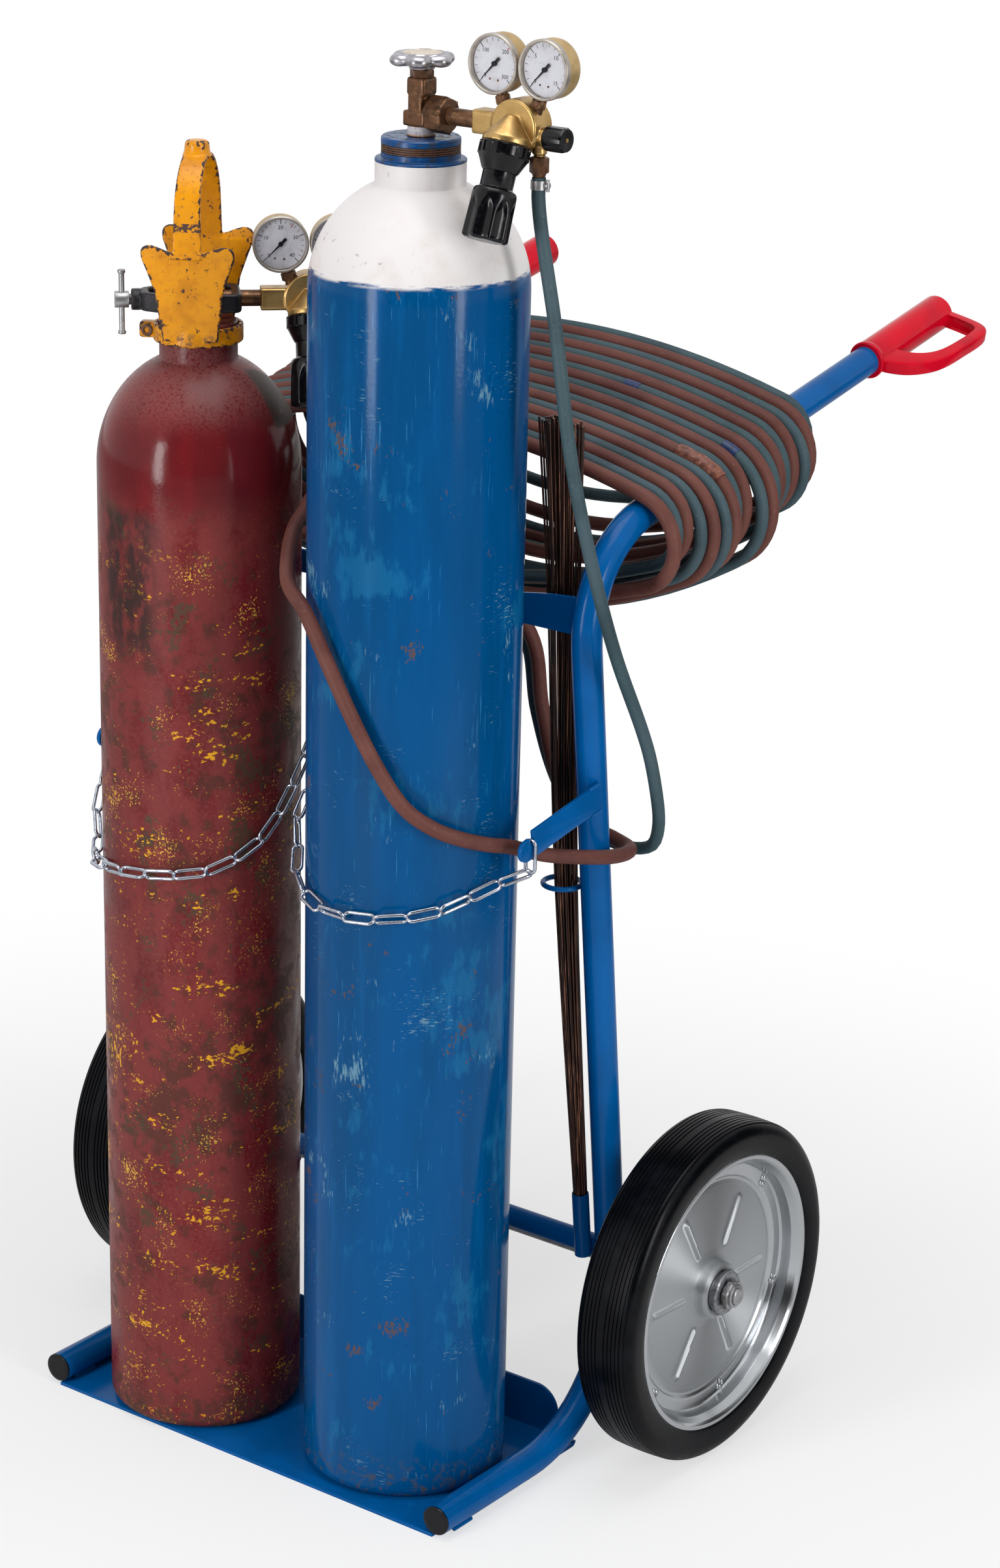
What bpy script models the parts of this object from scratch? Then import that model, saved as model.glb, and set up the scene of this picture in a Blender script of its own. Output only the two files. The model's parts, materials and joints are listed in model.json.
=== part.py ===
"""Two-wheeled cart with an oxygen and an acetylene cylinder, their regulators and wound hoses.

Metres, +Z up. The origin is the middle of the base plate's underside. +X is on the right of
someone who faces the cylinders, and +Y runs back towards the handles. Depths are measured
back from the front edge of the base plate.
"""
import math
from typing import NamedTuple

import bmesh
import bpy
from mathutils import Matrix, Vector

OBJECT_NAME = "gas_cylinder_cart"
SIDES = {"left": -1, "right": 1}

# Clearances and modelling
GAP = 0.0003
MERGE = 0.00001
SMOOTH_ANGLE = math.radians(35)
CUT_MARGIN = 0.02

# Base plate
PLATE_INSET = 0.004
PLATE_DEPTH = 0.270
PLATE_THICKNESS = 0.004
FLANGE_INSET = 0.0257
FLANGE_HEIGHT = 0.062
FLANGE_ROOT = 0.006
FLANGE_CORNER = 0.030

# Frame tubes: a foot, a leaning upright and a handle in one bent tube each side
FRAME_HALF_WIDTH = 0.2817
TUBE_RADIUS = 0.01685
TUBE_WALL = 0.0026
TUBE_SEGMENTS = 8
FOOT_LENGTH = 0.3433
FOOT_BEND = 0.155
UPRIGHT_LEAN = math.radians(6.37)
HANDLE_CORNER_HEIGHT = 1.0694
HANDLE_BEND = 0.12
HANDLE_RISE = math.radians(11.52)
HANDLE_LENGTH = 0.693
CAP_THICKNESS = 0.003
CAP_STEM = 0.018

# Cross members
CROSSBAR_RADIUS = 0.0125
CROSSBAR_HEIGHT = 0.2315
CROSS_PLATE_BOTTOM = 0.974
CROSS_PLATE_THICKNESS = 0.005
CROSS_PLATE_END = 0.0415
CROSS_PLATE_MIDDLE = 0.026
CROSS_PLATE_FLAT = 0.24
CROSS_PLATE_DIP = 0.0015
CHAIN_HOLE_RADIUS = 0.0045
CHAIN_HOLE_RISE = 0.0095
CHAIN_HOLE_X = {"left": -0.014, "right": 0.010}

# Chain arms
ARM_THICKNESS = 0.005
ARM_OFFSET = 0.0153
ARM_TOP = 0.815
ARM_WIDTH = 0.030
ARM_DROOP = math.radians(10.2)
ARM_LENGTH = 0.1465
ARM_BEHIND = 0.0083
NOTCH_WIDTH = 0.0065
NOTCH_FROM_TIP = 0.0185
NOTCH_DEPTH = 0.0125
HORN_DROP = 0.006

# Chains
WIRE_RADIUS = 0.002
LINK_LENGTH = 0.040
LINK_WIDTH = 0.016
LINK_BITE = 0.0006
LINK_SEAT = 0.0006
CHAIN_STANDOFF = 0.010

# Rod holder
RING_RADIUS = 0.021
RING_BAR = 0.003
RING_HEIGHT = 0.683
RING_AHEAD = 0.0064
QUIVER_RADIUS = 0.0097
QUIVER_WALL = 0.0014
QUIVER_FLOOR = 0.003
QUIVER_LENGTH = 0.078
QUIVER_INSET = 0.0214
QUIVER_BELOW = 0.004
ROD_BUNDLE_FOOT = 0.0065
ROD_BUNDLE_WAIST = 0.0130
ROD_WAIST_OFFSET = Vector((0.0038, 0.0016))
ROD_FLUTES = 10
ROD_FLUTE_DEPTH = 0.12
ROD_DEPTH = 0.262
ROD_MIDDLE_INSET = 0.0487
ROD_MIDDLE_HEIGHT = 1.0
ROD_MIDDLE_SPREAD = (0.020, 0.013)
ROD_TOP_INSET = 0.0582
ROD_TOP_HEIGHT = 1.205
ROD_TOP_SPREAD = (0.029, 0.015)

# Wheels
WHEEL_RADIUS = 0.2
TYRE_WIDTH = 0.0748
TYRE_BULGE_RADIUS = 0.182
TREAD_WIDTH = 0.052
RIM_WIDTH = 0.069
RIM_LIP_RADIUS = 0.1625
RIM_SEAT_RADIUS = 0.1515
RIM_LIP_SLOPE = 0.0075
RIM_SHEET = 0.0025
BEAD_CLEARANCE = 0.0006
DISC_THICKNESS = 0.003
DISC_OFFSET = 0.0055
DISC_DISH = 0.004
WHEEL_SEGMENTS = 24

# Axle
AXLE_BEHIND = 0.0427
AXLE_RADIUS = 0.010
AXLE_MIDDLE_RADIUS = 0.0125
COLLAR_RADIUS = 0.016
COLLAR_LENGTH = 0.0559
HUB_RADIUS = 0.024
HUB_LENGTH = 0.072
AXLE_NUT_WIDTH = 0.030
AXLE_NUT_HEIGHT = 0.012
AXLE_TAIL = 0.0027
BRACKET_THICKNESS = 0.006
BRACKET_EYE = 0.022
BRACKET_BOTTOM = 0.190
BRACKET_TOP = 0.260

# Grips
GRIP_LENGTH = 0.158
GRIP_RADIUS = 0.0205
GRIP_COLLAR_RADIUS = 0.0225
GRIP_COLLAR_LENGTH = 0.010
GRIP_END_WALL = 0.020
GRIP_ROUNDING = 0.006
GUARD_REACH = 0.053
GUARD_BAND = 0.0078
GUARD_HEIGHT = 0.017
GUARD_CORNER = 0.012
GUARD_TILT = math.radians(13)
GUARD_FRONT = 0.006
GUARD_FLARE_START = 0.030
GUARD_FLARE_END = 0.075

# Cylinders
CYLINDER_WALL = 0.0065
CYLINDER_SEGMENTS = 24
BASE_ROUNDING = 0.014
MOUTH_RADIUS = 0.0125
PLUG_LENGTH = 0.022
OXYGEN_X = 0.1385
OXYGEN_DEPTH = 0.1265
OXYGEN_RADIUS = 0.1143
OXYGEN_SHOULDER = 1.345
OXYGEN_SHOULDER_RISE = 0.1171
OXYGEN_COLLAR_RADIUS = 0.0465
OXYGEN_COLLAR_HEIGHT = 0.016
OXYGEN_NECK_RADIUS = 0.0405
OXYGEN_NECK_HEIGHT = 0.0315
ACETYLENE_X = -0.1383
ACETYLENE_DEPTH = 0.1015
ACETYLENE_RADIUS = 0.1105
ACETYLENE_SHOULDER = 1.122
ACETYLENE_SHOULDER_RISE = 0.1249
ACETYLENE_NECK_RADIUS = 0.0419
ACETYLENE_NECK_HEIGHT = 0.0405

# Oxygen valve
VALVE_STEM_RADIUS = 0.0135
VALVE_STEM_HEIGHT = 0.010
VALVE_BLOCK = 0.0275
VALVE_BLOCK_HEIGHT = 0.0155
VALVE_WAIST_RADIUS = 0.0118
VALVE_WAIST_HEIGHT = 0.0145
VALVE_HEAD = 0.023
VALVE_HEAD_HEIGHT = 0.0185
GLAND_RADIUS = 0.0122
GLAND_HEIGHT = 0.0075
PORT_RADIUS = 0.0105
PORT_REACH = 0.0139
HANDWHEEL_RADIUS = 0.034
HANDWHEEL_LOBES = 6
HANDWHEEL_LOBE_DEPTH = 0.004
HANDWHEEL_HEIGHT = 0.013
HANDWHEEL_HUB_RADIUS = 0.013
HANDWHEEL_HUB_HEIGHT = 0.0035
UNION_NUT_WIDTH = 0.034
UNION_NUT_LENGTH = 0.0213

# Regulators, each in a frame of its own: x along the inlet, -y towards the dials, z up
REGULATOR_REACH = {"oxygen": 0.1235, "acetylene": 0.118}
ACETYLENE_TURN = math.radians(44)
DRUM_RADIUS = 0.0275
DRUM_FRONT = 0.013
DRUM_BACK = 0.016
INLET_TUBE_RADIUS = 0.0087
INLET_BOSS_WIDTH = 0.024
INLET_BOSS_START = 0.052
OUTLET_DROP = 0.0085
OUTLET_BOSS_RADIUS = 0.010
OUTLET_BOSS_END = 0.0325
OUTLET_STEM_X = 0.024
OUTLET_STEM_RADIUS = 0.0075
OUTLET_STEM_END = 0.0277
HOSE_NUT_WIDTH = 0.017
HOSE_NUT_LENGTH = 0.0195
SPRING_TILT = math.radians(20)
SPRING_AHEAD = 0.0177
SPRING_CONE_START = -0.010
SPRING_CONE_END = 0.016
SPRING_CONE_RADII = (0.018, 0.0245)
BONNET_RADIUS = 0.026
BONNET_RIM = 0.0137
BONNET_LENGTH = 0.0277
BONNET_TIP_RADIUS = 0.0175
KNOB_NECK_RADIUS = 0.0167
KNOB_NECK_LENGTH = 0.016
KNOB_FLARE = 0.006
KNOB_RADIUS = 0.0235
KNOB_LENGTH = 0.0677
KNOB_EDGE = 0.003
OUTLET_KNOB_RADIUS = 0.013
OUTLET_KNOB_LENGTH = 0.024
GAUGE_RADIUS = 0.030
GAUGE_APART = 0.0012
GAUGE_FRONT = 0.0085
GAUGE_DEPTH = 0.027
GAUGE_POCKET = 0.006
GAUGE_BEZEL = 0.003
GAUGE_CHAMFER = 0.004
GAUGE_STEM_RADIUS = 0.0055
GAUGE_STEM = 0.0064
SOCKET_X = 0.0215
SOCKET_Z = 0.0225
SOCKET_RADIUS = 0.0078
SOCKET_LENGTH = 0.015
NEEDLE_REST = math.radians(225)
NEEDLE_REACH = 0.0215
NEEDLE_TAIL = 0.008
NEEDLE_WIDTH = 0.0022
NEEDLE_THICKNESS = 0.0012
NEEDLE_HUB_RADIUS = 0.0032
NEEDLE_HUB_HEIGHT = 0.0034

# Acetylene valve, yoke and guard
ACETYLENE_VALVE_RADIUS = 0.014
ACETYLENE_VALVE_HEIGHT = 0.052
INLET_ABOVE_NECK = 0.0218
YOKE_FRONT = 0.045
YOKE_BACK = 0.062
YOKE_WIDTH = 0.066
YOKE_WALL = 0.010
YOKE_HEIGHT = 0.020
YOKE_BOSS_RADIUS = 0.011
YOKE_BOSS_LENGTH = 0.009
SCREW_RADIUS = 0.006
SCREW_HEAD_RADIUS = 0.0088
SCREW_HEAD_LENGTH = 0.0150
SCREW_STANDOFF = 0.0025
T_BAR_RADIUS = 0.003
T_BAR_LENGTH = 0.069
T_BAR_STOP_RADIUS = 0.0042
T_BAR_STOP_LENGTH = 0.0035
T_BAR_DROP = 0.0025
GUARD_TURN = math.radians(30)
GUARD_RING_RADIUS = 0.048
GUARD_RING_HEIGHT = 0.019
GUARD_RING_BELOW = 0.022
GUARD_LUG = Vector((0.016, 0.020, 0.017))
PETAL_THICKNESS = 0.0035
PETAL_FLARE = math.radians(8.2)
PETAL_HEIGHT = 0.105
PETAL_DIP = 0.93
PETAL_EDGE = ((0.0295, 0.0), (0.036, 0.5), (0.0495, 0.86), (0.048, 0.97), (0.040, 1.0))
ARCH_WIDTH = 0.027
ARCH_THICKNESS = 0.005
ARCH_HALF_SPAN = 0.0565
ARCH_LAP = 0.007
ARCH_SPRING_RISE = 0.133
ARCH_BOSS_RADIUS = 0.010
ARCH_BOSS_HEIGHT = 0.0155


class Hose(NamedTuple):
    """A hose: its radius, where its winding and its sway start, and the points that it hangs through."""

    name: str
    gas: str
    radius: float
    winding_start: float
    sway_start: float
    route: tuple


# Windings of hose round both handles
WINDING_START = 0.302
WINDING_TURNS = 9
WINDING_POINTS = 24
WINDING_PITCH = 0.0318
WINDING_TAIL = 1 / 24
WINDING_LEAD = 0.02
WINDING_INSET = 0.0077
WINDING_BENDS = ((0.30, 0.044), (0.42, 0.064), (0.50, 0.066), (0.61, 0.046))
WINDING_DROOPS = ((0.30, 15.0), (0.42, 28.0), (0.50, 33.0), (0.61, 30.0))
WINDING_RISE = math.radians(16)
WINDING_SWAY = 0.007
SWAY_PER_TURN = 2.4
LOWER_SHARE = 0.09375
BEND_SHARE = 0.3125
TOP_SHARE = 1 - 2 * LOWER_SHARE - 2 * BEND_SHARE
HOSE_STEP = 0.048
HOSE_LEAD = 0.022
FITTING_RADIUS = 0.0075
FITTING_LENGTH = 0.045

# Hanging hoses, as x, depth and height: chosen along the hoses as they lie
RED_HOSE = Hose("red_hose", "acetylene", 0.008, WINDING_START, 0.0, (
    (-0.031, 0.205, 1.190), (-0.020, 0.190, 1.140), (-0.008, 0.125, 1.090), (0.004, 0.090, 1.076),
    (0.021, 0.060, 1.058), (0.046, 0.030, 1.036), (0.085, 0.010, 1.018), (0.120, 0.0005, 0.977),
    (0.155, 0.0005, 0.921), (0.184, 0.008, 0.869), (0.209, 0.021, 0.828), (0.231, 0.039, 0.806),
    (0.248, 0.062, 0.792), (0.2625, 0.098, 0.778), (0.267, 0.130, 0.768), (0.285, 0.170, 0.752),
    (0.303, 0.215, 0.741), (0.3115, 0.262, 0.731), (0.305, 0.298, 0.727), (0.275, 0.313, 0.728),
    (0.235, 0.318, 0.735), (0.190, 0.325, 0.770), (0.160, 0.330, 0.850), (0.148, 0.324, 0.930),
    (0.108, 0.305, 0.982),
))
GREEN_HOSE = Hose("green_hose", "oxygen", 0.007, WINDING_START + WINDING_PITCH / 2, 2.0, (
    (0.291, 0.1265, 1.420), (0.310, 0.127, 1.330), (0.331, 0.130, 1.200), (0.340, 0.155, 1.095),
    (0.338, 0.208, 0.979), (0.330, 0.287, 0.852), (0.329, 0.311, 0.787), (0.321, 0.327, 0.746),
    (0.305, 0.336, 0.720), (0.265, 0.340, 0.711), (0.220, 0.342, 0.722), (0.175, 0.344, 0.760),
    (0.141, 0.345, 0.840), (0.130, 0.338, 0.920), (0.104, 0.3165, 0.968),
))

# Chain routes, as an angle round a cylinder (degrees from +X) and a height, then free points
RIGHT_CHAIN_GAP = ((0.010, 0.170, 0.860), (0.010, 0.120, 0.791), (0.010, 0.090, 0.762))
RIGHT_CHAIN_ROUND = ((-150, 0.735), (-132, 0.712), (-109, 0.698), (-90, 0.697), (-73, 0.699),
                     (-58, 0.7025), (-33, 0.7134), (-12, 0.728))
LEFT_CHAIN_GAP = ((-0.014, 0.170, 0.860), (-0.014, 0.120, 0.791), (-0.0165, 0.090, 0.752))
LEFT_CHAIN_ROUND = ((-17, 0.726), (-42, 0.6985), (-66, 0.690), (-81, 0.687), (-99.5, 0.683),
                    (-128, 0.675), (-155, 0.672))
LEFT_CHAIN_END = ((-0.281, 0.085, 0.700),)


class Finish(NamedTuple):
    """A Principled BSDF's base colour, metallic value and roughness."""

    colour: tuple
    metallic: float
    roughness: float


BLUE_PAINT = Finish((0.008, 0.120, 0.380), 0.0, 0.25)
RED_PLASTIC = Finish((0.600, 0.010, 0.022), 0.0, 0.25)
BLACK_PLASTIC = Finish((0.012, 0.012, 0.013), 0.0, 0.45)
BLACK_RUBBER = Finish((0.016, 0.016, 0.017), 0.0, 0.75)
ZINC = Finish((0.560, 0.570, 0.580), 1.0, 0.30)
STEEL = Finish((0.420, 0.420, 0.420), 1.0, 0.40)
BLACK_IRON = Finish((0.030, 0.030, 0.032), 0.6, 0.45)
RUSTY_RODS = Finish((0.085, 0.045, 0.030), 0.6, 0.60)
OXYGEN_PAINT = Finish((0.020, 0.100, 0.290), 0.0, 0.40)
MAROON_PAINT = Finish((0.150, 0.012, 0.018), 0.0, 0.40)
YELLOW_PAINT = Finish((0.700, 0.420, 0.020), 0.0, 0.40)
BRASS = Finish((0.620, 0.420, 0.130), 1.0, 0.30)
BROWN_BRASS = Finish((0.300, 0.180, 0.080), 1.0, 0.45)
ALUMINIUM = Finish((0.650, 0.650, 0.640), 1.0, 0.40)
RED_RUBBER = Finish((0.220, 0.060, 0.050), 0.0, 0.60)
GREEN_RUBBER = Finish((0.030, 0.130, 0.150), 0.0, 0.60)


# Points, frames and outlines

def at(x: float, depth: float, height: float) -> Vector:
    """Return a point whose depth is measured back from the front edge of the base plate."""
    return Vector((x, depth - PLATE_DEPTH / 2, height))


def axes(origin: Vector, first: Vector, second: Vector) -> Matrix:
    """Return the frame at origin whose x and y axes are two square unit vectors."""
    turn = Matrix((first, second, first.cross(second))).transposed()
    return Matrix.Translation(origin) @ turn.to_4x4()


def along_axis(origin: Vector, direction: Vector) -> Matrix:
    """Return a frame at origin whose z axis is the direction."""
    return Matrix.Translation(origin) @ direction.to_track_quat("Z", "Y").to_matrix().to_4x4()


def around(radius: float, segments: int) -> float:
    """Return the corner radius of a polygon whose flats lie at the radius."""
    return radius / math.cos(math.pi / segments)


def hexagon(width: float) -> float:
    """Return the corner radius of a hexagon from its width across flats."""
    return around(width / 2, 6)


def arc(centre: tuple, radius: float, start: float, end: float, steps: int) -> list:
    """Return points on a flat arc between two angles in degrees."""
    angles = [math.radians(start + (end - start) * step / steps) for step in range(steps + 1)]
    return [(centre[0] + radius * math.cos(a), centre[1] + radius * math.sin(a)) for a in angles]


def filleted(points: list, radii: list, steps: int) -> list:
    """Return a route through points whose inner corners are rounded to the radii."""
    route = [points[0]]
    for before, corner, after, radius in zip(points, points[1:], points[2:], radii):
        back = (before - corner).normalized()
        ahead = (after - corner).normalized()
        half = back.angle(ahead) / 2
        centre = corner + (back + ahead).normalized() * radius / math.sin(half)
        first = (corner + back * radius / math.tan(half) - centre).normalized()
        last = (corner + ahead * radius / math.tan(half) - centre).normalized()
        route += [centre + first.slerp(last, step / steps) * radius for step in range(steps + 1)]
    return route + [points[-1]]


def between(table: tuple, place: float) -> float:
    """Return the value at a place in a table of (place, value) pairs, read along straight lines."""
    for (left, low), (right, high) in zip(table, table[1:]):
        if place <= right:
            return low + (high - low) * max(0.0, (place - left) / (right - left))
    return table[-1][1]


def smooth_curve(points: list, samples: int) -> list:
    """Return a dense smooth curve through points, with handles a third of each stretch long."""
    tangents = []
    for index in range(len(points)):
        before = points[max(index - 1, 0)]
        after = points[min(index + 1, len(points) - 1)]
        tangents.append((after - before).normalized())
    curve = [points[0]]
    for index in range(len(points) - 1):
        first, last = points[index], points[index + 1]
        handle = (last - first).length / 3
        near = first + tangents[index] * handle
        far = last - tangents[index + 1] * handle
        for sample in range(1, samples + 1):
            t = sample / samples
            s = 1 - t
            curve.append(first * s ** 3 + near * 3 * s * s * t + far * 3 * s * t * t + last * t ** 3)
    return curve


def spaced(curve: list, step: float) -> list:
    """Return points spread evenly along a dense curve, about one step apart."""
    lengths = [0.0]
    for first, last in zip(curve, curve[1:]):
        lengths.append(lengths[-1] + (last - first).length)
    count = max(2, round(lengths[-1] / step))
    points = []
    index = 0
    for number in range(count + 1):
        wanted = lengths[-1] * number / count
        while index < len(curve) - 2 and lengths[index + 1] < wanted:
            index += 1
        share = (wanted - lengths[index]) / (lengths[index + 1] - lengths[index])
        points.append(curve[index].lerp(curve[index + 1], share))
    return points


# Objects

def new_collection(name: str) -> bpy.types.Collection:
    """Return a new collection in the scene."""
    group = bpy.data.collections.new(name)
    bpy.context.scene.collection.children.link(group)
    return group


def material(name: str, finish: Finish) -> bpy.types.Material:
    """Return a Principled BSDF material of a finish."""
    surface = bpy.data.materials.new(name)
    surface.use_nodes = True
    shader = surface.node_tree.nodes["Principled BSDF"]
    shader.inputs["Base Color"].default_value = (*finish.colour, 1.0)
    shader.inputs["Metallic"].default_value = finish.metallic
    shader.inputs["Roughness"].default_value = finish.roughness
    return surface


def add_object(name: str, data, finish: Finish | None, matrix: Matrix) -> bpy.types.Object:
    """Add an object: a part where it has a finish, and otherwise a tool for cutting or joining."""
    obj = bpy.data.objects.new(name, data)
    if finish:
        bpy.data.collections[OBJECT_NAME].objects.link(obj)
        data.materials.append(material(name, finish))
    else:
        bpy.data.collections["tools"].objects.link(obj)
        obj.hide_render = True
        obj.display_type = "WIRE"
    obj.matrix_world = matrix
    return obj


def mesh_of(name: str, bm: bmesh.types.BMesh) -> bpy.types.Mesh:
    """Return a mesh made from an edit mesh, which is freed."""
    mesh = bpy.data.meshes.new(name)
    bm.to_mesh(mesh)
    bm.free()
    return mesh


def box(name, size, centre, finish=None, frame=Matrix()):
    """Add a box of a size about a centre in a frame."""
    bm = bmesh.new()
    bmesh.ops.create_cube(bm, size=1, matrix=Matrix.Translation(centre) @ Matrix.Diagonal(size).to_4x4())
    return add_object(name, mesh_of(name, bm), finish, frame)


def bar(name, start, end, radius, segments, finish=None, end_radius=None):
    """Add a round or six-sided bar, or a cone, from start to end with its origin at the start."""
    length = (end - start).length
    bm = bmesh.new()
    bmesh.ops.create_cone(bm, cap_ends=True, segments=segments, radius1=radius,
                          radius2=end_radius or radius, depth=length,
                          matrix=Matrix.Translation((0, 0, length / 2)))
    return add_object(name, mesh_of(name, bm), finish, along_axis(start, end - start))


def turned(name, profile, frame, segments, finish=None, closed=False):
    """Add a turned piece from (radius, height) points that run down its outer side."""
    bm = bmesh.new()
    verts = [bm.verts.new((radius, 0, height)) for radius, height in profile]
    for first, last in zip(verts, verts[1:]):
        bm.edges.new((first, last))
    if closed:
        bm.edges.new((verts[-1], verts[0]))
    obj = add_object(name, mesh_of(name, bm), finish, frame)
    screw = obj.modifiers.new("Turn", "SCREW")
    screw.steps = segments
    screw.render_steps = segments
    screw.use_merge_vertices = True
    screw.merge_threshold = MERGE
    return obj


def tube(name, routes, radius, segments, finish=None, cyclic=False):
    """Add round wires or tubes with an even number of sides along routes of points."""
    curve = bpy.data.curves.new(name, "CURVE")
    curve.dimensions = "3D"
    curve.bevel_depth = radius
    curve.bevel_resolution = segments // 2 - 2
    curve.use_fill_caps = True
    for route in routes:
        spline = curve.splines.new("POLY")
        spline.points.add(len(route) - 1)
        for point, place in zip(spline.points, route):
            point.co = (*place, 1)
        spline.use_cyclic_u = cyclic
    return add_object(name, curve, finish, Matrix())


def plate(name, outlines, thickness, frame, finish=None):
    """Add a flat plate from outlines in the frame's x and y, half its thickness each way."""
    curve = bpy.data.curves.new(name, "CURVE")
    curve.dimensions = "2D"
    curve.fill_mode = "BOTH"
    curve.extrude = thickness / 2
    for outline in outlines:
        spline = curve.splines.new("POLY")
        spline.points.add(len(outline) - 1)
        for point, (x, y) in zip(spline.points, outline):
            point.co = (x, y, 0, 1)
        spline.use_cyclic_u = True
    return add_object(name, curve, finish, frame)


def as_mesh(obj):
    """Return the object as a plain mesh of its evaluated shape, with loose caps welded."""
    bpy.context.view_layer.update()
    depsgraph = bpy.context.evaluated_depsgraph_get()
    mesh = bpy.data.meshes.new_from_object(obj.evaluated_get(depsgraph))
    bm = bmesh.new()
    bm.from_mesh(mesh)
    bmesh.ops.remove_doubles(bm, verts=bm.verts, dist=MERGE)
    bm.to_mesh(mesh)
    bm.free()
    if obj.type == "MESH":
        obj.modifiers.clear()
        obj.data = mesh
        return obj
    name, frame, group = obj.name, obj.matrix_world.copy(), obj.users_collection[0]
    bpy.data.objects.remove(obj)
    solid = bpy.data.objects.new(name, mesh)
    group.objects.link(solid)
    solid.matrix_world = frame
    return solid


def combined(target, operation, tools):
    """Return the target after one Boolean with each tool, and remove the tools."""
    target = as_mesh(target)
    tools = [as_mesh(tool) for tool in tools]
    for tool in tools:
        boolean = target.modifiers.new(operation, "BOOLEAN")
        boolean.operation = operation
        boolean.solver = "EXACT"
        boolean.object = tool
    target = as_mesh(target)
    for tool in tools:
        bpy.data.objects.remove(tool)
    return target


def fuse(target, *pieces):
    """Return the target joined with the pieces into one solid."""
    return combined(target, "UNION", pieces)


def cut(target, *cutters):
    """Return the target with the cutters taken out of it."""
    return combined(target, "DIFFERENCE", cutters)


# Places that several pieces share

def foot_height() -> float:
    """Return the height of the foot tubes' axes."""
    return PLATE_THICKNESS + GAP + TUBE_RADIUS


def upright_depth(height: float) -> float:
    """Return how far back the leaning uprights' axes are at a height."""
    return FOOT_LENGTH - (height - foot_height()) * math.tan(UPRIGHT_LEAN)


def handle_height(depth: float) -> float:
    """Return the height of the handles' axes at a depth."""
    corner = upright_depth(HANDLE_CORNER_HEIGHT)
    return HANDLE_CORNER_HEIGHT + (depth - corner) * math.tan(HANDLE_RISE)


def handle_point(side: int, distance: float) -> Vector:
    """Return the point on a handle's axis at a distance from its lower corner."""
    corner = upright_depth(HANDLE_CORNER_HEIGHT)
    return at(side * FRAME_HALF_WIDTH, corner + distance * math.cos(HANDLE_RISE),
              HANDLE_CORNER_HEIGHT + distance * math.sin(HANDLE_RISE))


def frame_route(side: int) -> list:
    """Return the axis of a frame tube: along the floor, up the upright and back as a handle."""
    x = side * FRAME_HALF_WIDTH
    corners = [
        at(x, CAP_THICKNESS, foot_height()),
        at(x, FOOT_LENGTH, foot_height()),
        at(x, upright_depth(HANDLE_CORNER_HEIGHT), HANDLE_CORNER_HEIGHT),
        handle_point(side, HANDLE_LENGTH),
    ]
    return filleted(corners, [FOOT_BEND, HANDLE_BEND], 7)


def tube_cutter(side: int) -> bpy.types.Object:
    """Return a tube round a frame tube that copes what is welded to it."""
    return tube("tube_cutter", [frame_route(side)], TUBE_RADIUS + GAP, TUBE_SEGMENTS)


def axle_depth() -> float:
    """Return how far back the axle is."""
    return upright_depth(WHEEL_RADIUS) + AXLE_BEHIND


def collar_start() -> float:
    """Return the distance from the middle to where the axle's collars start."""
    return FRAME_HALF_WIDTH + BRACKET_THICKNESS / 2 + GAP


def hub_start() -> float:
    """Return the distance from the middle to the inner ends of the wheel hubs."""
    return collar_start() + COLLAR_LENGTH + GAP


def cylinder_base() -> float:
    """Return the height of the cylinders' undersides."""
    return PLATE_THICKNESS + GAP


def shoulder_top(radius: float, shoulder: float, rise: float, neck: float) -> float:
    """Return the height at which a domed shoulder meets its neck."""
    return shoulder + rise * math.sqrt(1 - (neck / radius) ** 2)


def oxygen_neck_top() -> float:
    """Return the height of the top of the oxygen cylinder's neck."""
    dome = shoulder_top(OXYGEN_RADIUS, OXYGEN_SHOULDER, OXYGEN_SHOULDER_RISE, OXYGEN_COLLAR_RADIUS)
    return dome + OXYGEN_COLLAR_HEIGHT + OXYGEN_NECK_HEIGHT


def acetylene_neck_top() -> float:
    """Return the height of the top of the acetylene cylinder's neck."""
    dome = shoulder_top(ACETYLENE_RADIUS, ACETYLENE_SHOULDER, ACETYLENE_SHOULDER_RISE,
                        ACETYLENE_NECK_RADIUS)
    return dome + ACETYLENE_NECK_HEIGHT


def oxygen_port_height() -> float:
    """Return the height of the oxygen valve's side port."""
    return oxygen_neck_top() + GAP + VALVE_STEM_HEIGHT + VALVE_BLOCK_HEIGHT - PORT_RADIUS / 4


def acetylene_inlet_height() -> float:
    """Return the height of the acetylene valve's outlet and of the yoke on it."""
    return acetylene_neck_top() + INLET_ABOVE_NECK


def regulator_frame(gas: str) -> Matrix:
    """Return a regulator's frame: x along its inlet, -y towards its dials, z up."""
    if gas == "oxygen":
        valve = at(OXYGEN_X, OXYGEN_DEPTH, oxygen_port_height())
        turn = Matrix()
    else:
        valve = at(ACETYLENE_X, ACETYLENE_DEPTH, acetylene_inlet_height())
        turn = Matrix.Rotation(ACETYLENE_TURN, 4, "Z")
    return Matrix.Translation(valve) @ turn @ Matrix.Translation((REGULATOR_REACH[gas], 0, 0))


def hose_nut_end() -> float:
    """Return how far below a regulator's inlet its hose nut ends."""
    return OUTLET_STEM_END + GAP + HOSE_NUT_LENGTH


# Frame

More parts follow.
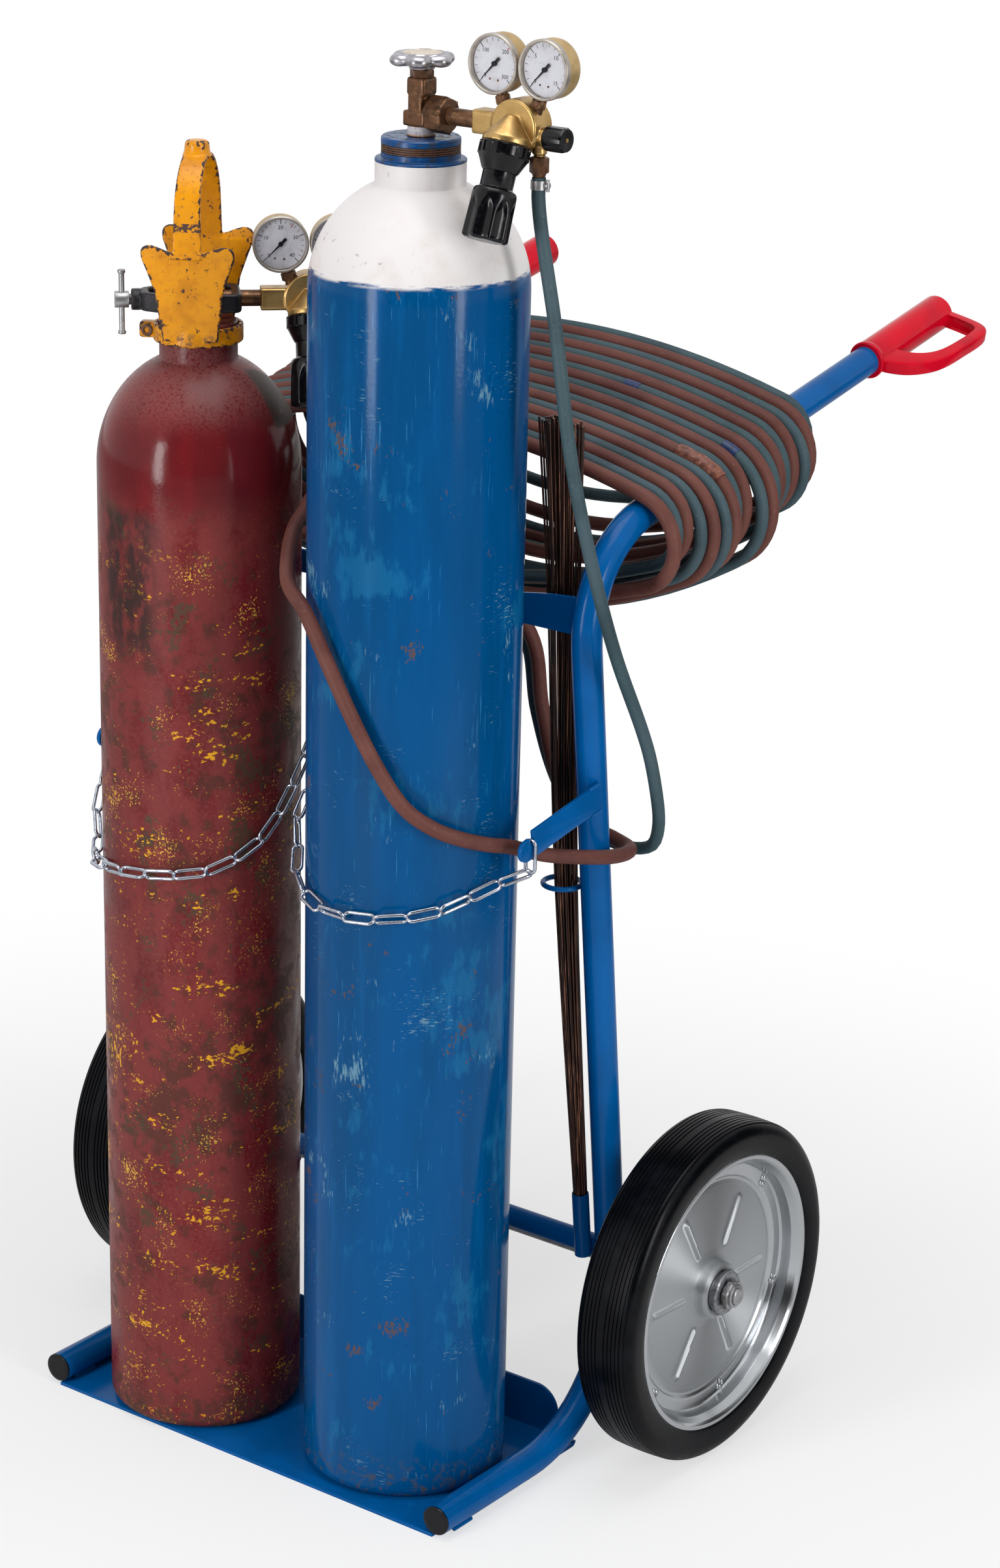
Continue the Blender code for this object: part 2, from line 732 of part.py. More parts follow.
def frame_tube(side_name: str) -> None:
    """Add one bent frame tube with an open pocket at its front end."""
    route = frame_route(SIDES[side_name])
    front = route[0]
    solid = tube(f"{side_name}_frame_tube", [route], TUBE_RADIUS, TUBE_SEGMENTS, BLUE_PAINT)
    depth = Vector((0, CAP_STEM + GAP, 0))
    margin = Vector((0, -CUT_MARGIN, 0))
    cut(solid, bar("pocket", front + margin, front + depth, TUBE_RADIUS - TUBE_WALL, 12))


def foot_cap(side_name: str) -> None:
    """Add the plug that closes the front end of a foot tube."""
    front = at(SIDES[side_name] * FRAME_HALF_WIDTH, 0, foot_height())
    stem = (TUBE_RADIUS - TUBE_WALL) * math.cos(math.pi / 12) - GAP
    face = CAP_THICKNESS - GAP
    end = CAP_THICKNESS + CAP_STEM - GAP
    profile = [(0, end), (stem, end), (stem, face), (TUBE_RADIUS, face), (TUBE_RADIUS, 0), (0, 0)]
    turned(f"{side_name}_foot_cap", profile, along_axis(front, Vector((0, 1, 0))), 12, BLACK_PLASTIC)


def base_plate() -> None:
    """Add the base plate with its bent-up, round-cornered rear flange."""
    half = FRAME_HALF_WIDTH - PLATE_INSET
    back = PLATE_DEPTH
    inner = back - PLATE_THICKNESS
    section = [(0, 0), (back, 0), (back, FLANGE_HEIGHT), (inner, FLANGE_HEIGHT),
               (inner, PLATE_THICKNESS), (0, PLATE_THICKNESS)]
    frame = axes(at(0, 0, 0), Vector((0, 1, 0)), Vector((0, 0, 1)))
    solid = plate("base_plate", [section], 2 * half, frame, BLUE_PAINT)
    flange = half - FLANGE_INSET
    top = FLANGE_HEIGHT + CUT_MARGIN
    corner = (flange - FLANGE_CORNER, FLANGE_HEIGHT - FLANGE_CORNER)
    outline = [(flange, FLANGE_ROOT), *arc(corner, FLANGE_CORNER, 0, 90, 4),
               (flange - FLANGE_CORNER, top), (half + CUT_MARGIN, top), (half + CUT_MARGIN, FLANGE_ROOT)]
    cutters = []
    for side in SIDES.values():
        mirrored = [(side * x, z) for x, z in outline]
        frame = axes(at(0, back, 0), Vector((1, 0, 0)), Vector((0, 0, 1)))
        cutters.append(plate("corner_cutter", [mirrored], CUT_MARGIN, frame))
    cut(solid, *cutters)


def lower_crossbar() -> None:
    """Add the round bar that joins the uprights low down."""
    depth = upright_depth(CROSSBAR_HEIGHT)
    ends = [at(side * FRAME_HALF_WIDTH, depth, CROSSBAR_HEIGHT) for side in SIDES.values()]
    solid = bar("lower_crossbar", ends[0], ends[1], CROSSBAR_RADIUS, 12, BLUE_PAINT)
    cut(solid, *[tube_cutter(side) for side in SIDES.values()])


def cross_plate_frame() -> Matrix:
    """Return the frame of the upper cross plate, on which the oxygen cylinder leans: y is up."""
    depth = OXYGEN_DEPTH + OXYGEN_RADIUS + GAP + CROSS_PLATE_THICKNESS / 2
    return axes(at(0, depth, CROSS_PLATE_BOTTOM), Vector((1, 0, 0)), Vector((0, 0, 1)))


def upper_cross_plate() -> None:
    """Add the flat plate between the uprights, lower in its middle, with the two chain holes."""
    end = FRAME_HALF_WIDTH - TUBE_RADIUS / 2
    flat = CROSS_PLATE_FLAT / 2
    bend = (end + flat) / 2
    fall = (CROSS_PLATE_END + CROSS_PLATE_MIDDLE) / 2 - CROSS_PLATE_DIP
    outline = [(-end, 0), (end, 0), (end, CROSS_PLATE_END), (bend, fall), (flat, CROSS_PLATE_MIDDLE),
               (-flat, CROSS_PLATE_MIDDLE), (-bend, fall), (-end, CROSS_PLATE_END)]
    corner = around(CHAIN_HOLE_RADIUS, 8)
    holes = [arc((x, CHAIN_HOLE_RISE), corner, 22.5, 337.5, 7) for x in CHAIN_HOLE_X.values()]
    frame = cross_plate_frame()
    solid = plate("upper_cross_plate", [outline, *holes], CROSS_PLATE_THICKNESS, frame, BLUE_PAINT)
    cut(solid, *[tube_cutter(side) for side in SIDES.values()])


def arm_frame(side: int) -> Matrix:
    """Return a chain arm's frame: x forward along its top edge from the upright, y up."""
    forward = Vector((0, -math.cos(ARM_DROOP), -math.sin(ARM_DROOP)))
    up = Vector((0, -math.sin(ARM_DROOP), math.cos(ARM_DROOP)))
    back = upright_depth(ARM_TOP) - ARM_BEHIND
    return axes(at(side * (FRAME_HALF_WIDTH + ARM_OFFSET), back, ARM_TOP), forward, up)


def notch_point(side: int) -> Vector:
    """Return the middle of the bottom of a chain arm's notch."""
    return arm_frame(side) @ Vector((ARM_LENGTH - NOTCH_FROM_TIP - NOTCH_WIDTH / 2, -NOTCH_DEPTH, 0))


def chain_arm(side_name: str) -> None:
    """Add the flat arm whose notch holds the last link of a chain."""
    side = SIDES[side_name]
    tip = ARM_LENGTH
    horn = tip - NOTCH_FROM_TIP
    bay = horn - NOTCH_WIDTH
    round_centre = (tip - ARM_WIDTH / 2, -ARM_WIDTH / 2 - HORN_DROP / 2)
    radius = (ARM_WIDTH - HORN_DROP) / 2
    outline = [(0, 0), (bay, 0), (bay, -NOTCH_DEPTH), (horn, -NOTCH_DEPTH), (horn, -HORN_DROP),
               (tip - radius / 2, -HORN_DROP), *arc(round_centre, radius, 30, -90, 5), (0, -ARM_WIDTH)]
    solid = plate(f"{side_name}_chain_arm", [outline], ARM_THICKNESS, arm_frame(side), BLUE_PAINT)
    cut(solid, tube_cutter(side))


# Rod holder and rods

def ring_centre() -> Vector:
    """Return the centre of the rod ring, which touches the inner side of the right upright."""
    reach = TUBE_RADIUS + GAP + RING_BAR + RING_RADIUS
    x = FRAME_HALF_WIDTH - math.sqrt(reach ** 2 - RING_AHEAD ** 2)
    return at(x, upright_depth(RING_HEIGHT) - RING_AHEAD, RING_HEIGHT)


def quiver_point() -> Vector:
    """Return where the rods' axis passes the lower crossbar, on which the quiver is welded."""
    clear = CROSSBAR_RADIUS + 2 * GAP + QUIVER_RADIUS
    return at(FRAME_HALF_WIDTH - QUIVER_INSET, upright_depth(CROSSBAR_HEIGHT) - clear, CROSSBAR_HEIGHT)


def rod_waist() -> Vector:
    """Return the middle of the rods where they pass the ring."""
    return ring_centre() + Vector((*ROD_WAIST_OFFSET, 0))


def rod_ring() -> None:
    """Add the wire ring that steadies the rods."""
    centre = ring_centre()
    points = [centre + Vector((x, y, 0)) for x, y in arc((0, 0), RING_RADIUS, 0, 330, 11)]
    tube("rod_ring", [points], RING_BAR, 6, BLUE_PAINT, cyclic=True)


def rod_quiver() -> None:
    """Add the cup in which the rods stand."""
    inner = QUIVER_RADIUS - QUIVER_WALL
    top = QUIVER_LENGTH - QUIVER_BELOW
    bottom = -QUIVER_BELOW
    profile = [(0, bottom + QUIVER_FLOOR), (inner, bottom + QUIVER_FLOOR), (inner, top),
               (QUIVER_RADIUS, top), (QUIVER_RADIUS, bottom), (0, bottom)]
    frame = along_axis(quiver_point(), rod_waist() - quiver_point())
    turned("rod_quiver", profile, frame, 12, BLUE_PAINT)


def welding_rods() -> None:
    """Add the bundle of rods as one fluted solid that spreads towards its top."""
    axis = (rod_waist() - quiver_point()).normalized()
    foot = quiver_point() + axis * (QUIVER_FLOOR - QUIVER_BELOW + 4 * GAP)
    sections = [(foot, ROD_BUNDLE_FOOT, ROD_BUNDLE_FOOT), (rod_waist(), ROD_BUNDLE_WAIST, ROD_BUNDLE_WAIST)]
    middle = at(FRAME_HALF_WIDTH - ROD_MIDDLE_INSET, ROD_DEPTH, ROD_MIDDLE_HEIGHT)
    top = at(FRAME_HALF_WIDTH - ROD_TOP_INSET, ROD_DEPTH, ROD_TOP_HEIGHT)
    sections += [(middle, *ROD_MIDDLE_SPREAD), (top, *ROD_TOP_SPREAD)]
    bm = bmesh.new()
    rings = []
    for centre, wide, deep in sections:
        ring = []
        for index in range(2 * ROD_FLUTES):
            angle = math.pi * index / ROD_FLUTES
            share = 1 - ROD_FLUTE_DEPTH * (index % 2)
            offset = Vector((wide * share * math.cos(angle), deep * share * math.sin(angle), 0))
            ring.append(bm.verts.new(centre + offset))
        rings.append(ring)
    for lower, upper in zip(rings, rings[1:]):
        for index, vertex in enumerate(lower):
            following = (index + 1) % len(lower)
            bm.faces.new((vertex, lower[following], upper[following], upper[index]))
    bm.faces.new(reversed(rings[0]))
    bm.faces.new(rings[-1])
    add_object("welding_rods", mesh_of("welding_rods", bm), RUSTY_RODS, Matrix())


# Wheels and axle

def wheel_frame(side: int) -> Matrix:
    """Return a wheel's frame: its z axis is the axle, pointing out of the cart."""
    centre = at(side * (hub_start() + HUB_LENGTH / 2), axle_depth(), WHEEL_RADIUS)
    return axes(centre, Vector((0, side, 0)), Vector((0, 0, 1)))


def tyre(side_name: str) -> None:
    """Add a tyre, whose beads sit inside the rim's lips."""
    half = RIM_WIDTH / 2
    side = [
        (RIM_SEAT_RADIUS + BEAD_CLEARANCE, half - RIM_LIP_SLOPE - BEAD_CLEARANCE),
        (RIM_LIP_RADIUS + BEAD_CLEARANCE, half),
        (TYRE_BULGE_RADIUS, TYRE_WIDTH / 2),
        (WHEEL_RADIUS, TREAD_WIDTH / 2),
    ]
    profile = side + [(r, -z) for r, z in reversed(side)]
    turned(f"{side_name}_tyre", profile, wheel_frame(SIDES[side_name]), WHEEL_SEGMENTS, BLACK_RUBBER, True)


def rim(side_name: str) -> None:
    """Add a pressed rim: a channel for the tyre, and a dished disc to the hub."""
    half = RIM_WIDTH / 2
    inner = RIM_SEAT_RADIUS - RIM_SHEET
    bore = around(HUB_RADIUS + GAP, WHEEL_SEGMENTS)
    foot = half - RIM_LIP_SLOPE + RIM_SHEET
    channel = [(RIM_LIP_RADIUS, half), (RIM_SEAT_RADIUS, half - RIM_LIP_SLOPE)]
    profile = channel + [(r, -z) for r, z in reversed(channel)]
    profile += [
        (inner, -foot),
        (inner, DISC_OFFSET - DISC_THICKNESS / 2),
        (bore, DISC_OFFSET + DISC_DISH - DISC_THICKNESS / 2),
        (bore, DISC_OFFSET + DISC_DISH + DISC_THICKNESS / 2),
        (inner, DISC_OFFSET + DISC_THICKNESS / 2),
        (inner, foot),
    ]
    turned(f"{side_name}_rim", profile, wheel_frame(SIDES[side_name]), WHEEL_SEGMENTS, ZINC, True)


def wheel_hub(side_name: str) -> None:
    """Add the hub tube that turns on the axle."""
    bore = around(AXLE_RADIUS + GAP, 16)
    half = HUB_LENGTH / 2
    profile = [(HUB_RADIUS, half), (HUB_RADIUS, -half), (bore, -half), (bore, half)]
    turned(f"{side_name}_wheel_hub", profile, wheel_frame(SIDES[side_name]), 16, ZINC, True)


def axle() -> None:
    """Add the axle, with a collar inside each wheel."""
    end = hub_start() + HUB_LENGTH + GAP + AXLE_NUT_HEIGHT + AXLE_TAIL
    collar_end = collar_start() + COLLAR_LENGTH
    half = [(AXLE_RADIUS, end), (AXLE_RADIUS, collar_end), (COLLAR_RADIUS, collar_end),
            (COLLAR_RADIUS, collar_start()), (AXLE_MIDDLE_RADIUS, collar_start())]
    profile = [(0, end)] + half + [(r, -x) for r, x in reversed(half)] + [(0, -end)]
    frame = along_axis(at(0, axle_depth(), WHEEL_RADIUS), Vector((1, 0, 0)))
    turned("axle", profile, frame, 12, STEEL)


def axle_nut(side_name: str) -> None:
    """Add the nut that keeps a wheel on the axle."""
    side = SIDES[side_name]
    start = hub_start() + HUB_LENGTH + GAP
    inner = at(side * start, axle_depth(), WHEEL_RADIUS)
    outer = at(side * (start + AXLE_NUT_HEIGHT), axle_depth(), WHEEL_RADIUS)
    nut = bar(f"{side_name}_axle_nut", inner, outer, hexagon(AXLE_NUT_WIDTH), 6, STEEL)
    margin = Vector((side * CUT_MARGIN, 0, 0))
    cut(nut, bar("nut_bore", inner - margin, outer + margin, around(AXLE_RADIUS + GAP, 12), 12))


def axle_bracket(side_name: str) -> None:
    """Add the plate that carries the axle behind an upright."""
    side = SIDES[side_name]
    eye = (axle_depth(), WHEEL_RADIUS)
    front = upright_depth(BRACKET_TOP)
    outline = [(front, BRACKET_BOTTOM), *arc(eye, BRACKET_EYE, -90, 90, 6), (front, BRACKET_TOP)]
    bore = arc(eye, around(AXLE_MIDDLE_RADIUS + GAP, 12), 0, 330, 11)
    frame = axes(at(side * FRAME_HALF_WIDTH, 0, 0), Vector((0, 1, 0)), Vector((0, 0, 1)))
    solid = plate(f"{side_name}_axle_bracket", [outline, bore], BRACKET_THICKNESS, frame, BLUE_PAINT)
    cut(solid, tube_cutter(side))


# Grips

def grip(side_name: str) -> None:
    """Add a grip: a sleeve closed at its end, and a hand guard that loops out to the side."""
    side = SIDES[side_name]
    start = HANDLE_LENGTH + GAP + GRIP_END_WALL - GRIP_LENGTH
    origin = handle_point(side, start)
    ahead = (handle_point(side, HANDLE_LENGTH) - origin).normalized()
    bore = around(TUBE_RADIUS + GAP, 16)
    end = GRIP_LENGTH
    profile = [(0, end), (GRIP_RADIUS - GRIP_ROUNDING, end), (GRIP_RADIUS, end - GRIP_ROUNDING),
               (GRIP_RADIUS, GRIP_COLLAR_LENGTH), (GRIP_COLLAR_RADIUS, GRIP_COLLAR_LENGTH / 2),
               (GRIP_COLLAR_RADIUS, 0), (bore, 0), (bore, end - GRIP_END_WALL), (0, end - GRIP_END_WALL)]
    sleeve = turned(f"{side_name}_grip", profile, along_axis(origin, ahead), 16, RED_PLASTIC)
    out = Vector((side * math.cos(GUARD_TILT), 0, -math.sin(GUARD_TILT)))
    out = (out - ahead * out.dot(ahead)).normalized()
    reach, band = GUARD_REACH, GUARD_BAND
    sleeve_side = TUBE_RADIUS + GRIP_ROUNDING / 3
    back = end - GRIP_ROUNDING / 3
    corner = (back - GUARD_CORNER, reach - GUARD_CORNER)
    middle = ((GUARD_FLARE_START + GUARD_FLARE_END) / 2, (GRIP_RADIUS + reach) / 2)
    outer = [(GUARD_FRONT, sleeve_side), (GUARD_FRONT + band, GRIP_RADIUS),
             (GUARD_FLARE_START, GRIP_RADIUS + band), (middle[0] + band / 2, middle[1] + band / 2),
             (GUARD_FLARE_END, reach),
             *arc(corner, GUARD_CORNER, 90, 0, 4), (back, sleeve_side)]
    inner_corner = GUARD_CORNER - band / 2
    inner_back = back - band
    inner_reach = reach - band
    hole_corner = (inner_back - inner_corner, inner_reach - inner_corner)
    hole_start = GUARD_FLARE_START + band
    hole = [(hole_start, sleeve_side + GAP), (hole_start + band / 2, GRIP_RADIUS + band / 2),
            (middle[0] + band, middle[1] - band / 3), (GUARD_FLARE_END + band / 3, inner_reach),
            *arc(hole_corner, inner_corner, 90, 0, 3), (inner_back, sleeve_side + GAP)]
    guard = plate("guard", [outer, hole], GUARD_HEIGHT, axes(origin, ahead, out))
    fuse(sleeve, guard)


# Cylinders and valves

def dome(radius, shoulder, rise, neck, steps):
    """Return the outline of a domed shoulder, from its neck down to its edge."""
    last = math.acos(neck / radius)
    angles = [last * (steps - step) / steps for step in range(steps + 1)]
    return [(radius * math.cos(angle), shoulder + rise * math.sin(angle)) for angle in angles]


def gas_cylinder(name, place, radius, shoulder, rise, neck_outline, finish):
    """Add a hollow gas cylinder with a round-edged base, a domed shoulder and an open mouth."""
    base = cylinder_base()
    wall = CYLINDER_WALL
    mouth = around(MOUTH_RADIUS + GAP, CYLINDER_SEGMENTS)
    inside = radius - wall
    edge = BASE_ROUNDING
    outer = neck_outline + dome(radius, shoulder, rise, neck_outline[-1][0], 5)[1:]
    outer += [(radius, base + edge), (radius - edge / 3, base + edge / 3), (radius - edge, base), (0, base)]
    ceiling = dome(inside, shoulder, rise - wall, mouth, 3)
    hollow = [(0, base + wall), (inside, base + wall + edge)]
    turned(name, hollow + ceiling[::-1] + outer, Matrix.Translation(place), CYLINDER_SEGMENTS, finish)


def oxygen_cylinder() -> None:
    """Add the oxygen cylinder with its collar and neck ring."""
    top = oxygen_neck_top()
    neck = top - OXYGEN_NECK_HEIGHT
    mouth = around(MOUTH_RADIUS + GAP, CYLINDER_SEGMENTS)
    outline = [(mouth, top), (OXYGEN_NECK_RADIUS, top), (OXYGEN_NECK_RADIUS, neck),
               (OXYGEN_COLLAR_RADIUS, neck), (OXYGEN_COLLAR_RADIUS, neck - OXYGEN_COLLAR_HEIGHT)]
    gas_cylinder("oxygen_cylinder", at(OXYGEN_X, OXYGEN_DEPTH, 0), OXYGEN_RADIUS, OXYGEN_SHOULDER,
                 OXYGEN_SHOULDER_RISE, outline, OXYGEN_PAINT)


def acetylene_cylinder() -> None:
    """Add the shorter acetylene cylinder with its plain neck."""
    top = acetylene_neck_top()
    mouth = around(MOUTH_RADIUS + GAP, CYLINDER_SEGMENTS)
    outline = [(mouth, top), (ACETYLENE_NECK_RADIUS, top),
               (ACETYLENE_NECK_RADIUS, top - ACETYLENE_NECK_HEIGHT)]
    gas_cylinder("acetylene_cylinder", at(ACETYLENE_X, ACETYLENE_DEPTH, 0), ACETYLENE_RADIUS,
                 ACETYLENE_SHOULDER, ACETYLENE_SHOULDER_RISE, outline, MAROON_PAINT)


def valve_levels() -> dict:
    """Return the heights of the oxygen valve's steps above the floor."""
    stem = oxygen_neck_top() + GAP
    block = stem + VALVE_STEM_HEIGHT
    waist = block + VALVE_BLOCK_HEIGHT
    head = waist + VALVE_WAIST_HEIGHT
    gland = head + VALVE_HEAD_HEIGHT
    return {"stem": stem, "block": block, "waist": waist, "head": head, "gland": gland,
            "top": gland + GLAND_HEIGHT}


def oxygen_valve_body() -> None:
    """Add the oxygen valve: a plug in the neck, two blocks, a waist, a gland and a side port."""
    level = valve_levels()

    def up(height):
        return at(OXYGEN_X, OXYGEN_DEPTH, height)

    stem = level["stem"]
    profile = [(0, level["waist"]), (VALVE_STEM_RADIUS, level["waist"]), (VALVE_STEM_RADIUS, stem),
               (MOUTH_RADIUS, stem), (MOUTH_RADIUS, stem - PLUG_LENGTH), (0, stem - PLUG_LENGTH)]
    body = turned("oxygen_valve_body", profile, Matrix.Translation(up(0)), 12, BROWN_BRASS)
    block_middle = level["block"] + VALVE_BLOCK_HEIGHT / 2
    head_middle = level["head"] + VALVE_HEAD_HEIGHT / 2
    port = up(oxygen_port_height())
    fuse(
        body,
        box("block", (VALVE_BLOCK, VALVE_BLOCK, VALVE_BLOCK_HEIGHT), up(block_middle)),
        bar("waist", up(block_middle), up(head_middle), VALVE_WAIST_RADIUS, 12),
        box("head", (VALVE_HEAD, VALVE_HEAD, VALVE_HEAD_HEIGHT), up(head_middle)),
        bar("gland", up(head_middle), up(level["top"]), GLAND_RADIUS, 6),
        bar("port", port, port + Vector((PORT_REACH, 0, 0)), PORT_RADIUS, 12),
    )


def oxygen_handwheel() -> None:
    """Add the lobed handwheel on the oxygen valve's gland."""
    bottom = at(OXYGEN_X, OXYGEN_DEPTH, valve_levels()["top"] + GAP)
    outline = []
    for index in range(4 * HANDWHEEL_LOBES):
        angle = math.pi * index / (2 * HANDWHEEL_LOBES)
        radius = HANDWHEEL_RADIUS - HANDWHEEL_LOBE_DEPTH * (1 - math.cos(HANDWHEEL_LOBES * angle)) / 2
        outline.append((radius * math.cos(angle), radius * math.sin(angle)))
    middle = Vector((0, 0, HANDWHEEL_HUB_HEIGHT + HANDWHEEL_HEIGHT / 2))
    frame = Matrix.Translation(bottom + middle)
    wheel = plate("oxygen_handwheel", [outline], HANDWHEEL_HEIGHT, frame, ALUMINIUM)
    fuse(wheel, bar("hub", bottom, bottom + middle, HANDWHEEL_HUB_RADIUS, 12))


def oxygen_union_nut() -> None:
    """Add the nut that holds the oxygen regulator's inlet on the valve's port."""
    start = at(OXYGEN_X + PORT_REACH + GAP, OXYGEN_DEPTH, oxygen_port_height())
    end = start + Vector((UNION_NUT_LENGTH, 0, 0))
    nut = bar("oxygen_union_nut", start, end, hexagon(UNION_NUT_WIDTH), 6, BROWN_BRASS)
    margin = Vector((CUT_MARGIN, 0, 0))
    cut(nut, bar("bore", start - margin, end + margin, around(INLET_TUBE_RADIUS + GAP, 12), 12))


def acetylene_valve_body() -> None:
    """Add the acetylene valve, a round body with a plug in the cylinder's neck."""
    stem = acetylene_neck_top() + GAP
    top = stem + ACETYLENE_VALVE_HEIGHT
    radius = ACETYLENE_VALVE_RADIUS
    profile = [(0, top), (radius * 2 / 3, top), (radius, top - radius / 3), (radius, stem),
               (MOUTH_RADIUS, stem), (MOUTH_RADIUS, stem - PLUG_LENGTH), (0, stem - PLUG_LENGTH)]
    frame = Matrix.Translation(at(ACETYLENE_X, ACETYLENE_DEPTH, 0))
    turned("acetylene_valve_body", profile, frame, 14, BROWN_BRASS)


# Acetylene yoke and guard

def yoke_frame() -> Matrix:
    """Return the yoke's frame: x from the valve's axis along the regulator's inlet, z up."""
    valve = at(ACETYLENE_X, ACETYLENE_DEPTH, acetylene_inlet_height())
    return Matrix.Translation(valve) @ Matrix.Rotation(ACETYLENE_TURN, 4, "Z")


def on_yoke(x: float) -> Vector:
    """Return the point on the yoke's axis at a distance in front of the valve."""
    return yoke_frame() @ Vector((x, 0, 0))


def oval(back: float, front: float, radius: float) -> list:
    """Return a long outline with round ends."""
    return arc((front - radius, 0), radius, -90, 90, 5) + arc((back + radius, 0), radius, 90, 270, 5)


def screw_head_start() -> float:
    """Return how far behind the valve the head of the yoke screw starts."""
    return YOKE_BACK + YOKE_BOSS_LENGTH + SCREW_STANDOFF


def acetylene_yoke() -> None:
    """Add the yoke: an oval band round the valve, bored for the inlet and for the screw."""
    half = YOKE_WIDTH / 2
    outlines = [oval(-YOKE_BACK, YOKE_FRONT, half),
                oval(YOKE_WALL - YOKE_BACK, YOKE_FRONT - YOKE_WALL, half - YOKE_WALL)]
    band = plate("acetylene_yoke", outlines, YOKE_HEIGHT, yoke_frame(), BLACK_IRON)
    inside = YOKE_WALL / 2
    boss_end = on_yoke(-YOKE_BACK - YOKE_BOSS_LENGTH)
    boss = bar("boss", on_yoke(inside - YOKE_BACK), boss_end, YOKE_BOSS_RADIUS, 12)
    band = fuse(band, boss)
    inlet_bore = around(INLET_TUBE_RADIUS + GAP, 12)
    screw_bore = around(SCREW_RADIUS + GAP, 10)
    behind = YOKE_BACK + YOKE_BOSS_LENGTH + CUT_MARGIN
    cut(band, bar("inlet_bore", on_yoke(0), on_yoke(YOKE_FRONT + CUT_MARGIN), inlet_bore, 12),
        bar("screw_bore", on_yoke(0), on_yoke(-behind), screw_bore, 10))


def yoke_screw() -> None:
    """Add the screw that clamps the yoke on the valve, cross-bored for its bar."""
    tip = on_yoke(-ACETYLENE_VALVE_RADIUS - GAP)
    head = on_yoke(-screw_head_start())
    end = on_yoke(-screw_head_start() - SCREW_HEAD_LENGTH)
    shank = (head - tip).length
    length = (end - tip).length
    profile = [(0, length), (SCREW_HEAD_RADIUS, length), (SCREW_HEAD_RADIUS, shank),
               (SCREW_RADIUS, shank), (SCREW_RADIUS, 0), (0, 0)]
    screw = turned("yoke_screw", profile, along_axis(tip, end - tip), 10, STEEL)
    middle = (head + end) / 2
    half = Vector((0, 0, SCREW_HEAD_RADIUS + CUT_MARGIN))
    cut(screw, bar("cross_bore", middle - half, middle + half, around(T_BAR_RADIUS + GAP, 8), 8))


def yoke_t_bar() -> None:
    """Add the sliding bar through the head of the yoke screw, with a stop at each end."""
    half = T_BAR_LENGTH / 2
    stop = half - T_BAR_STOP_LENGTH
    upper = [(0, half), (T_BAR_STOP_RADIUS, half), (T_BAR_STOP_RADIUS, stop), (T_BAR_RADIUS, stop)]
    profile = upper + [(r, -z) for r, z in reversed(upper)]
    middle = on_yoke(-screw_head_start() - SCREW_HEAD_LENGTH / 2) - Vector((0, 0, T_BAR_DROP))
    turned("yoke_t_bar", profile, Matrix.Translation(middle), 8, STEEL)


def acetylene_guard() -> None:
    """Add the valve guard: a split ring on the neck, two flared petals and an arch over the valve."""
    axis = at(ACETYLENE_X, ACETYLENE_DEPTH, 0)
    top = acetylene_neck_top()
    ring_bottom = top - GUARD_RING_BELOW
    inner = around(ACETYLENE_NECK_RADIUS + GAP, 20)
    height = GUARD_RING_HEIGHT
    profile = [(GUARD_RING_RADIUS, height), (GUARD_RING_RADIUS, 0), (inner, 0), (inner, height)]
    front = Vector((math.sin(GUARD_TURN), -math.cos(GUARD_TURN), 0))
    across = Vector((math.cos(GUARD_TURN), math.sin(GUARD_TURN), 0))
    up = Vector((0, 0, 1))
    ring_frame = axes(axis + up * ring_bottom, front, up.cross(front))
    guard = turned("acetylene_guard", profile, ring_frame, 20, YELLOW_PAINT, True)
    right = [(x, PETAL_HEIGHT * share) for x, share in PETAL_EDGE]
    right.append((ARCH_WIDTH / 2, PETAL_HEIGHT * PETAL_DIP))
    outline = right + [(-x, y) for x, y in reversed(right)]
    pieces = []
    for sign in (1, -1):
        out = front * sign
        lean = out * math.sin(PETAL_FLARE) + up * math.cos(PETAL_FLARE)
        root_radius = (inner + GUARD_RING_RADIUS) / 2
        root_place = axis + out * root_radius + up * (ring_bottom + GUARD_RING_HEIGHT / 3)
        pieces.append(plate("petal", [outline], PETAL_THICKNESS, axes(root_place, across * sign, lean)))
    half = ARCH_THICKNESS / 2
    spring = ARCH_SPRING_RISE
    foot = PETAL_HEIGHT * PETAL_DIP * math.cos(PETAL_FLARE) - ARCH_LAP
    band = [(ARCH_HALF_SPAN + half, foot), *arc((0, spring), ARCH_HALF_SPAN + half, 0, 180, 8),
            (-ARCH_HALF_SPAN - half, foot), (-ARCH_HALF_SPAN + half, foot),
            *arc((0, spring), ARCH_HALF_SPAN - half, 180, 0, 8), (ARCH_HALF_SPAN - half, foot)]
    arch_frame = axes(axis + up * (ring_bottom + GUARD_RING_HEIGHT / 3), front, up)
    pieces.append(plate("arch", [band], ARCH_WIDTH, arch_frame))
    crown = arch_frame @ Vector((0, spring + ARCH_HALF_SPAN, 0))
    pieces.append(bar("boss", crown, crown + up * ARCH_BOSS_HEIGHT, ARCH_BOSS_RADIUS, 10))
    lug_centre = Vector((0, -GUARD_RING_RADIUS - GUARD_LUG.y / 4, GUARD_RING_HEIGHT / 2))
    pieces.append(box("lug", GUARD_LUG, lug_centre, frame=ring_frame))
    fuse(guard, *pieces)


# Regulators

def spring_frame(gas: str) -> Matrix:
    """Return the frame of a regulator's spring, whose z axis points out through the knob."""
    direction = Vector((0, -math.sin(SPRING_TILT), -math.cos(SPRING_TILT)))
    return regulator_frame(gas) @ along_axis(Vector((0, -SPRING_AHEAD, 0)), direction)


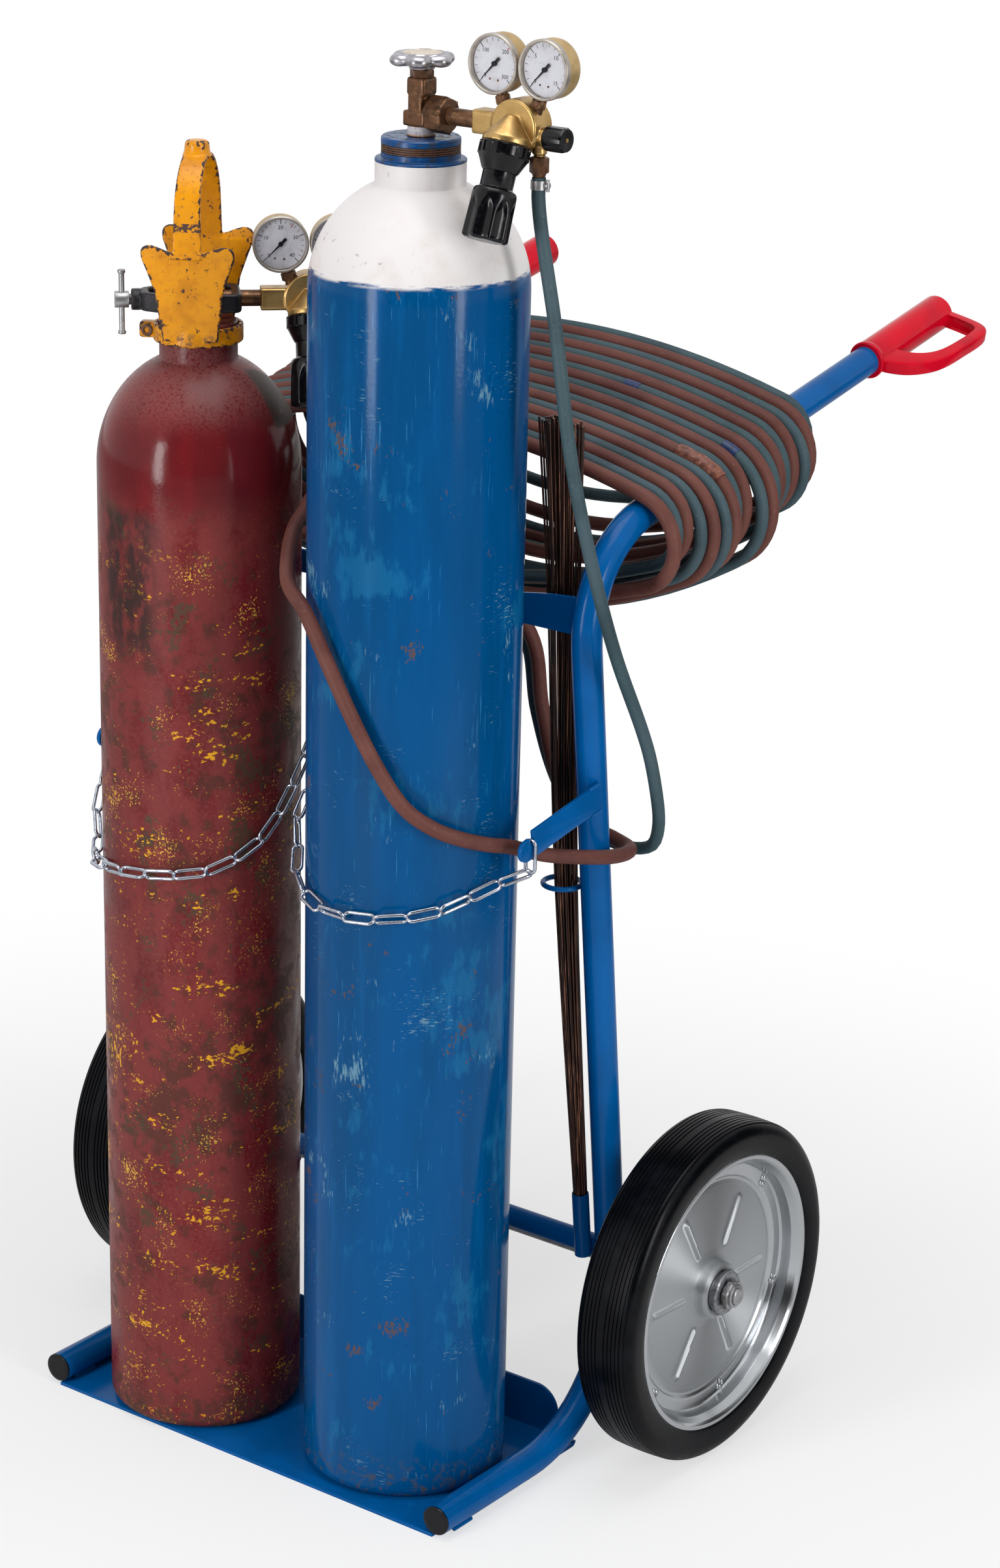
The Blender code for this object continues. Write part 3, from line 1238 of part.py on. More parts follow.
def gauge_centre(side: int) -> Vector:
    """Return the middle of a gauge in its regulator's frame."""
    x = GAUGE_RADIUS + GAUGE_APART / 2
    reach = GAUGE_RADIUS + GAUGE_STEM
    return Vector((side * x, 0, SOCKET_Z + math.sqrt(reach ** 2 - (x - SOCKET_X) ** 2)))


def gauge_frame(gas: str, side: int) -> Matrix:
    """Return a gauge's frame: x to the right of its dial, y up it and z out towards the reader."""
    return regulator_frame(gas) @ axes(gauge_centre(side), Vector((1, 0, 0)), Vector((0, 0, 1)))


def regulator_body(gas: str) -> None:
    """Add a regulator's brass body with its inlet, outlet and gauge sockets."""
    frame = regulator_frame(gas)
    spring = spring_frame(gas)

    def there(x, y, z):
        return frame @ Vector((x, y, z))

    valve_face = ACETYLENE_VALVE_RADIUS if gas == "acetylene" else PORT_REACH
    inlet_end = -(REGULATOR_REACH[gas] - valve_face - 2 * GAP)
    body = bar(f"{gas}_regulator_body", there(0, -DRUM_FRONT, 0), there(0, DRUM_BACK, 0),
               DRUM_RADIUS, 18, BRASS)
    cone_start = spring @ Vector((0, 0, SPRING_CONE_START))
    cone_end = spring @ Vector((0, 0, SPRING_CONE_END))
    pieces = [
        bar("cone", cone_start, cone_end, SPRING_CONE_RADII[0], 16, end_radius=SPRING_CONE_RADII[1]),
        bar("boss", there(-INLET_BOSS_START, 0, 0), there(0, 0, 0), hexagon(INLET_BOSS_WIDTH), 6),
        bar("inlet", there(inlet_end, 0, 0), there(-INLET_BOSS_START / 2, 0, 0), INLET_TUBE_RADIUS, 12),
        bar("outlet", there(0, 0, -OUTLET_DROP), there(OUTLET_BOSS_END, 0, -OUTLET_DROP),
            OUTLET_BOSS_RADIUS, 12),
        bar("stem", there(OUTLET_STEM_X, 0, -OUTLET_DROP), there(OUTLET_STEM_X, 0, -OUTLET_STEM_END),
            OUTLET_STEM_RADIUS, 10),
    ]
    for side in SIDES.values():
        mouth = Vector((side * SOCKET_X, 0, SOCKET_Z))
        inward = (mouth - gauge_centre(side)).normalized()
        inner = mouth + inward * SOCKET_LENGTH
        pieces.append(bar("socket", frame @ inner, frame @ mouth, SOCKET_RADIUS, 6))
    body = fuse(body, *pieces)
    seat_end = spring @ Vector((0, 0, SPRING_CONE_END + BONNET_LENGTH))
    cut(body, bar("bonnet_seat", cone_end, seat_end, around(BONNET_RADIUS + GAP, 18), 18))


def bonnet(gas: str) -> None:
    """Add the black bonnet over a regulator's spring."""
    start = SPRING_CONE_END + GAP
    end = start + BONNET_LENGTH
    profile = [(0, end), (BONNET_TIP_RADIUS, end), (BONNET_RADIUS, start + BONNET_RIM),
               (BONNET_RADIUS, start), (0, start)]
    turned(f"{gas}_bonnet", profile, spring_frame(gas), 16, BLACK_PLASTIC)


def adjusting_knob(gas: str) -> None:
    """Add the knob that sets a regulator's outlet pressure."""
    start = SPRING_CONE_END + 2 * GAP + BONNET_LENGTH
    end = start + KNOB_LENGTH
    neck = start + KNOB_NECK_LENGTH
    profile = [(0, end), (KNOB_RADIUS - KNOB_EDGE, end), (KNOB_RADIUS, end - KNOB_EDGE),
               (KNOB_RADIUS, neck + KNOB_FLARE), (KNOB_NECK_RADIUS, neck),
               (KNOB_NECK_RADIUS, start), (0, start)]
    turned(f"{gas}_adjusting_knob", profile, spring_frame(gas), 16, BLACK_PLASTIC)


def gauge(gas: str, kind: str, side: int) -> None:
    """Add a gauge: a case with an open dial pocket, on a stem that meets the regulator's socket."""
    front = GAUGE_FRONT
    back = front - GAUGE_DEPTH
    inner = GAUGE_RADIUS - GAUGE_BEZEL
    floor = front - GAUGE_POCKET
    profile = [(0, floor), (inner, floor), (inner, front), (GAUGE_RADIUS, front),
               (GAUGE_RADIUS, back + GAUGE_CHAMFER), (GAUGE_RADIUS - GAUGE_CHAMFER, back), (0, back)]
    case = turned(f"{gas}_{kind}_gauge", profile, gauge_frame(gas, side), 16, BRASS)
    frame = regulator_frame(gas)
    mouth = Vector((side * SOCKET_X, 0, SOCKET_Z))
    outward = (gauge_centre(side) - mouth).normalized()
    stem_end = mouth + outward * (GAUGE_STEM + GAUGE_BEZEL)
    fuse(case, bar("stem", frame @ (mouth + outward * GAP), frame @ stem_end, GAUGE_STEM_RADIUS, 6))


def needle(gas: str, kind: str, side: int) -> None:
    """Add a gauge's needle, with its hub on the dial and its tip at zero."""
    frame = gauge_frame(gas, side)
    floor = GAUGE_FRONT - GAUGE_POCKET + GAP
    top = floor + NEEDLE_HUB_HEIGHT
    turn = Matrix.Rotation(NEEDLE_REST, 4, "Z")
    middle = Vector(((NEEDLE_REACH - NEEDLE_TAIL) / 2, 0, (floor + top) / 2))
    size = (NEEDLE_REACH + NEEDLE_TAIL, NEEDLE_WIDTH, NEEDLE_THICKNESS)
    blade = box(f"{gas}_{kind}_needle", size, middle, BLACK_PLASTIC, frame @ turn)
    low = frame @ Vector((0, 0, floor))
    high = frame @ Vector((0, 0, top))
    fuse(blade, bar("hub", low, high, NEEDLE_HUB_RADIUS, 6))


def hose_nut(gas: str) -> None:
    """Add the nut that holds a hose on a regulator's outlet stem."""
    frame = regulator_frame(gas)
    start = frame @ Vector((OUTLET_STEM_X, 0, -OUTLET_STEM_END - GAP))
    end = frame @ Vector((OUTLET_STEM_X, 0, -hose_nut_end()))
    bar(f"{gas}_hose_nut", start, end, hexagon(HOSE_NUT_WIDTH), 6, BROWN_BRASS)


def oxygen_outlet_knob() -> None:
    """Add the shut-off knob on the end of the oxygen regulator's outlet."""
    frame = regulator_frame("oxygen")
    start = frame @ Vector((OUTLET_BOSS_END + GAP, 0, -OUTLET_DROP))
    end = start + Vector((OUTLET_KNOB_LENGTH, 0, 0))
    bar("oxygen_outlet_knob", start, end, OUTLET_KNOB_RADIUS, 14, BLACK_PLASTIC)


def regulator(gas: str) -> None:
    """Add one regulator with all its pieces."""
    regulator_body(gas)
    bonnet(gas)
    adjusting_knob(gas)
    for kind, side in (("cylinder", -1), ("working", 1)):
        gauge(gas, kind, side)
        needle(gas, kind, side)
    hose_nut(gas)


# Chains

def round_cylinder(x, depth, radius, angle, height):
    """Return a point of a chain that lies against a cylinder."""
    reach = radius + CHAIN_STANDOFF
    turn = math.radians(angle)
    return at(x + reach * math.cos(turn), depth + reach * math.sin(turn), height)


def chord_points(curve: list, count: int) -> list:
    """Return points that step along a dense curve in a count of equal straight chords."""
    low, high = 0.0, sum((b - a).length for a, b in zip(curve, curve[1:])) / count * 1.2
    for _ in range(40):
        chord = (low + high) / 2
        points = [curve[0]]
        for place in curve:
            if (place - points[-1]).length >= chord and len(points) <= count:
                points.append(place)
        if len(points) > count:
            low = chord
        else:
            high = chord
    points = [curve[0]]
    for place in curve:
        if (place - points[-1]).length >= low and len(points) < count:
            points.append(place)
    return points + [curve[-1]]


def link_points(start, end, across) -> list:
    """Return the corners of a link that reaches a little past both of its joints."""
    middle = (start + end) / 2
    along = (end - start).normalized()
    across = (across - along * across.dot(along)).normalized()
    half_width = LINK_WIDTH / 2 - WIRE_RADIUS
    half_length = (end - start).length / 2 + LINK_BITE
    corners = [(1, 1), (-1, 1), (-1, -1), (1, -1)]
    return [middle + along * half_length * x + across * half_width * y for x, y in corners]


def chain(side_name: str, route: list) -> None:
    """Add a chain of fused links from its hole in the cross plate to its arm's notch."""
    side = SIDES[side_name]
    pitch = LINK_LENGTH - 2 * WIRE_RADIUS - 2 * LINK_BITE
    seat = WIRE_RADIUS + LINK_SEAT - LINK_BITE
    rest = CHAIN_HOLE_RISE - CHAIN_HOLE_RADIUS + seat
    hole = cross_plate_frame() @ Vector((CHAIN_HOLE_X[side_name], rest, 0))
    hook = notch_point(side) + Vector((0, 0, seat))
    down = Vector((0, 0, -pitch))
    curve = smooth_curve([hole + down, *route, hook + down], 60)
    length = sum((b - a).length for a, b in zip(curve, curve[1:]))
    joints = [hole, *chord_points(curve, int(length / pitch)), hook]
    across = Vector((0, 1, 0))
    directions = []
    for start, end in zip(joints, joints[1:]):
        along = (end - start).normalized()
        across = (across - along * across.dot(along)).normalized()
        directions.append((along, across))
    last_along, last_across = directions[-1]
    quarter_turns = len(directions) - 1
    wanted = Vector((1, 0, 0))
    reached = Matrix.Rotation(math.pi / 2 * quarter_turns, 3, last_along) @ last_across
    twist = math.atan2(reached.cross(wanted).dot(last_along), reached.dot(wanted))
    twist = math.remainder(twist, math.pi)
    links = []
    for index, (along, across) in enumerate(directions):
        roll = math.pi / 2 * index + twist * index / quarter_turns
        turned_across = Matrix.Rotation(roll, 3, along) @ across
        links.append(link_points(joints[index], joints[index + 1], turned_across))
    even = tube(f"{side_name}_chain", links[::2], WIRE_RADIUS, 4, ZINC, cyclic=True)
    odd = tube("odd_links", links[1::2], WIRE_RADIUS, 4, cyclic=True)
    fuse(even, odd)


def chains() -> None:
    """Add the chain round each cylinder."""
    right = [at(*point) for point in RIGHT_CHAIN_GAP]
    right += [round_cylinder(OXYGEN_X, OXYGEN_DEPTH, OXYGEN_RADIUS, *place) for place in RIGHT_CHAIN_ROUND]
    chain("right", right)
    left = [at(*point) for point in LEFT_CHAIN_GAP]
    left += [round_cylinder(ACETYLENE_X, ACETYLENE_DEPTH, ACETYLENE_RADIUS, *place)
             for place in LEFT_CHAIN_ROUND]
    left += [at(*point) for point in LEFT_CHAIN_END]
    chain("left", left)


# Hoses

def winding_point(hose: Hose, turn: float) -> Vector:
    """Return the point of a hose's winding after a number of turns.

    A turn starts under the handles in the middle, rounds the left handle, runs right in an
    arch over the top, rounds the right handle and comes back along the hanging lower run.
    """
    depth = hose.winding_start + turn * WINDING_PITCH
    sway = WINDING_SWAY * math.sin(SWAY_PER_TURN * turn + hose.sway_start)
    bend = between(WINDING_BENDS, depth) + sway
    droop = math.radians(between(WINDING_DROOPS, depth))
    clear = (TUBE_RADIUS + hose.radius + GAP) / math.cos(HANDLE_RISE)
    facet = math.cos(math.pi / (2 * WINDING_POINTS * BEND_SHARE))
    above = bend - math.sqrt((bend * facet - clear) ** 2 - WINDING_INSET ** 2)
    top = handle_height(depth) + above
    centre_x = FRAME_HALF_WIDTH - WINDING_INSET
    centre_z = top - bend
    hang_x = centre_x + bend * math.sin(droop)
    hang_z = centre_z - bend * math.cos(droop)
    arch_x = centre_x + bend * math.sin(WINDING_RISE)
    arch_z = centre_z + bend * math.cos(WINDING_RISE)

    def hanging(part):
        sag = math.tan(droop) * hang_x / 2
        return part * hang_x, hang_z - sag * (1 - part * part)

    def arching(part):
        crown = math.tan(WINDING_RISE) * arch_x / 2
        return part * arch_x, arch_z + crown * (1 - part * part)

    def rounding(side, part):
        angle = droop - math.pi / 2 + part * (math.pi - droop - WINDING_RISE)
        return side * (centre_x + bend * math.cos(angle)), centre_z + bend * math.sin(angle)

    share = turn % 1
    if share < LOWER_SHARE:
        x, z = hanging(-share / LOWER_SHARE)
    elif share < LOWER_SHARE + BEND_SHARE:
        x, z = rounding(-1, (share - LOWER_SHARE) / BEND_SHARE)
    elif share < LOWER_SHARE + BEND_SHARE + TOP_SHARE:
        x, z = arching(2 * (share - LOWER_SHARE - BEND_SHARE) / TOP_SHARE - 1)
    elif share < 1 - LOWER_SHARE:
        x, z = rounding(1, (1 - LOWER_SHARE - share) / BEND_SHARE)
    else:
        x, z = hanging((1 - share) / LOWER_SHARE)
    return at(x, depth, z)


def least_gap(hose: Hose) -> float:
    """Return the least gap between a winding's turns, measured on points along it."""
    per_turn = 4 * WINDING_POINTS
    points = [winding_point(hose, index / per_turn) for index in range(per_turn * WINDING_TURNS + 1)]
    least = min(
        (point - other).length
        for index, point in enumerate(points)
        for other in points[index + per_turn // 2:index + 2 * per_turn]
    )
    return least - 2 * hose.radius


def hose_pieces(hose: Hose, finish: Finish) -> None:
    """Add a hose: the stretch that hangs from its regulator, its winding and its end fitting."""
    turns = WINDING_TURNS + WINDING_TAIL
    steps = round(turns * WINDING_POINTS)
    winding = [winding_point(hose, index / WINDING_POINTS) for index in range(steps + 1)]
    tube(f"{hose.name}_coil", [winding], hose.radius, 6, finish)
    print(f"{hose.name}_coil: least gap to itself {least_gap(hose) * 1000:.2f} mm")
    frame = regulator_frame(hose.gas)
    nut = frame @ Vector((OUTLET_STEM_X, 0, -hose_nut_end() - GAP))
    lead = winding_point(hose, -WINDING_LEAD)
    heading = (winding[0] - winding[1]).normalized()
    meet = winding[0] + heading * GAP
    down = Vector((0, 0, -1))
    route = [nut, nut + down * HOSE_LEAD, *[at(*point) for point in hose.route], lead, meet]
    inner = spaced(smooth_curve(route, 12), HOSE_STEP)[1:-1]
    points = [nut, nut + down * hose.radius, *inner, meet + heading * hose.radius, meet]
    tube(f"{hose.name}_free", [points], hose.radius, 8, finish)
    onward = (winding[-1] - winding[-2]).normalized()
    start = winding[-1] + onward * GAP
    bar(f"{hose.name}_fitting", start, start + onward * FITTING_LENGTH, FITTING_RADIUS, 10, BRASS)


def shade_smooth() -> None:
    """Shade the mesh parts smooth, with sharp edges kept."""
    for obj in bpy.data.collections[OBJECT_NAME].objects:
        if obj.type == "MESH":
            obj.data.shade_smooth()
            obj.data.set_sharp_from_angle(angle=SMOOTH_ANGLE)


def main() -> None:
    """Build the cart."""
    for obj in list(bpy.data.objects):
        bpy.data.objects.remove(obj)
    new_collection(OBJECT_NAME)
    new_collection("tools")
    base_plate()
    for side_name in SIDES:
        frame_tube(side_name)
        foot_cap(side_name)
        chain_arm(side_name)
        axle_bracket(side_name)
        tyre(side_name)
        rim(side_name)
        wheel_hub(side_name)
        axle_nut(side_name)
        grip(side_name)
    axle()
    lower_crossbar()
    upper_cross_plate()
    rod_ring()
    rod_quiver()
    welding_rods()
    oxygen_cylinder()
    oxygen_valve_body()
    oxygen_handwheel()
    oxygen_union_nut()
    acetylene_cylinder()
    acetylene_valve_body()
    acetylene_yoke()
    yoke_screw()
    yoke_t_bar()
    acetylene_guard()
    regulator("oxygen")
    oxygen_outlet_knob()
    regulator("acetylene")
    chains()
    hose_pieces(RED_HOSE, RED_RUBBER)
    hose_pieces(GREEN_HOSE, GREEN_RUBBER)
    shade_smooth()


main()
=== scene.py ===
"""Looks of a two-wheeled cart that carries an oxygen and an acetylene cylinder.

Metres, +Z up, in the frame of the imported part. +X is on the right of someone who faces the
cylinders, and depths run back from the front edge of the base plate.
"""
import json
import logging
import random
from dataclasses import dataclass, replace
from enum import Enum
from math import acos, atan2, cos, degrees, hypot, pi, radians, remainder, sin, sqrt, tan
from typing import Callable, Sequence

import bmesh
import bpy
from bpy.types import ID, Material, Mesh, Node, NodeSocket, NodeTree, Object
from mathutils import Matrix, Vector

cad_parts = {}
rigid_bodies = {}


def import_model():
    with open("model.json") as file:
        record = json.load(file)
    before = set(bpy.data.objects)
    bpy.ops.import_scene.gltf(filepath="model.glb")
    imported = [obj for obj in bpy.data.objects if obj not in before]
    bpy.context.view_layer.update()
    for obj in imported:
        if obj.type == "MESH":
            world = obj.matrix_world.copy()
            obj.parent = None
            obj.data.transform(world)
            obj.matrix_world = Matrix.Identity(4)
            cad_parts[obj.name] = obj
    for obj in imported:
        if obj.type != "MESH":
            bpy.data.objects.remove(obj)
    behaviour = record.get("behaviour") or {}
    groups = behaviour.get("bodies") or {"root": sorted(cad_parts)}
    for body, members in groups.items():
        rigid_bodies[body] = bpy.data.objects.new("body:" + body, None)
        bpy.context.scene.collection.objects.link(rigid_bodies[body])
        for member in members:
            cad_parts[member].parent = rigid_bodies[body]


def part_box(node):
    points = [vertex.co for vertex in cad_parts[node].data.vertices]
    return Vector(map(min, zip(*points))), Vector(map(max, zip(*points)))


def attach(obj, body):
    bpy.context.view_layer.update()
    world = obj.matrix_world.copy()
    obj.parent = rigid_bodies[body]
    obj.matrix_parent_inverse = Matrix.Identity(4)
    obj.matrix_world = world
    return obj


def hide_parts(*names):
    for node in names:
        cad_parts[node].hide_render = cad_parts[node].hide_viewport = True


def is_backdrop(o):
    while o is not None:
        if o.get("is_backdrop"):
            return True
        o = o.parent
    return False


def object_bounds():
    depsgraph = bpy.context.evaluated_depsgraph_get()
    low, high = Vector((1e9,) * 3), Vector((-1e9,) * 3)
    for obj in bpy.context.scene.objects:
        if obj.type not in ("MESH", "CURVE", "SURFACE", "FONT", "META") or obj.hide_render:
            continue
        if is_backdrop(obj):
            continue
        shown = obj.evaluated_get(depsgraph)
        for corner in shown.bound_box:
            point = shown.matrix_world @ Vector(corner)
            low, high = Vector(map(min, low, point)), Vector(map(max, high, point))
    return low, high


LOG = logging.getLogger("gas_cylinder_cart")
IMAGE_HEIGHT = 2408
PLATE_DEPTH = 0.27
MILLIMETRE = 0.001
MERGE = 0.00001
GAP = 0.0003
SHARP = 35
STRAIGHT = radians(88)
X_AXIS = Vector((1, 0, 0))
Y_AXIS = Vector((0, 1, 0))
UP = Vector((0, 0, 1))
SQUARE = ((-1, -1), (1, -1), (1, 1), (-1, 1))
Pair = tuple[float, float]
Triple = tuple[float, float, float]
Outline = list[Pair]
Shaper = Callable[[float, float, float], Pair]


class Side(Enum):
    """The two sides of the cart, each with the sign of its x."""

    LEFT = -1
    RIGHT = 1

    @property
    def label(self) -> str:
        """Return the side's name as it starts the names of pieces."""
        return self.name.lower()


class Gas(Enum):
    """The two gases that the cart carries."""

    OXYGEN = "oxygen"
    ACETYLENE = "acetylene"

    @property
    def label(self) -> str:
        """Return the gas's name as it starts the names of pieces."""
        return self.value


# Points and outlines

def linear(colour: str) -> tuple[float, float, float, float]:
    """Turn an sRGB hex colour into linear values.

    Args:
        colour: the colour as "#RRGGBB".

    Returns:
        Linear red, green and blue, and an alpha of 1.
    """
    parts = [int(colour[start:start + 2], 16) / 255 for start in (1, 3, 5)]
    values = [part / 12.92 if part <= 0.04045 else ((part + 0.055) / 1.055) ** 2.4 for part in parts]
    return (*values, 1.0)


def at(x: float, depth: float, height: float) -> Vector:
    """Return a point whose depth is measured back from the front edge of the base plate."""
    return Vector((x, depth - PLATE_DEPTH / 2, height))


def axes(origin: Vector, first: Vector, second: Vector) -> Matrix:
    """Return the frame at origin whose x and y axes are two square unit vectors."""
    turn = Matrix((first, second, first.cross(second))).transposed()
    return Matrix.Translation(origin) @ turn.to_4x4()


def along_axis(origin: Vector, direction: Vector) -> Matrix:
    """Return a frame at origin whose z axis is the direction."""
    return Matrix.Translation(origin) @ direction.to_track_quat("Z", "Y").to_matrix().to_4x4()


def arc(centre: Pair, radius: float, start: float, end: float, steps: int) -> Outline:
    """Find points on a flat arc.

    Args:
        centre: the arc's middle.
        radius: its radius.
        start: its first angle in degrees.
        end: its last angle in degrees.
        steps: the number of stretches between points.

    Returns:
        The points in order.
    """
    angles = [radians(start + (end - start) * step / steps) for step in range(steps + 1)]
    return [(centre[0] + radius * cos(a), centre[1] + radius * sin(a)) for a in angles]


def rounded(points: Outline, radius: float, closed: bool = False, steps: int = 4) -> Outline:
    """Round the corners of an outline, by less where a side is too short for the radius.

    Args:
        points: the outline's corners.
        radius: the wanted radius of the corners.
        closed: whether the outline's ends meet.
        steps: the number of stretches in each rounded corner.

    Returns:
        The rounded outline.
    """
    count = len(points)
    result = [] if closed else [points[0]]
    for index in range(count) if closed else range(1, count - 1):
        before, corner, after = (Vector(points[(index + step) % count]) for step in (-1, 0, 1))
        back, ahead = before - corner, after - corner
        half = back.angle(ahead) / 2
        if half > STRAIGHT:
            result.append(tuple(corner))
            continue
        reach = min(radius / tan(half), 0.45 * min(back.length, ahead.length))
        first = corner + back.normalized() * reach
        last = corner + ahead.normalized() * reach
        for step in range(steps + 1):
            t = step / steps
            result.append(tuple(first * (1 - t) ** 2 + corner * 2 * t * (1 - t) + last * t * t))
    return result if closed else result + [points[-1]]


def filleted(points: list[Vector], radii: Sequence[float], steps: int) -> list[Vector]:
    """Round the inner corners of a route.

    Args:
        points: the route's corners.
        radii: a radius for each inner corner.
        steps: the number of stretches in each corner.

    Returns:
        The route with arcs in its corners.
    """
    route = [points[0]]
    for before, corner, after, radius in zip(points, points[1:], points[2:], radii):
        back = (before - corner).normalized()
        ahead = (after - corner).normalized()
        half = back.angle(ahead) / 2
        centre = corner + (back + ahead).normalized() * radius / sin(half)
        first = (corner + back * radius / tan(half) - centre).normalized()
        last = (corner + ahead * radius / tan(half) - centre).normalized()
        route += [centre + first.slerp(last, step / steps) * radius for step in range(steps + 1)]
    return route + [points[-1]]


def between(table: Sequence[Pair], place: float) -> float:
    """Read a table along straight lines.

    Args:
        table: pairs of a place and a value.
        place: where to read.

    Returns:
        The value there.
    """
    for (left, low), (right, high) in zip(table, table[1:]):
        if place <= right:
            return low + (high - low) * max(0.0, (place - left) / (right - left))
    return table[-1][1]


def smooth_curve(points: list[Vector], samples: int) -> list[Vector]:
    """Draw a smooth curve through points, with handles a third of each stretch long.

    Args:
        points: the points that the curve passes.
        samples: the number of points on each stretch.

    Returns:
        The curve's points.
    """
    tangents = []
    for index in range(len(points)):
        before = points[max(index - 1, 0)]
        after = points[min(index + 1, len(points) - 1)]
        tangents.append((after - before).normalized())
    curve = [points[0]]
    for first, last, leaving, reaching in zip(points, points[1:], tangents, tangents[1:]):
        handle = (last - first).length / 3
        near = first + leaving * handle
        far = last - reaching * handle
        for sample in range(1, samples + 1):
            t = sample / samples
            s = 1 - t
            curve.append(first * s ** 3 + near * 3 * s * s * t + far * 3 * s * t * t + last * t ** 3)
    return curve


def route_length(points: list[Vector]) -> float:
    """Return the length of a route of points."""
    return sum((last - first).length for first, last in zip(points, points[1:]))


def spaced(curve: list[Vector], step: float) -> list[Vector]:
    """Spread points evenly along a dense curve.

    Args:
        curve: the dense curve.
        step: about how far apart the points are.

    Returns:
        The points, from the curve's first to its last.
    """
    lengths = [0.0]
    for first, last in zip(curve, curve[1:]):
        lengths.append(lengths[-1] + (last - first).length)
    count = max(2, round(lengths[-1] / step))
    points = []
    index = 0
    for number in range(count + 1):
        wanted = lengths[-1] * number / count
        while index < len(curve) - 2 and lengths[index + 1] < wanted:
            index += 1
        share = (wanted - lengths[index]) / (lengths[index + 1] - lengths[index])
        points.append(curve[index].lerp(curve[index + 1], share))
    return points


# Nodes

def set_inputs(tree: NodeTree, node: Node, inputs: dict) -> None:
    """Set or link a node's inputs.

    Args:
        tree: the shader or geometry tree.
        node: the node.
        inputs: values, sockets, or nodes whose first output is meant, by socket name or number.
    """
    for key, value in inputs.items():
        if isinstance(value, Node):
            value = value.outputs[0]
        if isinstance(value, NodeSocket):
            tree.links.new(value, node.inputs[key])
        else:
            node.inputs[key].default_value = value


def add_node(tree: NodeTree, kind: str, inputs: dict | None = None, **settings) -> Node:
    """Add a node to a tree.

    Args:
        tree: the shader or geometry tree.
        kind: the node's type.
        inputs: what set_inputs gives it.
        settings: the node's own properties.

    Returns:
        The new node.
    """
    node = tree.nodes.new(kind)
    for name, value in settings.items():
        setattr(node, name, value)
    set_inputs(tree, node, inputs or {})
    return node


class GrowingTree:
    """A geometry tree with named sizes, which ends in Realize Instances and Set Material."""

    def __init__(self, name: str, sizes: Sequence[str]) -> None:
        """Start the tree.

        Args:
            name: the tree's name.
            sizes: the names of its number inputs.
        """
        self.tree = bpy.data.node_groups.new(name, "GeometryNodeTree")
        kinds = {"Base": "Geometry", **dict.fromkeys(sizes, "Float"), "Finish": "Material"}
        for label, kind in kinds.items():
            self.tree.interface.new_socket(label, in_out="INPUT", socket_type=f"NodeSocket{kind}")
        self.tree.interface.new_socket("Piece", in_out="OUTPUT", socket_type="NodeSocketGeometry")
        self.entry = add_node(self.tree, "NodeGroupInput")

    def add(self, kind: str, inputs: dict | None = None, **settings) -> Node:
        """Add a node to the tree, as add_node does."""
        return add_node(self.tree, kind, inputs, **settings)

    def close(self, shape: Node) -> None:
        """End the tree in a realised, smooth and dressed geometry.

        Args:
            shape: the node that gives the finished shape.
        """
        real = self.add("GeometryNodeRealizeInstances", {0: shape})
        smooth = self.add("GeometryNodeSetShadeSmooth", {0: real})
        dressed = self.add("GeometryNodeSetMaterial",
                           {"Geometry": smooth, "Material": self.entry.outputs["Finish"]})
        self.add("NodeGroupOutput", {0: dressed})

    def grow(self, base: Mesh, sizes: dict[str, float], finish: Material) -> Mesh:
        """Make a plain mesh with the tree.

        Args:
            base: the points or edges that the tree starts from.
            sizes: values for the tree's number inputs.
            finish: the material.

        Returns:
            The finished mesh.
        """
        obj = put("growing", base)
        modifier = obj.modifiers.new(self.tree.name, "NODES")
        modifier.node_group = self.tree
        for item in self.tree.interface.items_tree:
            if item.name in sizes:
                modifier[item.identifier] = float(sizes[item.name])
            elif item.name == "Finish":
                modifier[item.identifier] = finish
        return evaluated_mesh(obj)


# Meshes

def put(name: str, data: ID) -> Object:
    """Put data in the scene.

    Args:
        name: the object's name.
        data: a mesh, a curve, a lamp or a camera.

    Returns:
        The data's object.
    """
    obj = bpy.data.objects.new(name, data)
    bpy.context.scene.collection.objects.link(obj)
    return obj


def evaluated_mesh(obj: Object) -> Mesh:
    """Turn an object with its modifiers into a plain mesh, and remove the object.

    Args:
        obj: the object.

    Returns:
        The mesh.
    """
    depsgraph = bpy.context.evaluated_depsgraph_get()
    mesh = bpy.data.meshes.new_from_object(obj.evaluated_get(depsgraph))
    bpy.data.objects.remove(obj)
    return mesh


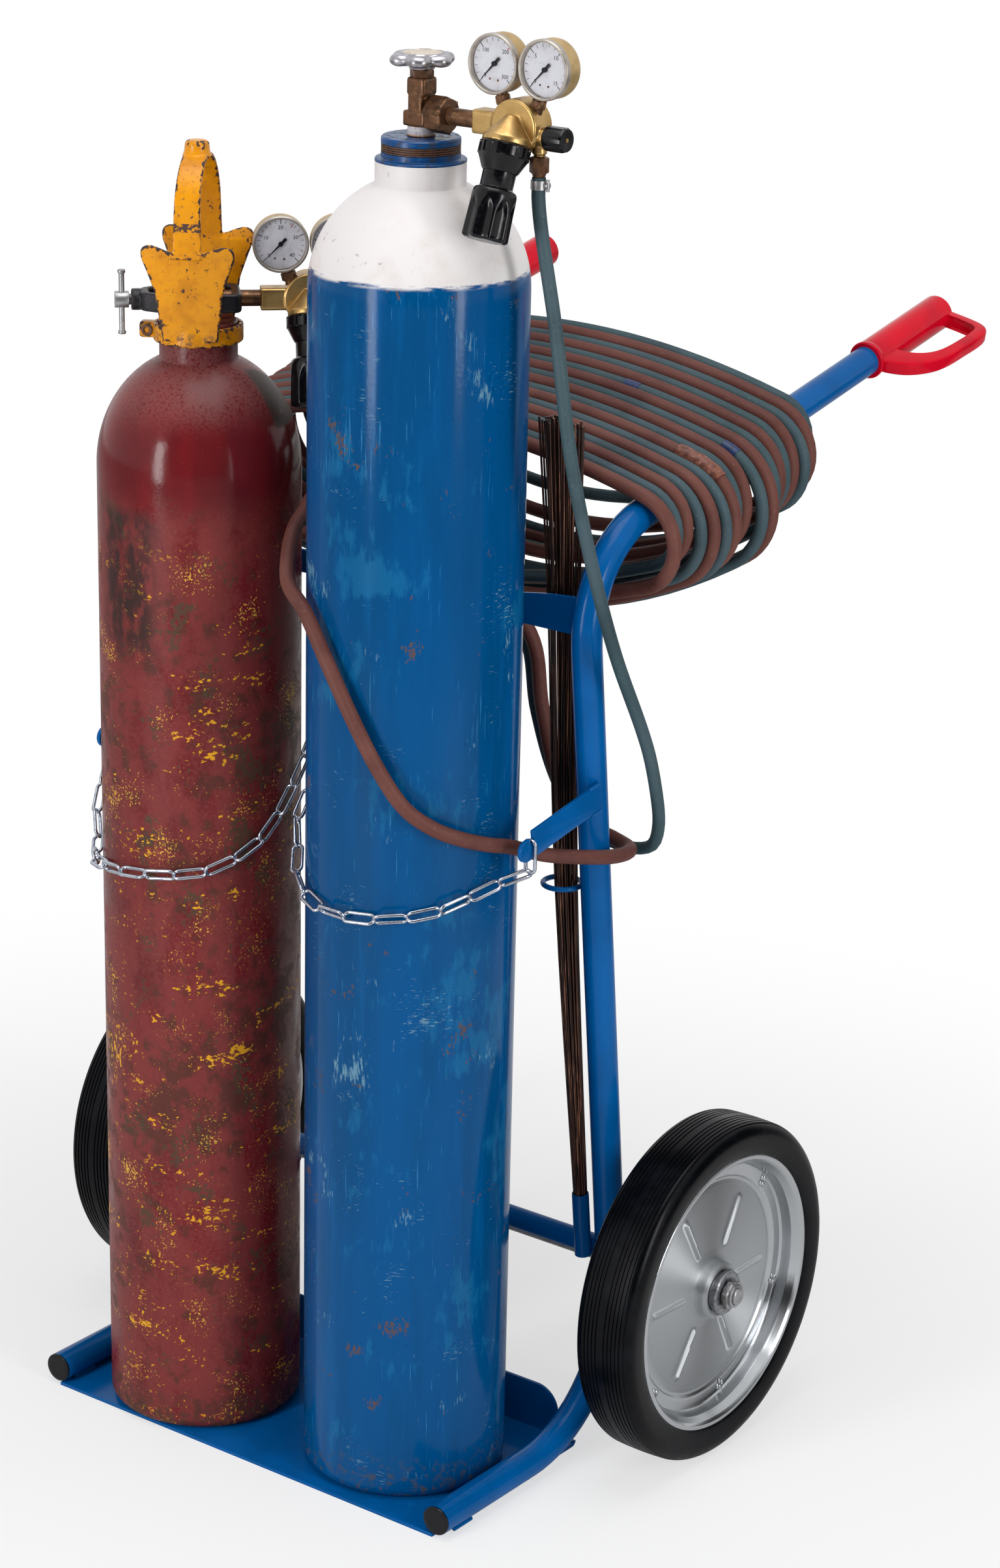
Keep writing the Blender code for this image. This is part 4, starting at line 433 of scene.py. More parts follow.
class Solid:
    """A mesh in the making: closed shells are added to it, and it ends as one smooth mesh."""

    def __init__(self) -> None:
        """Start with nothing."""
        self.bm = bmesh.new()

    def skin(self, rings: list[list[Vector]], cyclic: bool = False) -> "Solid":
        """Add a shell over rings of as many points each, or of one point on an axis.

        Args:
            rings: the rings in order.
            cyclic: whether the last ring joins the first, where otherwise both ends are closed.

        Returns:
            This solid.
        """
        verts = [[self.bm.verts.new(point) for point in ring] for ring in rings]
        sides = max(len(ring) for ring in rings)
        faces = []
        for lower, upper in zip(verts, verts[1:] + (verts[:1] if cyclic else [])):
            if len(lower) == len(upper) == 1:
                continue
            for step in range(sides):
                following = (step + 1) % sides
                corners = [lower[step % len(lower)], lower[following % len(lower)],
                           upper[following % len(upper)], upper[step % len(upper)]]
                faces.append(self.bm.faces.new(list(dict.fromkeys(corners))))
        if not cyclic:
            faces += [self.bm.faces.new(ring) for ring in (verts[0], verts[-1]) if len(ring) > 1]
        bmesh.ops.recalc_face_normals(self.bm, faces=faces)
        return self

    def turn(self, profile: Outline, frame: Matrix = Matrix(), segments: int = 64,
             closed: bool = False, shape: Shaper | None = None) -> "Solid":
        """Add a turned shell.

        Args:
            profile: its (radius, height) points, from axis to axis or, where closed, all round.
            frame: the frame whose z axis it turns about.
            segments: the number of steps round it.
            closed: whether the profile's ends meet.
            shape: changes a radius, height and angle into the radius and height to use.

        Returns:
            This solid.
        """
        rings = []
        for radius, height in profile:
            ring = []
            for step in range(segments if radius > MERGE else 1):
                angle = 2 * pi * step / segments
                r, h = shape(radius, height, angle) if shape else (radius, height)
                ring.append(frame @ Vector((r * cos(angle), r * sin(angle), h)))
            rings.append(ring)
        return self.skin(rings, closed)

    def bar(self, start: Vector, end: Vector, radius: float, edge: float = 0.0008,
            segments: int = 40, end_radius: float | None = None) -> "Solid":
        """Add a round bar or cone with rounded edges.

        Args:
            start: the middle of its first end.
            end: the middle of its last end.
            radius: its radius at the start.
            edge: the radius of its edges.
            segments: the number of steps round it.
            end_radius: its radius at the end, where that differs.

        Returns:
            This solid.
        """
        length = (end - start).length
        profile = [(0, 0), (radius, 0), (end_radius or radius, length), (0, length)]
        return self.turn(rounded(profile, edge, steps=3), along_axis(start, end - start), segments)

    def nut(self, width: float, start: Vector, end: Vector, bore: float = 0.0,
            turn: float = 0.0) -> "Solid":
        """Add a hexagon with turned-off corners.

        Args:
            width: its width across flats.
            start: the middle of its first face.
            end: the middle of its last face.
            bore: the radius of its hole, or 0.
            turn: how far it is turned on its axis.

        Returns:
            This solid.
        """
        length = (end - start).length
        corner = width / sqrt(3)
        fall = (corner - width / 2) * tan(radians(30))
        face = width / 2 * 0.97
        profile = [(bore, 0), (face, 0), (corner, fall), (corner, length - fall), (face, length),
                   (bore, length)]

        def six_sided(radius: float, height: float, angle: float) -> Pair:
            """Keep a radius inside the hexagon."""
            part = (angle + pi / 6) % (pi / 3) - pi / 6
            return min(radius, width / 2 / cos(part)), height

        frame = along_axis(start, end - start) @ Matrix.Rotation(turn, 4, "Z")
        return self.turn(profile, frame, 72, bool(bore), six_sided)

    def tube(self, route: list[Vector], radius: float | Sequence[float], sides: int = 24,
             cyclic: bool = False) -> "Solid":
        """Add a round tube along a route.

        Args:
            route: the points of its axis.
            radius: its radius, or one for each point.
            sides: the number of steps round it.
            cyclic: whether its ends meet.

        Returns:
            This solid.
        """
        count = len(route)
        radii = [radius] * count if isinstance(radius, float) else radius
        angles = [2 * pi * step / sides for step in range(sides)]
        across = None
        rings = []
        for index, point in enumerate(route):
            before = route[index - 1] if cyclic or index else point
            after = route[(index + 1) % count] if cyclic or index < count - 1 else point
            along = (after - before).normalized()
            across = along.orthogonal() if across is None else across - along * across.dot(along)
            across.normalize()
            beside = along.cross(across)
            rings.append([point + (across * cos(a) + beside * sin(a)) * radii[index] for a in angles])
        return self.skin(rings, cyclic)

    def weld(self, route: list[Vector], radius: float = 0.0026) -> "Solid":
        """Add a weld bead with ripples and thin ends.

        Args:
            route: the corner that the bead fills.
            radius: the bead's radius.

        Returns:
            This solid.
        """
        points = spaced(route, 0.0011)
        last = len(points) - 1
        radii = []
        for index in range(len(points)):
            end = min(1.0, 0.35 + min(index, last - index) / 3)
            radii.append(radius * end * (0.88 + 0.12 * abs(sin(index * 0.9))))
        return self.tube(points, radii, 10)

    def plate(self, outlines: list[Outline], thickness: float, frame: Matrix = Matrix(),
              edge: float = 0.0008) -> "Solid":
        """Add a flat plate with rounded edges, half its thickness each way.

        Args:
            outlines: its outline and those of its holes, in the frame's x and y.
            thickness: its thickness.
            frame: the frame that it lies in.
            edge: the radius of its edges.

        Returns:
            This solid.
        """
        curve = bpy.data.curves.new("plate", "CURVE")
        curve.dimensions = "2D"
        curve.fill_mode = "BOTH"
        curve.extrude = thickness / 2 - edge
        curve.bevel_depth = edge
        curve.bevel_resolution = 2
        curve.offset = -edge
        for outline in outlines:
            spline = curve.splines.new("POLY")
            spline.points.add(len(outline) - 1)
            for point, (x, y) in zip(spline.points, outline):
                point.co = (x, y, 0, 1)
            spline.use_cyclic_u = True
        mesh = evaluated_mesh(put("plate", curve))
        bpy.data.curves.remove(curve)
        return self.take(mesh, frame)

    def block(self, size: Triple, centre: Vector, frame: Matrix = Matrix(),
              edge: float = 0.0012) -> "Solid":
        """Add a block with rounded edges.

        Args:
            size: its lengths along x, y and z.
            centre: its middle in the frame.
            frame: the frame that it lies in.
            edge: the radius of its edges.

        Returns:
            This solid.
        """
        bm = bmesh.new()
        place = Matrix.Translation(centre) @ Matrix.Diagonal(size).to_4x4()
        bmesh.ops.create_cube(bm, size=1, matrix=place)
        bmesh.ops.bevel(bm, geom=bm.edges[:], offset=edge, segments=3, profile=0.5, affect="EDGES")
        mesh = bpy.data.meshes.new("block")
        bm.to_mesh(mesh)
        bm.free()
        return self.take(mesh, frame)

    def take(self, mesh: Mesh, frame: Matrix = Matrix()) -> "Solid":
        """Add a mesh of closed shells and remove it.

        Args:
            mesh: the mesh to add.
            frame: the frame that it lies in.

        Returns:
            This solid.
        """
        bm = bmesh.new()
        bm.from_mesh(mesh)
        bmesh.ops.remove_doubles(bm, verts=bm.verts, dist=MERGE)
        bmesh.ops.recalc_face_normals(bm, faces=bm.faces)
        bm.to_mesh(mesh)
        bm.free()
        mesh.transform(frame)
        self.bm.from_mesh(mesh)
        bpy.data.meshes.remove(mesh)
        return self

    def mesh(self, sharp: float = SHARP) -> Mesh:
        """End the solid as a smooth mesh.

        Args:
            sharp: the angle in degrees from which an edge stays sharp.

        Returns:
            The mesh.
        """
        mesh = bpy.data.meshes.new("solid")
        self.bm.to_mesh(mesh)
        self.bm.free()
        mesh.shade_smooth()
        mesh.set_sharp_from_angle(angle=radians(sharp))
        return mesh


def without(solid: Solid, cutter: Solid, edge: float) -> Mesh:
    """Cut one solid out of another and round the edges.

    Args:
        solid: the solid to cut.
        cutter: the solid that is taken out of it.
        edge: the radius of the edges.

    Returns:
        The cut mesh.
    """
    tool = put("cutter", cutter.mesh())
    obj = put("cut", solid.mesh())
    boolean = obj.modifiers.new("Cut", "BOOLEAN")
    boolean.operation = "DIFFERENCE"
    boolean.solver = "EXACT"
    boolean.object = tool
    bevel = obj.modifiers.new("Edges", "BEVEL")
    bevel.width = edge
    bevel.segments = 3
    bevel.limit_method = "ANGLE"
    bevel.angle_limit = radians(SHARP)
    cut = evaluated_mesh(obj)
    bpy.data.objects.remove(tool)
    cut.shade_smooth()
    cut.set_sharp_from_angle(angle=radians(SHARP))
    return cut


def cast(solid: Solid, voxel: float, passes: int) -> Mesh:
    """Melt overlapping shells into one skin with soft corners, as a casting or moulding has.

    Args:
        solid: the overlapping closed shells.
        voxel: the size of the skin's faces.
        passes: how often the skin is smoothed.

    Returns:
        The skin.
    """
    obj = put("casting", solid.mesh())
    remesh = obj.modifiers.new("Skin", "REMESH")
    remesh.mode = "VOXEL"
    remesh.voxel_size = voxel
    smooth = obj.modifiers.new("Soften", "SMOOTH")
    smooth.factor = 0.5
    smooth.iterations = passes
    skin = evaluated_mesh(obj)
    skin.shade_smooth()
    return skin


def mark_edges(mesh: Mesh, reach: float, passes: int = 3) -> None:
    """Store how much each point of a dense mesh stands out, for wear along its edges.

    Args:
        mesh: the dense mesh.
        reach: how far a point stands out of its neighbours' plane at full wear.
        passes: how often the values are spread to neighbours.
    """
    bm = bmesh.new()
    bm.from_mesh(mesh)
    bm.verts.ensure_lookup_table()
    neighbours = [[edge.other_vert(vert).index for edge in vert.link_edges] for vert in bm.verts]
    values = []
    for vert, near in zip(bm.verts, neighbours):
        middle = sum((bm.verts[index].co for index in near), Vector()) / len(near)
        values.append(max(0.0, min(1.0, (vert.co - middle).dot(vert.normal) / reach)))
    bm.free()
    for _ in range(passes):
        values = [(value + sum(values[index] for index in near)) / (len(near) + 1)
                  for value, near in zip(values, neighbours)]
    attribute = mesh.attributes.new("edge", "FLOAT", "POINT")
    attribute.data.foreach_set("value", values)


def edge_mesh(routes: list[list[Vector]]) -> Mesh:
    """Make a mesh of edges along routes.

    Args:
        routes: the routes of points.

    Returns:
        The mesh.
    """
    points, edges = [], []
    for route in routes:
        first = len(points)
        points += [tuple(point) for point in route]
        edges += [(index, index + 1) for index in range(first, len(points) - 1)]
    mesh = bpy.data.meshes.new("routes")
    mesh.from_pydata(points, edges, [])
    return mesh


def number_mesh(number: str, size: float) -> Mesh:
    """Make a flat, thin number for a dial.

    Args:
        number: the digits.
        size: their height.

    Returns:
        The mesh, centred at the origin.
    """
    curve = bpy.data.curves.new("number", "FONT")
    curve.body = number
    curve.size = size
    curve.align_x = "CENTER"
    curve.align_y = "CENTER"
    curve.extrude = 0.00003
    curve.resolution_u = 2
    mesh = evaluated_mesh(put("number", curve))
    bpy.data.curves.remove(curve)
    return mesh


# Finishes

@dataclass(frozen=True)
class Fade:
    """A stretch along an axis over which a coat goes from nothing to all."""

    axis: str
    none: float
    full: float


@dataclass(frozen=True)
class Coat:
    """A coat, stain or chip over what lies under it, in patches of noise.

    spot is the size of the patches in mm and level the noise value from which they show, with
    soft edges. stretch shortens the pattern along an axis, cluster gathers the patches in areas
    of gather mm, and edges pulls them to the mesh's marked edges. raised is in mm.
    """

    colour: str
    spot: float
    level: float
    soft: float = 0.02
    stretch: Triple = (1.0, 1.0, 1.0)
    gather: float = 0.0
    cluster: float = 0.0
    gather_stretch: Triple = (1.0, 1.0, 1.0)
    edges: float = 0.0
    amount: float = 1.0
    roughness: float | None = None
    raised: float = 0.0
    fades: tuple[Fade, ...] = ()
    seed: float = 0.0

    def noise(self, tree: NodeTree, place: NodeSocket, size: float, stretch: Triple, detail: float,
              roughness: float = 0.5) -> Node:
        """Add the coat's noise in one size.

        Args:
            tree: the material's tree.
            place: the socket with the place on the piece.
            size: the size of the pattern in mm.
            stretch: how the pattern is shortened along each axis.
            detail: how many finer patterns are added to it.
            roughness: how strong those are.

        Returns:
            The noise.
        """
        moved = (self.seed, self.seed / 2, self.seed / 3)
        mapped = add_node(tree, "ShaderNodeMapping",
                          {"Vector": place, "Location": moved, "Scale": stretch})
        return add_node(tree, "ShaderNodeTexNoise", {
            "Vector": mapped, "Scale": 1 / (size * MILLIMETRE), "Detail": detail, "Roughness": roughness})

    def mask(self, tree: NodeTree, place: NodeSocket) -> Node:
        """Add the nodes that say where the coat shows.

        Args:
            tree: the material's tree.
            place: the socket with the place on the piece.

        Returns:
            The node that gives the coat's cover, from 0 to 1.
        """
        value = self.noise(tree, place, self.spot, self.stretch, 6.0, 0.6)
        level = self.level
        if self.cluster:
            areas = self.noise(tree, place, self.gather, self.gather_stretch, 3.0)
            value = add_node(tree, "ShaderNodeMath", {0: areas, 1: self.cluster, 2: value},
                             operation="MULTIPLY_ADD")
            level += self.cluster / 2
        if self.edges:
            edge = add_node(tree, "ShaderNodeAttribute", attribute_name="edge")
            value = add_node(tree, "ShaderNodeMath", {0: edge.outputs["Fac"], 1: self.edges, 2: value},
                             operation="MULTIPLY_ADD")
        cover = add_node(tree, "ShaderNodeMapRange", {
            "Value": value, "From Min": level - self.soft, "From Max": level + self.soft,
            "To Max": self.amount}, interpolation_type="SMOOTHSTEP")
        for fade in self.fades:
            parts = add_node(tree, "ShaderNodeSeparateXYZ", {0: place})
            share = add_node(tree, "ShaderNodeMapRange", {
                "Value": parts.outputs[fade.axis], "From Min": fade.none, "From Max": fade.full},
                interpolation_type="SMOOTHSTEP")
            cover = add_node(tree, "ShaderNodeMath", {0: cover, 1: share}, operation="MULTIPLY")
        return cover


@dataclass(frozen=True)
class Finish:
    """A real material: its colour and gloss, the coats on it and the grain of its surface in mm.

    spun is the middle of a face that was turned about x. satin gives two radii and a roughness:
    the face has that roughness inside the first radius and the finish's own outside the second.
    """

    name: str
    colour: str
    roughness: float
    metallic: float = 0.0
    specular: float = 0.5
    grain: float = 0.0
    grain_depth: float = 0.0
    coats: tuple[Coat, ...] = ()
    spun: Triple | None = None
    satin: Triple = (0.118, 0.132, 0.52)

    def turned(self, tree: NodeTree, place: NodeSocket) -> dict:
        """Add the nodes of a face with fine turning marks.

        Args:
            tree: the material's tree.
            place: the socket with the place on the piece.

        Returns:
            The shader's inputs for the marks.
        """
        near, far, rough = self.satin
        away = add_node(tree, "ShaderNodeVectorMath", {0: place, 1: self.spun}, operation="SUBTRACT")
        radial = add_node(tree, "ShaderNodeVectorMath", {0: away, 1: (0.0, 1.0, 1.0)},
                          operation="MULTIPLY")
        radius = add_node(tree, "ShaderNodeVectorMath", {0: radial}, operation="LENGTH")
        gloss = add_node(tree, "ShaderNodeMapRange", {
            "Value": radius.outputs["Value"], "From Min": near, "From Max": far, "To Min": rough,
            "To Max": self.roughness})
        return {"Tangent": radial, "Anisotropic": 0.9, "Roughness": gloss}

    def material(self) -> Material:
        """Make the material, once.

        Returns:
            The material.
        """
        made = bpy.data.materials.get(self.name)
        if made:
            return made
        made = bpy.data.materials.new(self.name)
        made.use_nodes = True
        tree = made.node_tree
        place = add_node(tree, "ShaderNodeTexCoord").outputs["Object"]
        look = {"Base Color": linear(self.colour), "Roughness": self.roughness,
                "Metallic": self.metallic, "Specular IOR Level": self.specular}
        if self.spun:
            look |= self.turned(tree, place)
        height = None
        if self.grain_depth:
            grain = add_node(tree, "ShaderNodeTexNoise", {
                "Vector": place, "Scale": 1 / (self.grain * MILLIMETRE), "Detail": 3.0})
            height = add_node(tree, "ShaderNodeMath", {0: grain, 1: self.grain_depth * MILLIMETRE},
                              operation="MULTIPLY")
        for coat in self.coats:
            cover = coat.mask(tree, place)
            mix = add_node(tree, "ShaderNodeMix", {0: cover, 6: look["Base Color"], 7: linear(coat.colour)},
                           data_type="RGBA")
            look["Base Color"] = mix.outputs[2]
            if coat.roughness is not None:
                look["Roughness"] = add_node(tree, "ShaderNodeMix", {
                    0: cover, 2: look["Roughness"], 3: coat.roughness})
            if coat.raised:
                height = add_node(tree, "ShaderNodeMath", {
                    0: cover, 1: coat.raised * MILLIMETRE, 2: height or 0.0}, operation="MULTIPLY_ADD")
        if height:
            look["Normal"] = add_node(tree, "ShaderNodeBump", {"Height": height, "Distance": 1.0})
        set_inputs(tree, tree.nodes["Principled BSDF"], look)
        return made


# Powder coat baked on steel: an even, glossy blue with a faint orange peel
BLUE_POWDER_COAT = Finish(
    "blue_powder_coat", "#005BA0", 0.2, specular=0.13, grain=3, grain_depth=0.02, coats=(
        Coat("#00508E", 120, 0.52, 0.16),
        Coat("#1C70AC", 26, 0.7, 0.06, amount=0.3, roughness=0.45),
    )
)
# Old brushed-on enamel of the oxygen cylinder: streaked blue, rubbed to teal and cream, a white shoulder
OXYGEN_ENAMEL = Finish("oxygen_enamel", "#004C84", 0.13, specular=0.12, grain=4, grain_depth=0.05, coats=(
    Coat("#004678", 60, 0.5, 0.12, stretch=(1, 1, 0.14), seed=1),
    Coat("#075C99", 30, 0.62, 0.08, stretch=(1, 1, 0.08), amount=0.5, seed=2),
    Coat("#3C8ABC", 2, 0.69, 0.03, stretch=(1, 1, 0.03), gather=90, cluster=0.4, amount=0.5, seed=3),
    Coat("#1C76A4", 9, 0.74, 0.1, stretch=(1, 1, 0.3), gather=120, cluster=1.6,
         gather_stretch=(1, 1, 1.5), amount=0.32, roughness=0.3, seed=4),
    Coat("#86B2BC", 3, 0.97, 0.09, stretch=(1, 1, 0.25), gather=75, cluster=2.2, amount=0.5,
         roughness=0.5, seed=17),
    Coat("#7FA3AC", 1.6, 0.74, 0.03, stretch=(0.2, 0.2, 1), gather=70, cluster=0.8, amount=0.5,
         roughness=0.5, seed=5),
    Coat("#04304F", 4, 0.74, 0.02, gather=140, cluster=0.6, amount=0.7, seed=6),
    Coat("#5F4632", 3, 0.95, 0.05, stretch=(1, 1, 0.6), gather=45, cluster=2, amount=0.8,
         roughness=0.7, raised=-0.1, seed=27),
    Coat("#4E463C", 9, 0.58, 0.08, amount=0.75, roughness=0.7, fades=(Fade("Z", 0.075, 0.012),), seed=8),
    Coat("#DEDADA", 9, 0.48, 0.1, stretch=(0.3, 0.3, 1.5), roughness=0.34, fades=(Fade("Z", 1.363, 1.368),),
         seed=9),
    Coat("#DEDADA", 400, 0, 0.02, roughness=0.34, fades=(Fade("Z", 1.3675, 1.3705),), seed=9),
    Coat("#CFC6C0", 45, 0.58, 0.1, amount=0.5, fades=(Fade("Z", 1.367, 1.371),), seed=10),
    Coat("#8E8A90", 9, 0.72, 0.03, gather=90, cluster=0.8, amount=0.7, fades=(Fade("Z", 1.38, 1.39),),
         seed=12),
))
# Old maroon enamel of the acetylene cylinder, chipped to an older yellow coat and to dark rust, with
# painted shade on the shoulder's right back
MAROON_ENAMEL = Finish("maroon_enamel", "#6E1A1E", 0.15, specular=0.2, grain=4.5, grain_depth=0.1, coats=(
    Coat("#5C191D", 70, 0.5, 0.14, stretch=(1, 1, 0.4), seed=21),
    Coat("#80504D", 3, 0.44, 0.12, amount=0.55, roughness=0.6, fades=(Fade("Z", 1.165, 1.215),), seed=20),
    Coat("#9C6E6A", 1.6, 0.7, 0.04, amount=0.6, roughness=0.5, seed=19),
    Coat("#84423F", 4, 0.54, 0.12, amount=0.35, roughness=0.42, fades=(Fade("Z", 1.12, 1.06),), seed=22),
    Coat("#7A3230", 40, 0.46, 0.1, stretch=(1, 1, 0.5), amount=0.7, roughness=0.5,
         fades=(Fade("Z", 1.12, 1.06),), seed=29),
    Coat("#48281F", 22, 0.58, 0.08, gather=160, cluster=0.5, amount=0.75, roughness=0.55,
         fades=(Fade("Z", 1.12, 1.06),), seed=23),
    Coat("#443B2B", 4, 0.7, 0.07, stretch=(1, 1, 0.7), gather=50, cluster=1.3, amount=0.8, roughness=0.6,
         fades=(Fade("Z", 1.12, 1.07),), seed=24),
    Coat("#D99A1E", 5, 0.705, 0.012, stretch=(0.75, 0.75, 1.2), gather=42, cluster=0.9,
         gather_stretch=(0.5, 0.5, 1.4), roughness=0.45, raised=-0.15, fades=(Fade("Z", 1.08, 1),),
         seed=25),
    Coat("#D9A53C", 2.6, 0.69, 0.02, gather=55, cluster=0.7, roughness=0.45, raised=-0.1,
         fades=(Fade("Z", 1.1, 1),), seed=26),
    Coat("#D99A1E", 4.5, 0.7, 0.012, stretch=(1, 1, 0.5), gather=90, cluster=0.5, roughness=0.45,
         raised=-0.15, fades=(Fade("Z", 0.7, 0.5),), seed=33),
    Coat("#1E1817", 18, 0.45, 0.12, stretch=(1, 1, 0.5), amount=0.85, roughness=0.55,
         fades=(Fade("Z", 0.9, 0.96), Fade("Z", 1.1, 1.075), Fade("X", -0.095, -0.125),
                Fade("X", -0.2, -0.17), Fade("Y", -0.085, -0.12)), seed=27),
    # Painted shade: a dark coat on the shoulder's right back, on the side towards the oxygen cylinder
    Coat("#26302A", 20, 0.3, 0.06, amount=0.8, roughness=0.5,
         fades=(Fade("X", -0.088, -0.082), Fade("Y", -0.03, -0.02), Fade("Z", 1.17, 1.176),
                Fade("Z", 1.232, 1.226)), seed=30),
    Coat("#4A3029", 9, 0.5, 0.08, amount=0.85, roughness=0.7, fades=(Fade("Z", 0.07, 0.012),), seed=28),
))
# Thick yellow enamel on a cast-iron guard, chipped to dark iron along the edges
YELLOW_ENAMEL = Finish("yellow_enamel", "#E09304", 0.3, specular=0.3, grain=4, grain_depth=0.12, coats=(
    Coat("#CE8204", 25, 0.52, 0.12, seed=31),
    Coat("#B87410", 7, 0.62, 0.06, amount=0.6, roughness=0.45, seed=33),
    Coat("#3A2A2A", 6, 0.66, 0.03, edges=0.24, roughness=0.6, raised=-0.2, seed=34),
    Coat("#3A2A26", 3.5, 0.72, 0.02, gather=34, cluster=0.7, roughness=0.6, raised=-0.2, seed=35),
    Coat("#4A352C", 4, 0.47, 0.04, roughness=0.6, raised=-0.2,
         fades=(Fade("Z", 1.3805, 1.3815), Fade("Z", 1.3905, 1.3895), Fade("Y", -0.06, -0.066)), seed=36),
    Coat("#5A4232", 8, 0.56, 0.06, amount=0.8, roughness=0.6, fades=(Fade("Z", 1.279, 1.262),), seed=37),
))
# Blue paint on the neck ring, with rust in its thread
NECK_ENAMEL = Finish("neck_ring_enamel", "#00427A", 0.3, specular=0.3, grain=3, grain_depth=0.08, coats=(
    Coat("#2A5F8C", 8, 0.64, 0.05, amount=0.6, seed=41),
    Coat("#2E3238", 7, 0.55, 0.06, amount=0.7, roughness=0.6, seed=42),
))
# Machined thread with a thin brown rust
RUSTY_THREAD = Finish("rusty_thread", "#5C4438", 0.55, metallic=0.35, coats=(
    Coat("#6E4A36", 5, 0.56, 0.08, seed=43), Coat("#241F1E", 4, 0.6, 0.06, seed=44),
))
# Glossy moulded plastic of the grips
RED_VINYL = Finish("red_vinyl", "#D80626", 0.16, specular=0.12, coats=(Coat("#C00C26", 60, 0.55, 0.15),))
# Moulded black plastic: dark and glossy, with paler rubbed places
BLACK_PLASTIC = Finish(
    "moulded_plastic", "#08070A", 0.2, specular=0.28, grain=1.6, grain_depth=0.01, coats=(
        Coat("#17151B", 9, 0.6, 0.08, amount=0.6, roughness=0.36),
    )
)
# Solid black rubber of the tyres, with a soft gloss and a bloom of dust
TYRE_RUBBER = Finish("tyre_rubber", "#050609", 0.26, specular=0.1, grain=2, grain_depth=0.015, coats=(
    Coat("#0D0E13", 45, 0.55, 0.12, roughness=0.38),
))
# Zinc plate on pressed steel: bright and smooth
ZINC_PLATE = Finish("zinc_plate", "#B4B7BA", 0.22, metallic=1, coats=(
    Coat("#A9ABAC", 40, 0.52, 0.16, roughness=0.25),
))
# Plain machined steel, a little dull
BARE_STEEL = Finish("bare_steel", "#A2A2A4", 0.38, metallic=0.9, coats=(
    Coat("#8C8A88", 10, 0.57, 0.14, roughness=0.44),
))
# Dull steel of the bearing seals
SEAL_STEEL = Finish("seal_steel", "#85868A", 0.3, metallic=0.8, coats=(Coat("#5E5E62", 6, 0.56, 0.1),))
# Blackened iron casting of the yoke
BLACK_IRON = Finish(
    "blackened_iron", "#1D1C21", 0.4, metallic=0.3, specular=0.4, grain=1.8, grain_depth=0.04, coats=(
        Coat("#2E2A2E", 8, 0.58, 0.08, roughness=0.5),
    )
)
# Copper-washed welding rods, tarnished dark brown
TARNISHED_RODS = Finish("tarnished_rods", "#4A2E24", 0.36, metallic=0.6, coats=(
    Coat("#8C614C", 3, 0.56, 0.05, stretch=(1, 1, 0.01)),
    Coat("#1C1412", 3.5, 0.54, 0.05, stretch=(1, 1, 0.012), seed=3),
    Coat("#2E1E19", 40, 0.56, 0.12, stretch=(3, 3, 0.6), amount=0.6, seed=5),
))
# Satin machined brass
BRASS = Finish("machined_brass", "#B79660", 0.34, metallic=0.9, grain=0.7, grain_depth=0.006, coats=(
    Coat("#A3834F", 12, 0.55, 0.12, roughness=0.4),
    Coat("#6E5336", 5, 0.72, 0.04, amount=0.6, roughness=0.5),
))
# Gold lacquer on the gauge cases
GAUGE_BRASS = Finish("gold_lacquer", "#B59A6C", 0.42, metallic=0.6, grain=0.9, grain_depth=0.012, coats=(
    Coat("#A68A5C", 14, 0.55, 0.12), Coat("#5E4833", 2, 0.74, 0.03, amount=0.8, roughness=0.6),
))
# Plated rims of the gauges
POLISHED_RIM = Finish("plated_rim", "#A79F96", 0.36, metallic=0.6, coats=(
    Coat("#9B948C", 12, 0.56, 0.12, roughness=0.3),
))
# Zinc plate of the chain links, bluish and bright
ZINC_CHAIN = Finish("zinc_chain", "#B6BBC6", 0.24, metallic=1, coats=(
    Coat("#989EAA", 8, 0.55, 0.1, roughness=0.32),
))
# Forged brass of the valve and its nuts, gone brown with handling
BROWN_BRASS = Finish(
    "browned_brass", "#6A4A34", 0.34, metallic=0.6, specular=0.3, grain=1.2, grain_depth=0.015, coats=(
        Coat("#4A3527", 9, 0.54, 0.1, roughness=0.42),
        Coat("#8C6743", 5, 0.62, 0.06, amount=0.7, roughness=0.3),
    )
)
# Die-cast aluminium handwheel, polished on its lobes
ALUMINIUM = Finish("cast_aluminium", "#A9A7AC", 0.36, metallic=0.95, grain=2, grain_depth=0.03, coats=(
    Coat("#858388", 7, 0.56, 0.08, roughness=0.38),
))
# Yellowed card disc on the handwheel
CREAM_CARD = Finish("cream_card", "#CFC4B4", 0.5, specular=0.2, coats=(Coat("#B5A596", 6, 0.58, 0.08),))
# White thread tape
WHITE_TAPE = Finish("thread_tape", "#CFCBD0", 0.6, specular=0.2, grain=2, grain_depth=0.15, coats=(
    Coat("#8E8480", 3, 0.62, 0.05), Coat("#A8763C", 5, 0.5, 0.06, fades=(Fade("Z", 1.5035, 1.5),), seed=2),
))
# Lacquered dial card and its printing
DIAL_WHITE = Finish("dial_card", "#D6D6DE", 0.4, specular=0.2, coats=(Coat("#C9C8CE", 12, 0.58, 0.1),))
DIAL_BLACK = Finish("dial_print", "#141417", 0.4, specular=0.2, coats=(Coat("#242428", 2, 0.6, 0.1),))
DIAL_RED = Finish("dial_mark", "#B03038", 0.4, specular=0.2, coats=(Coat("#98262E", 2, 0.6, 0.1),))
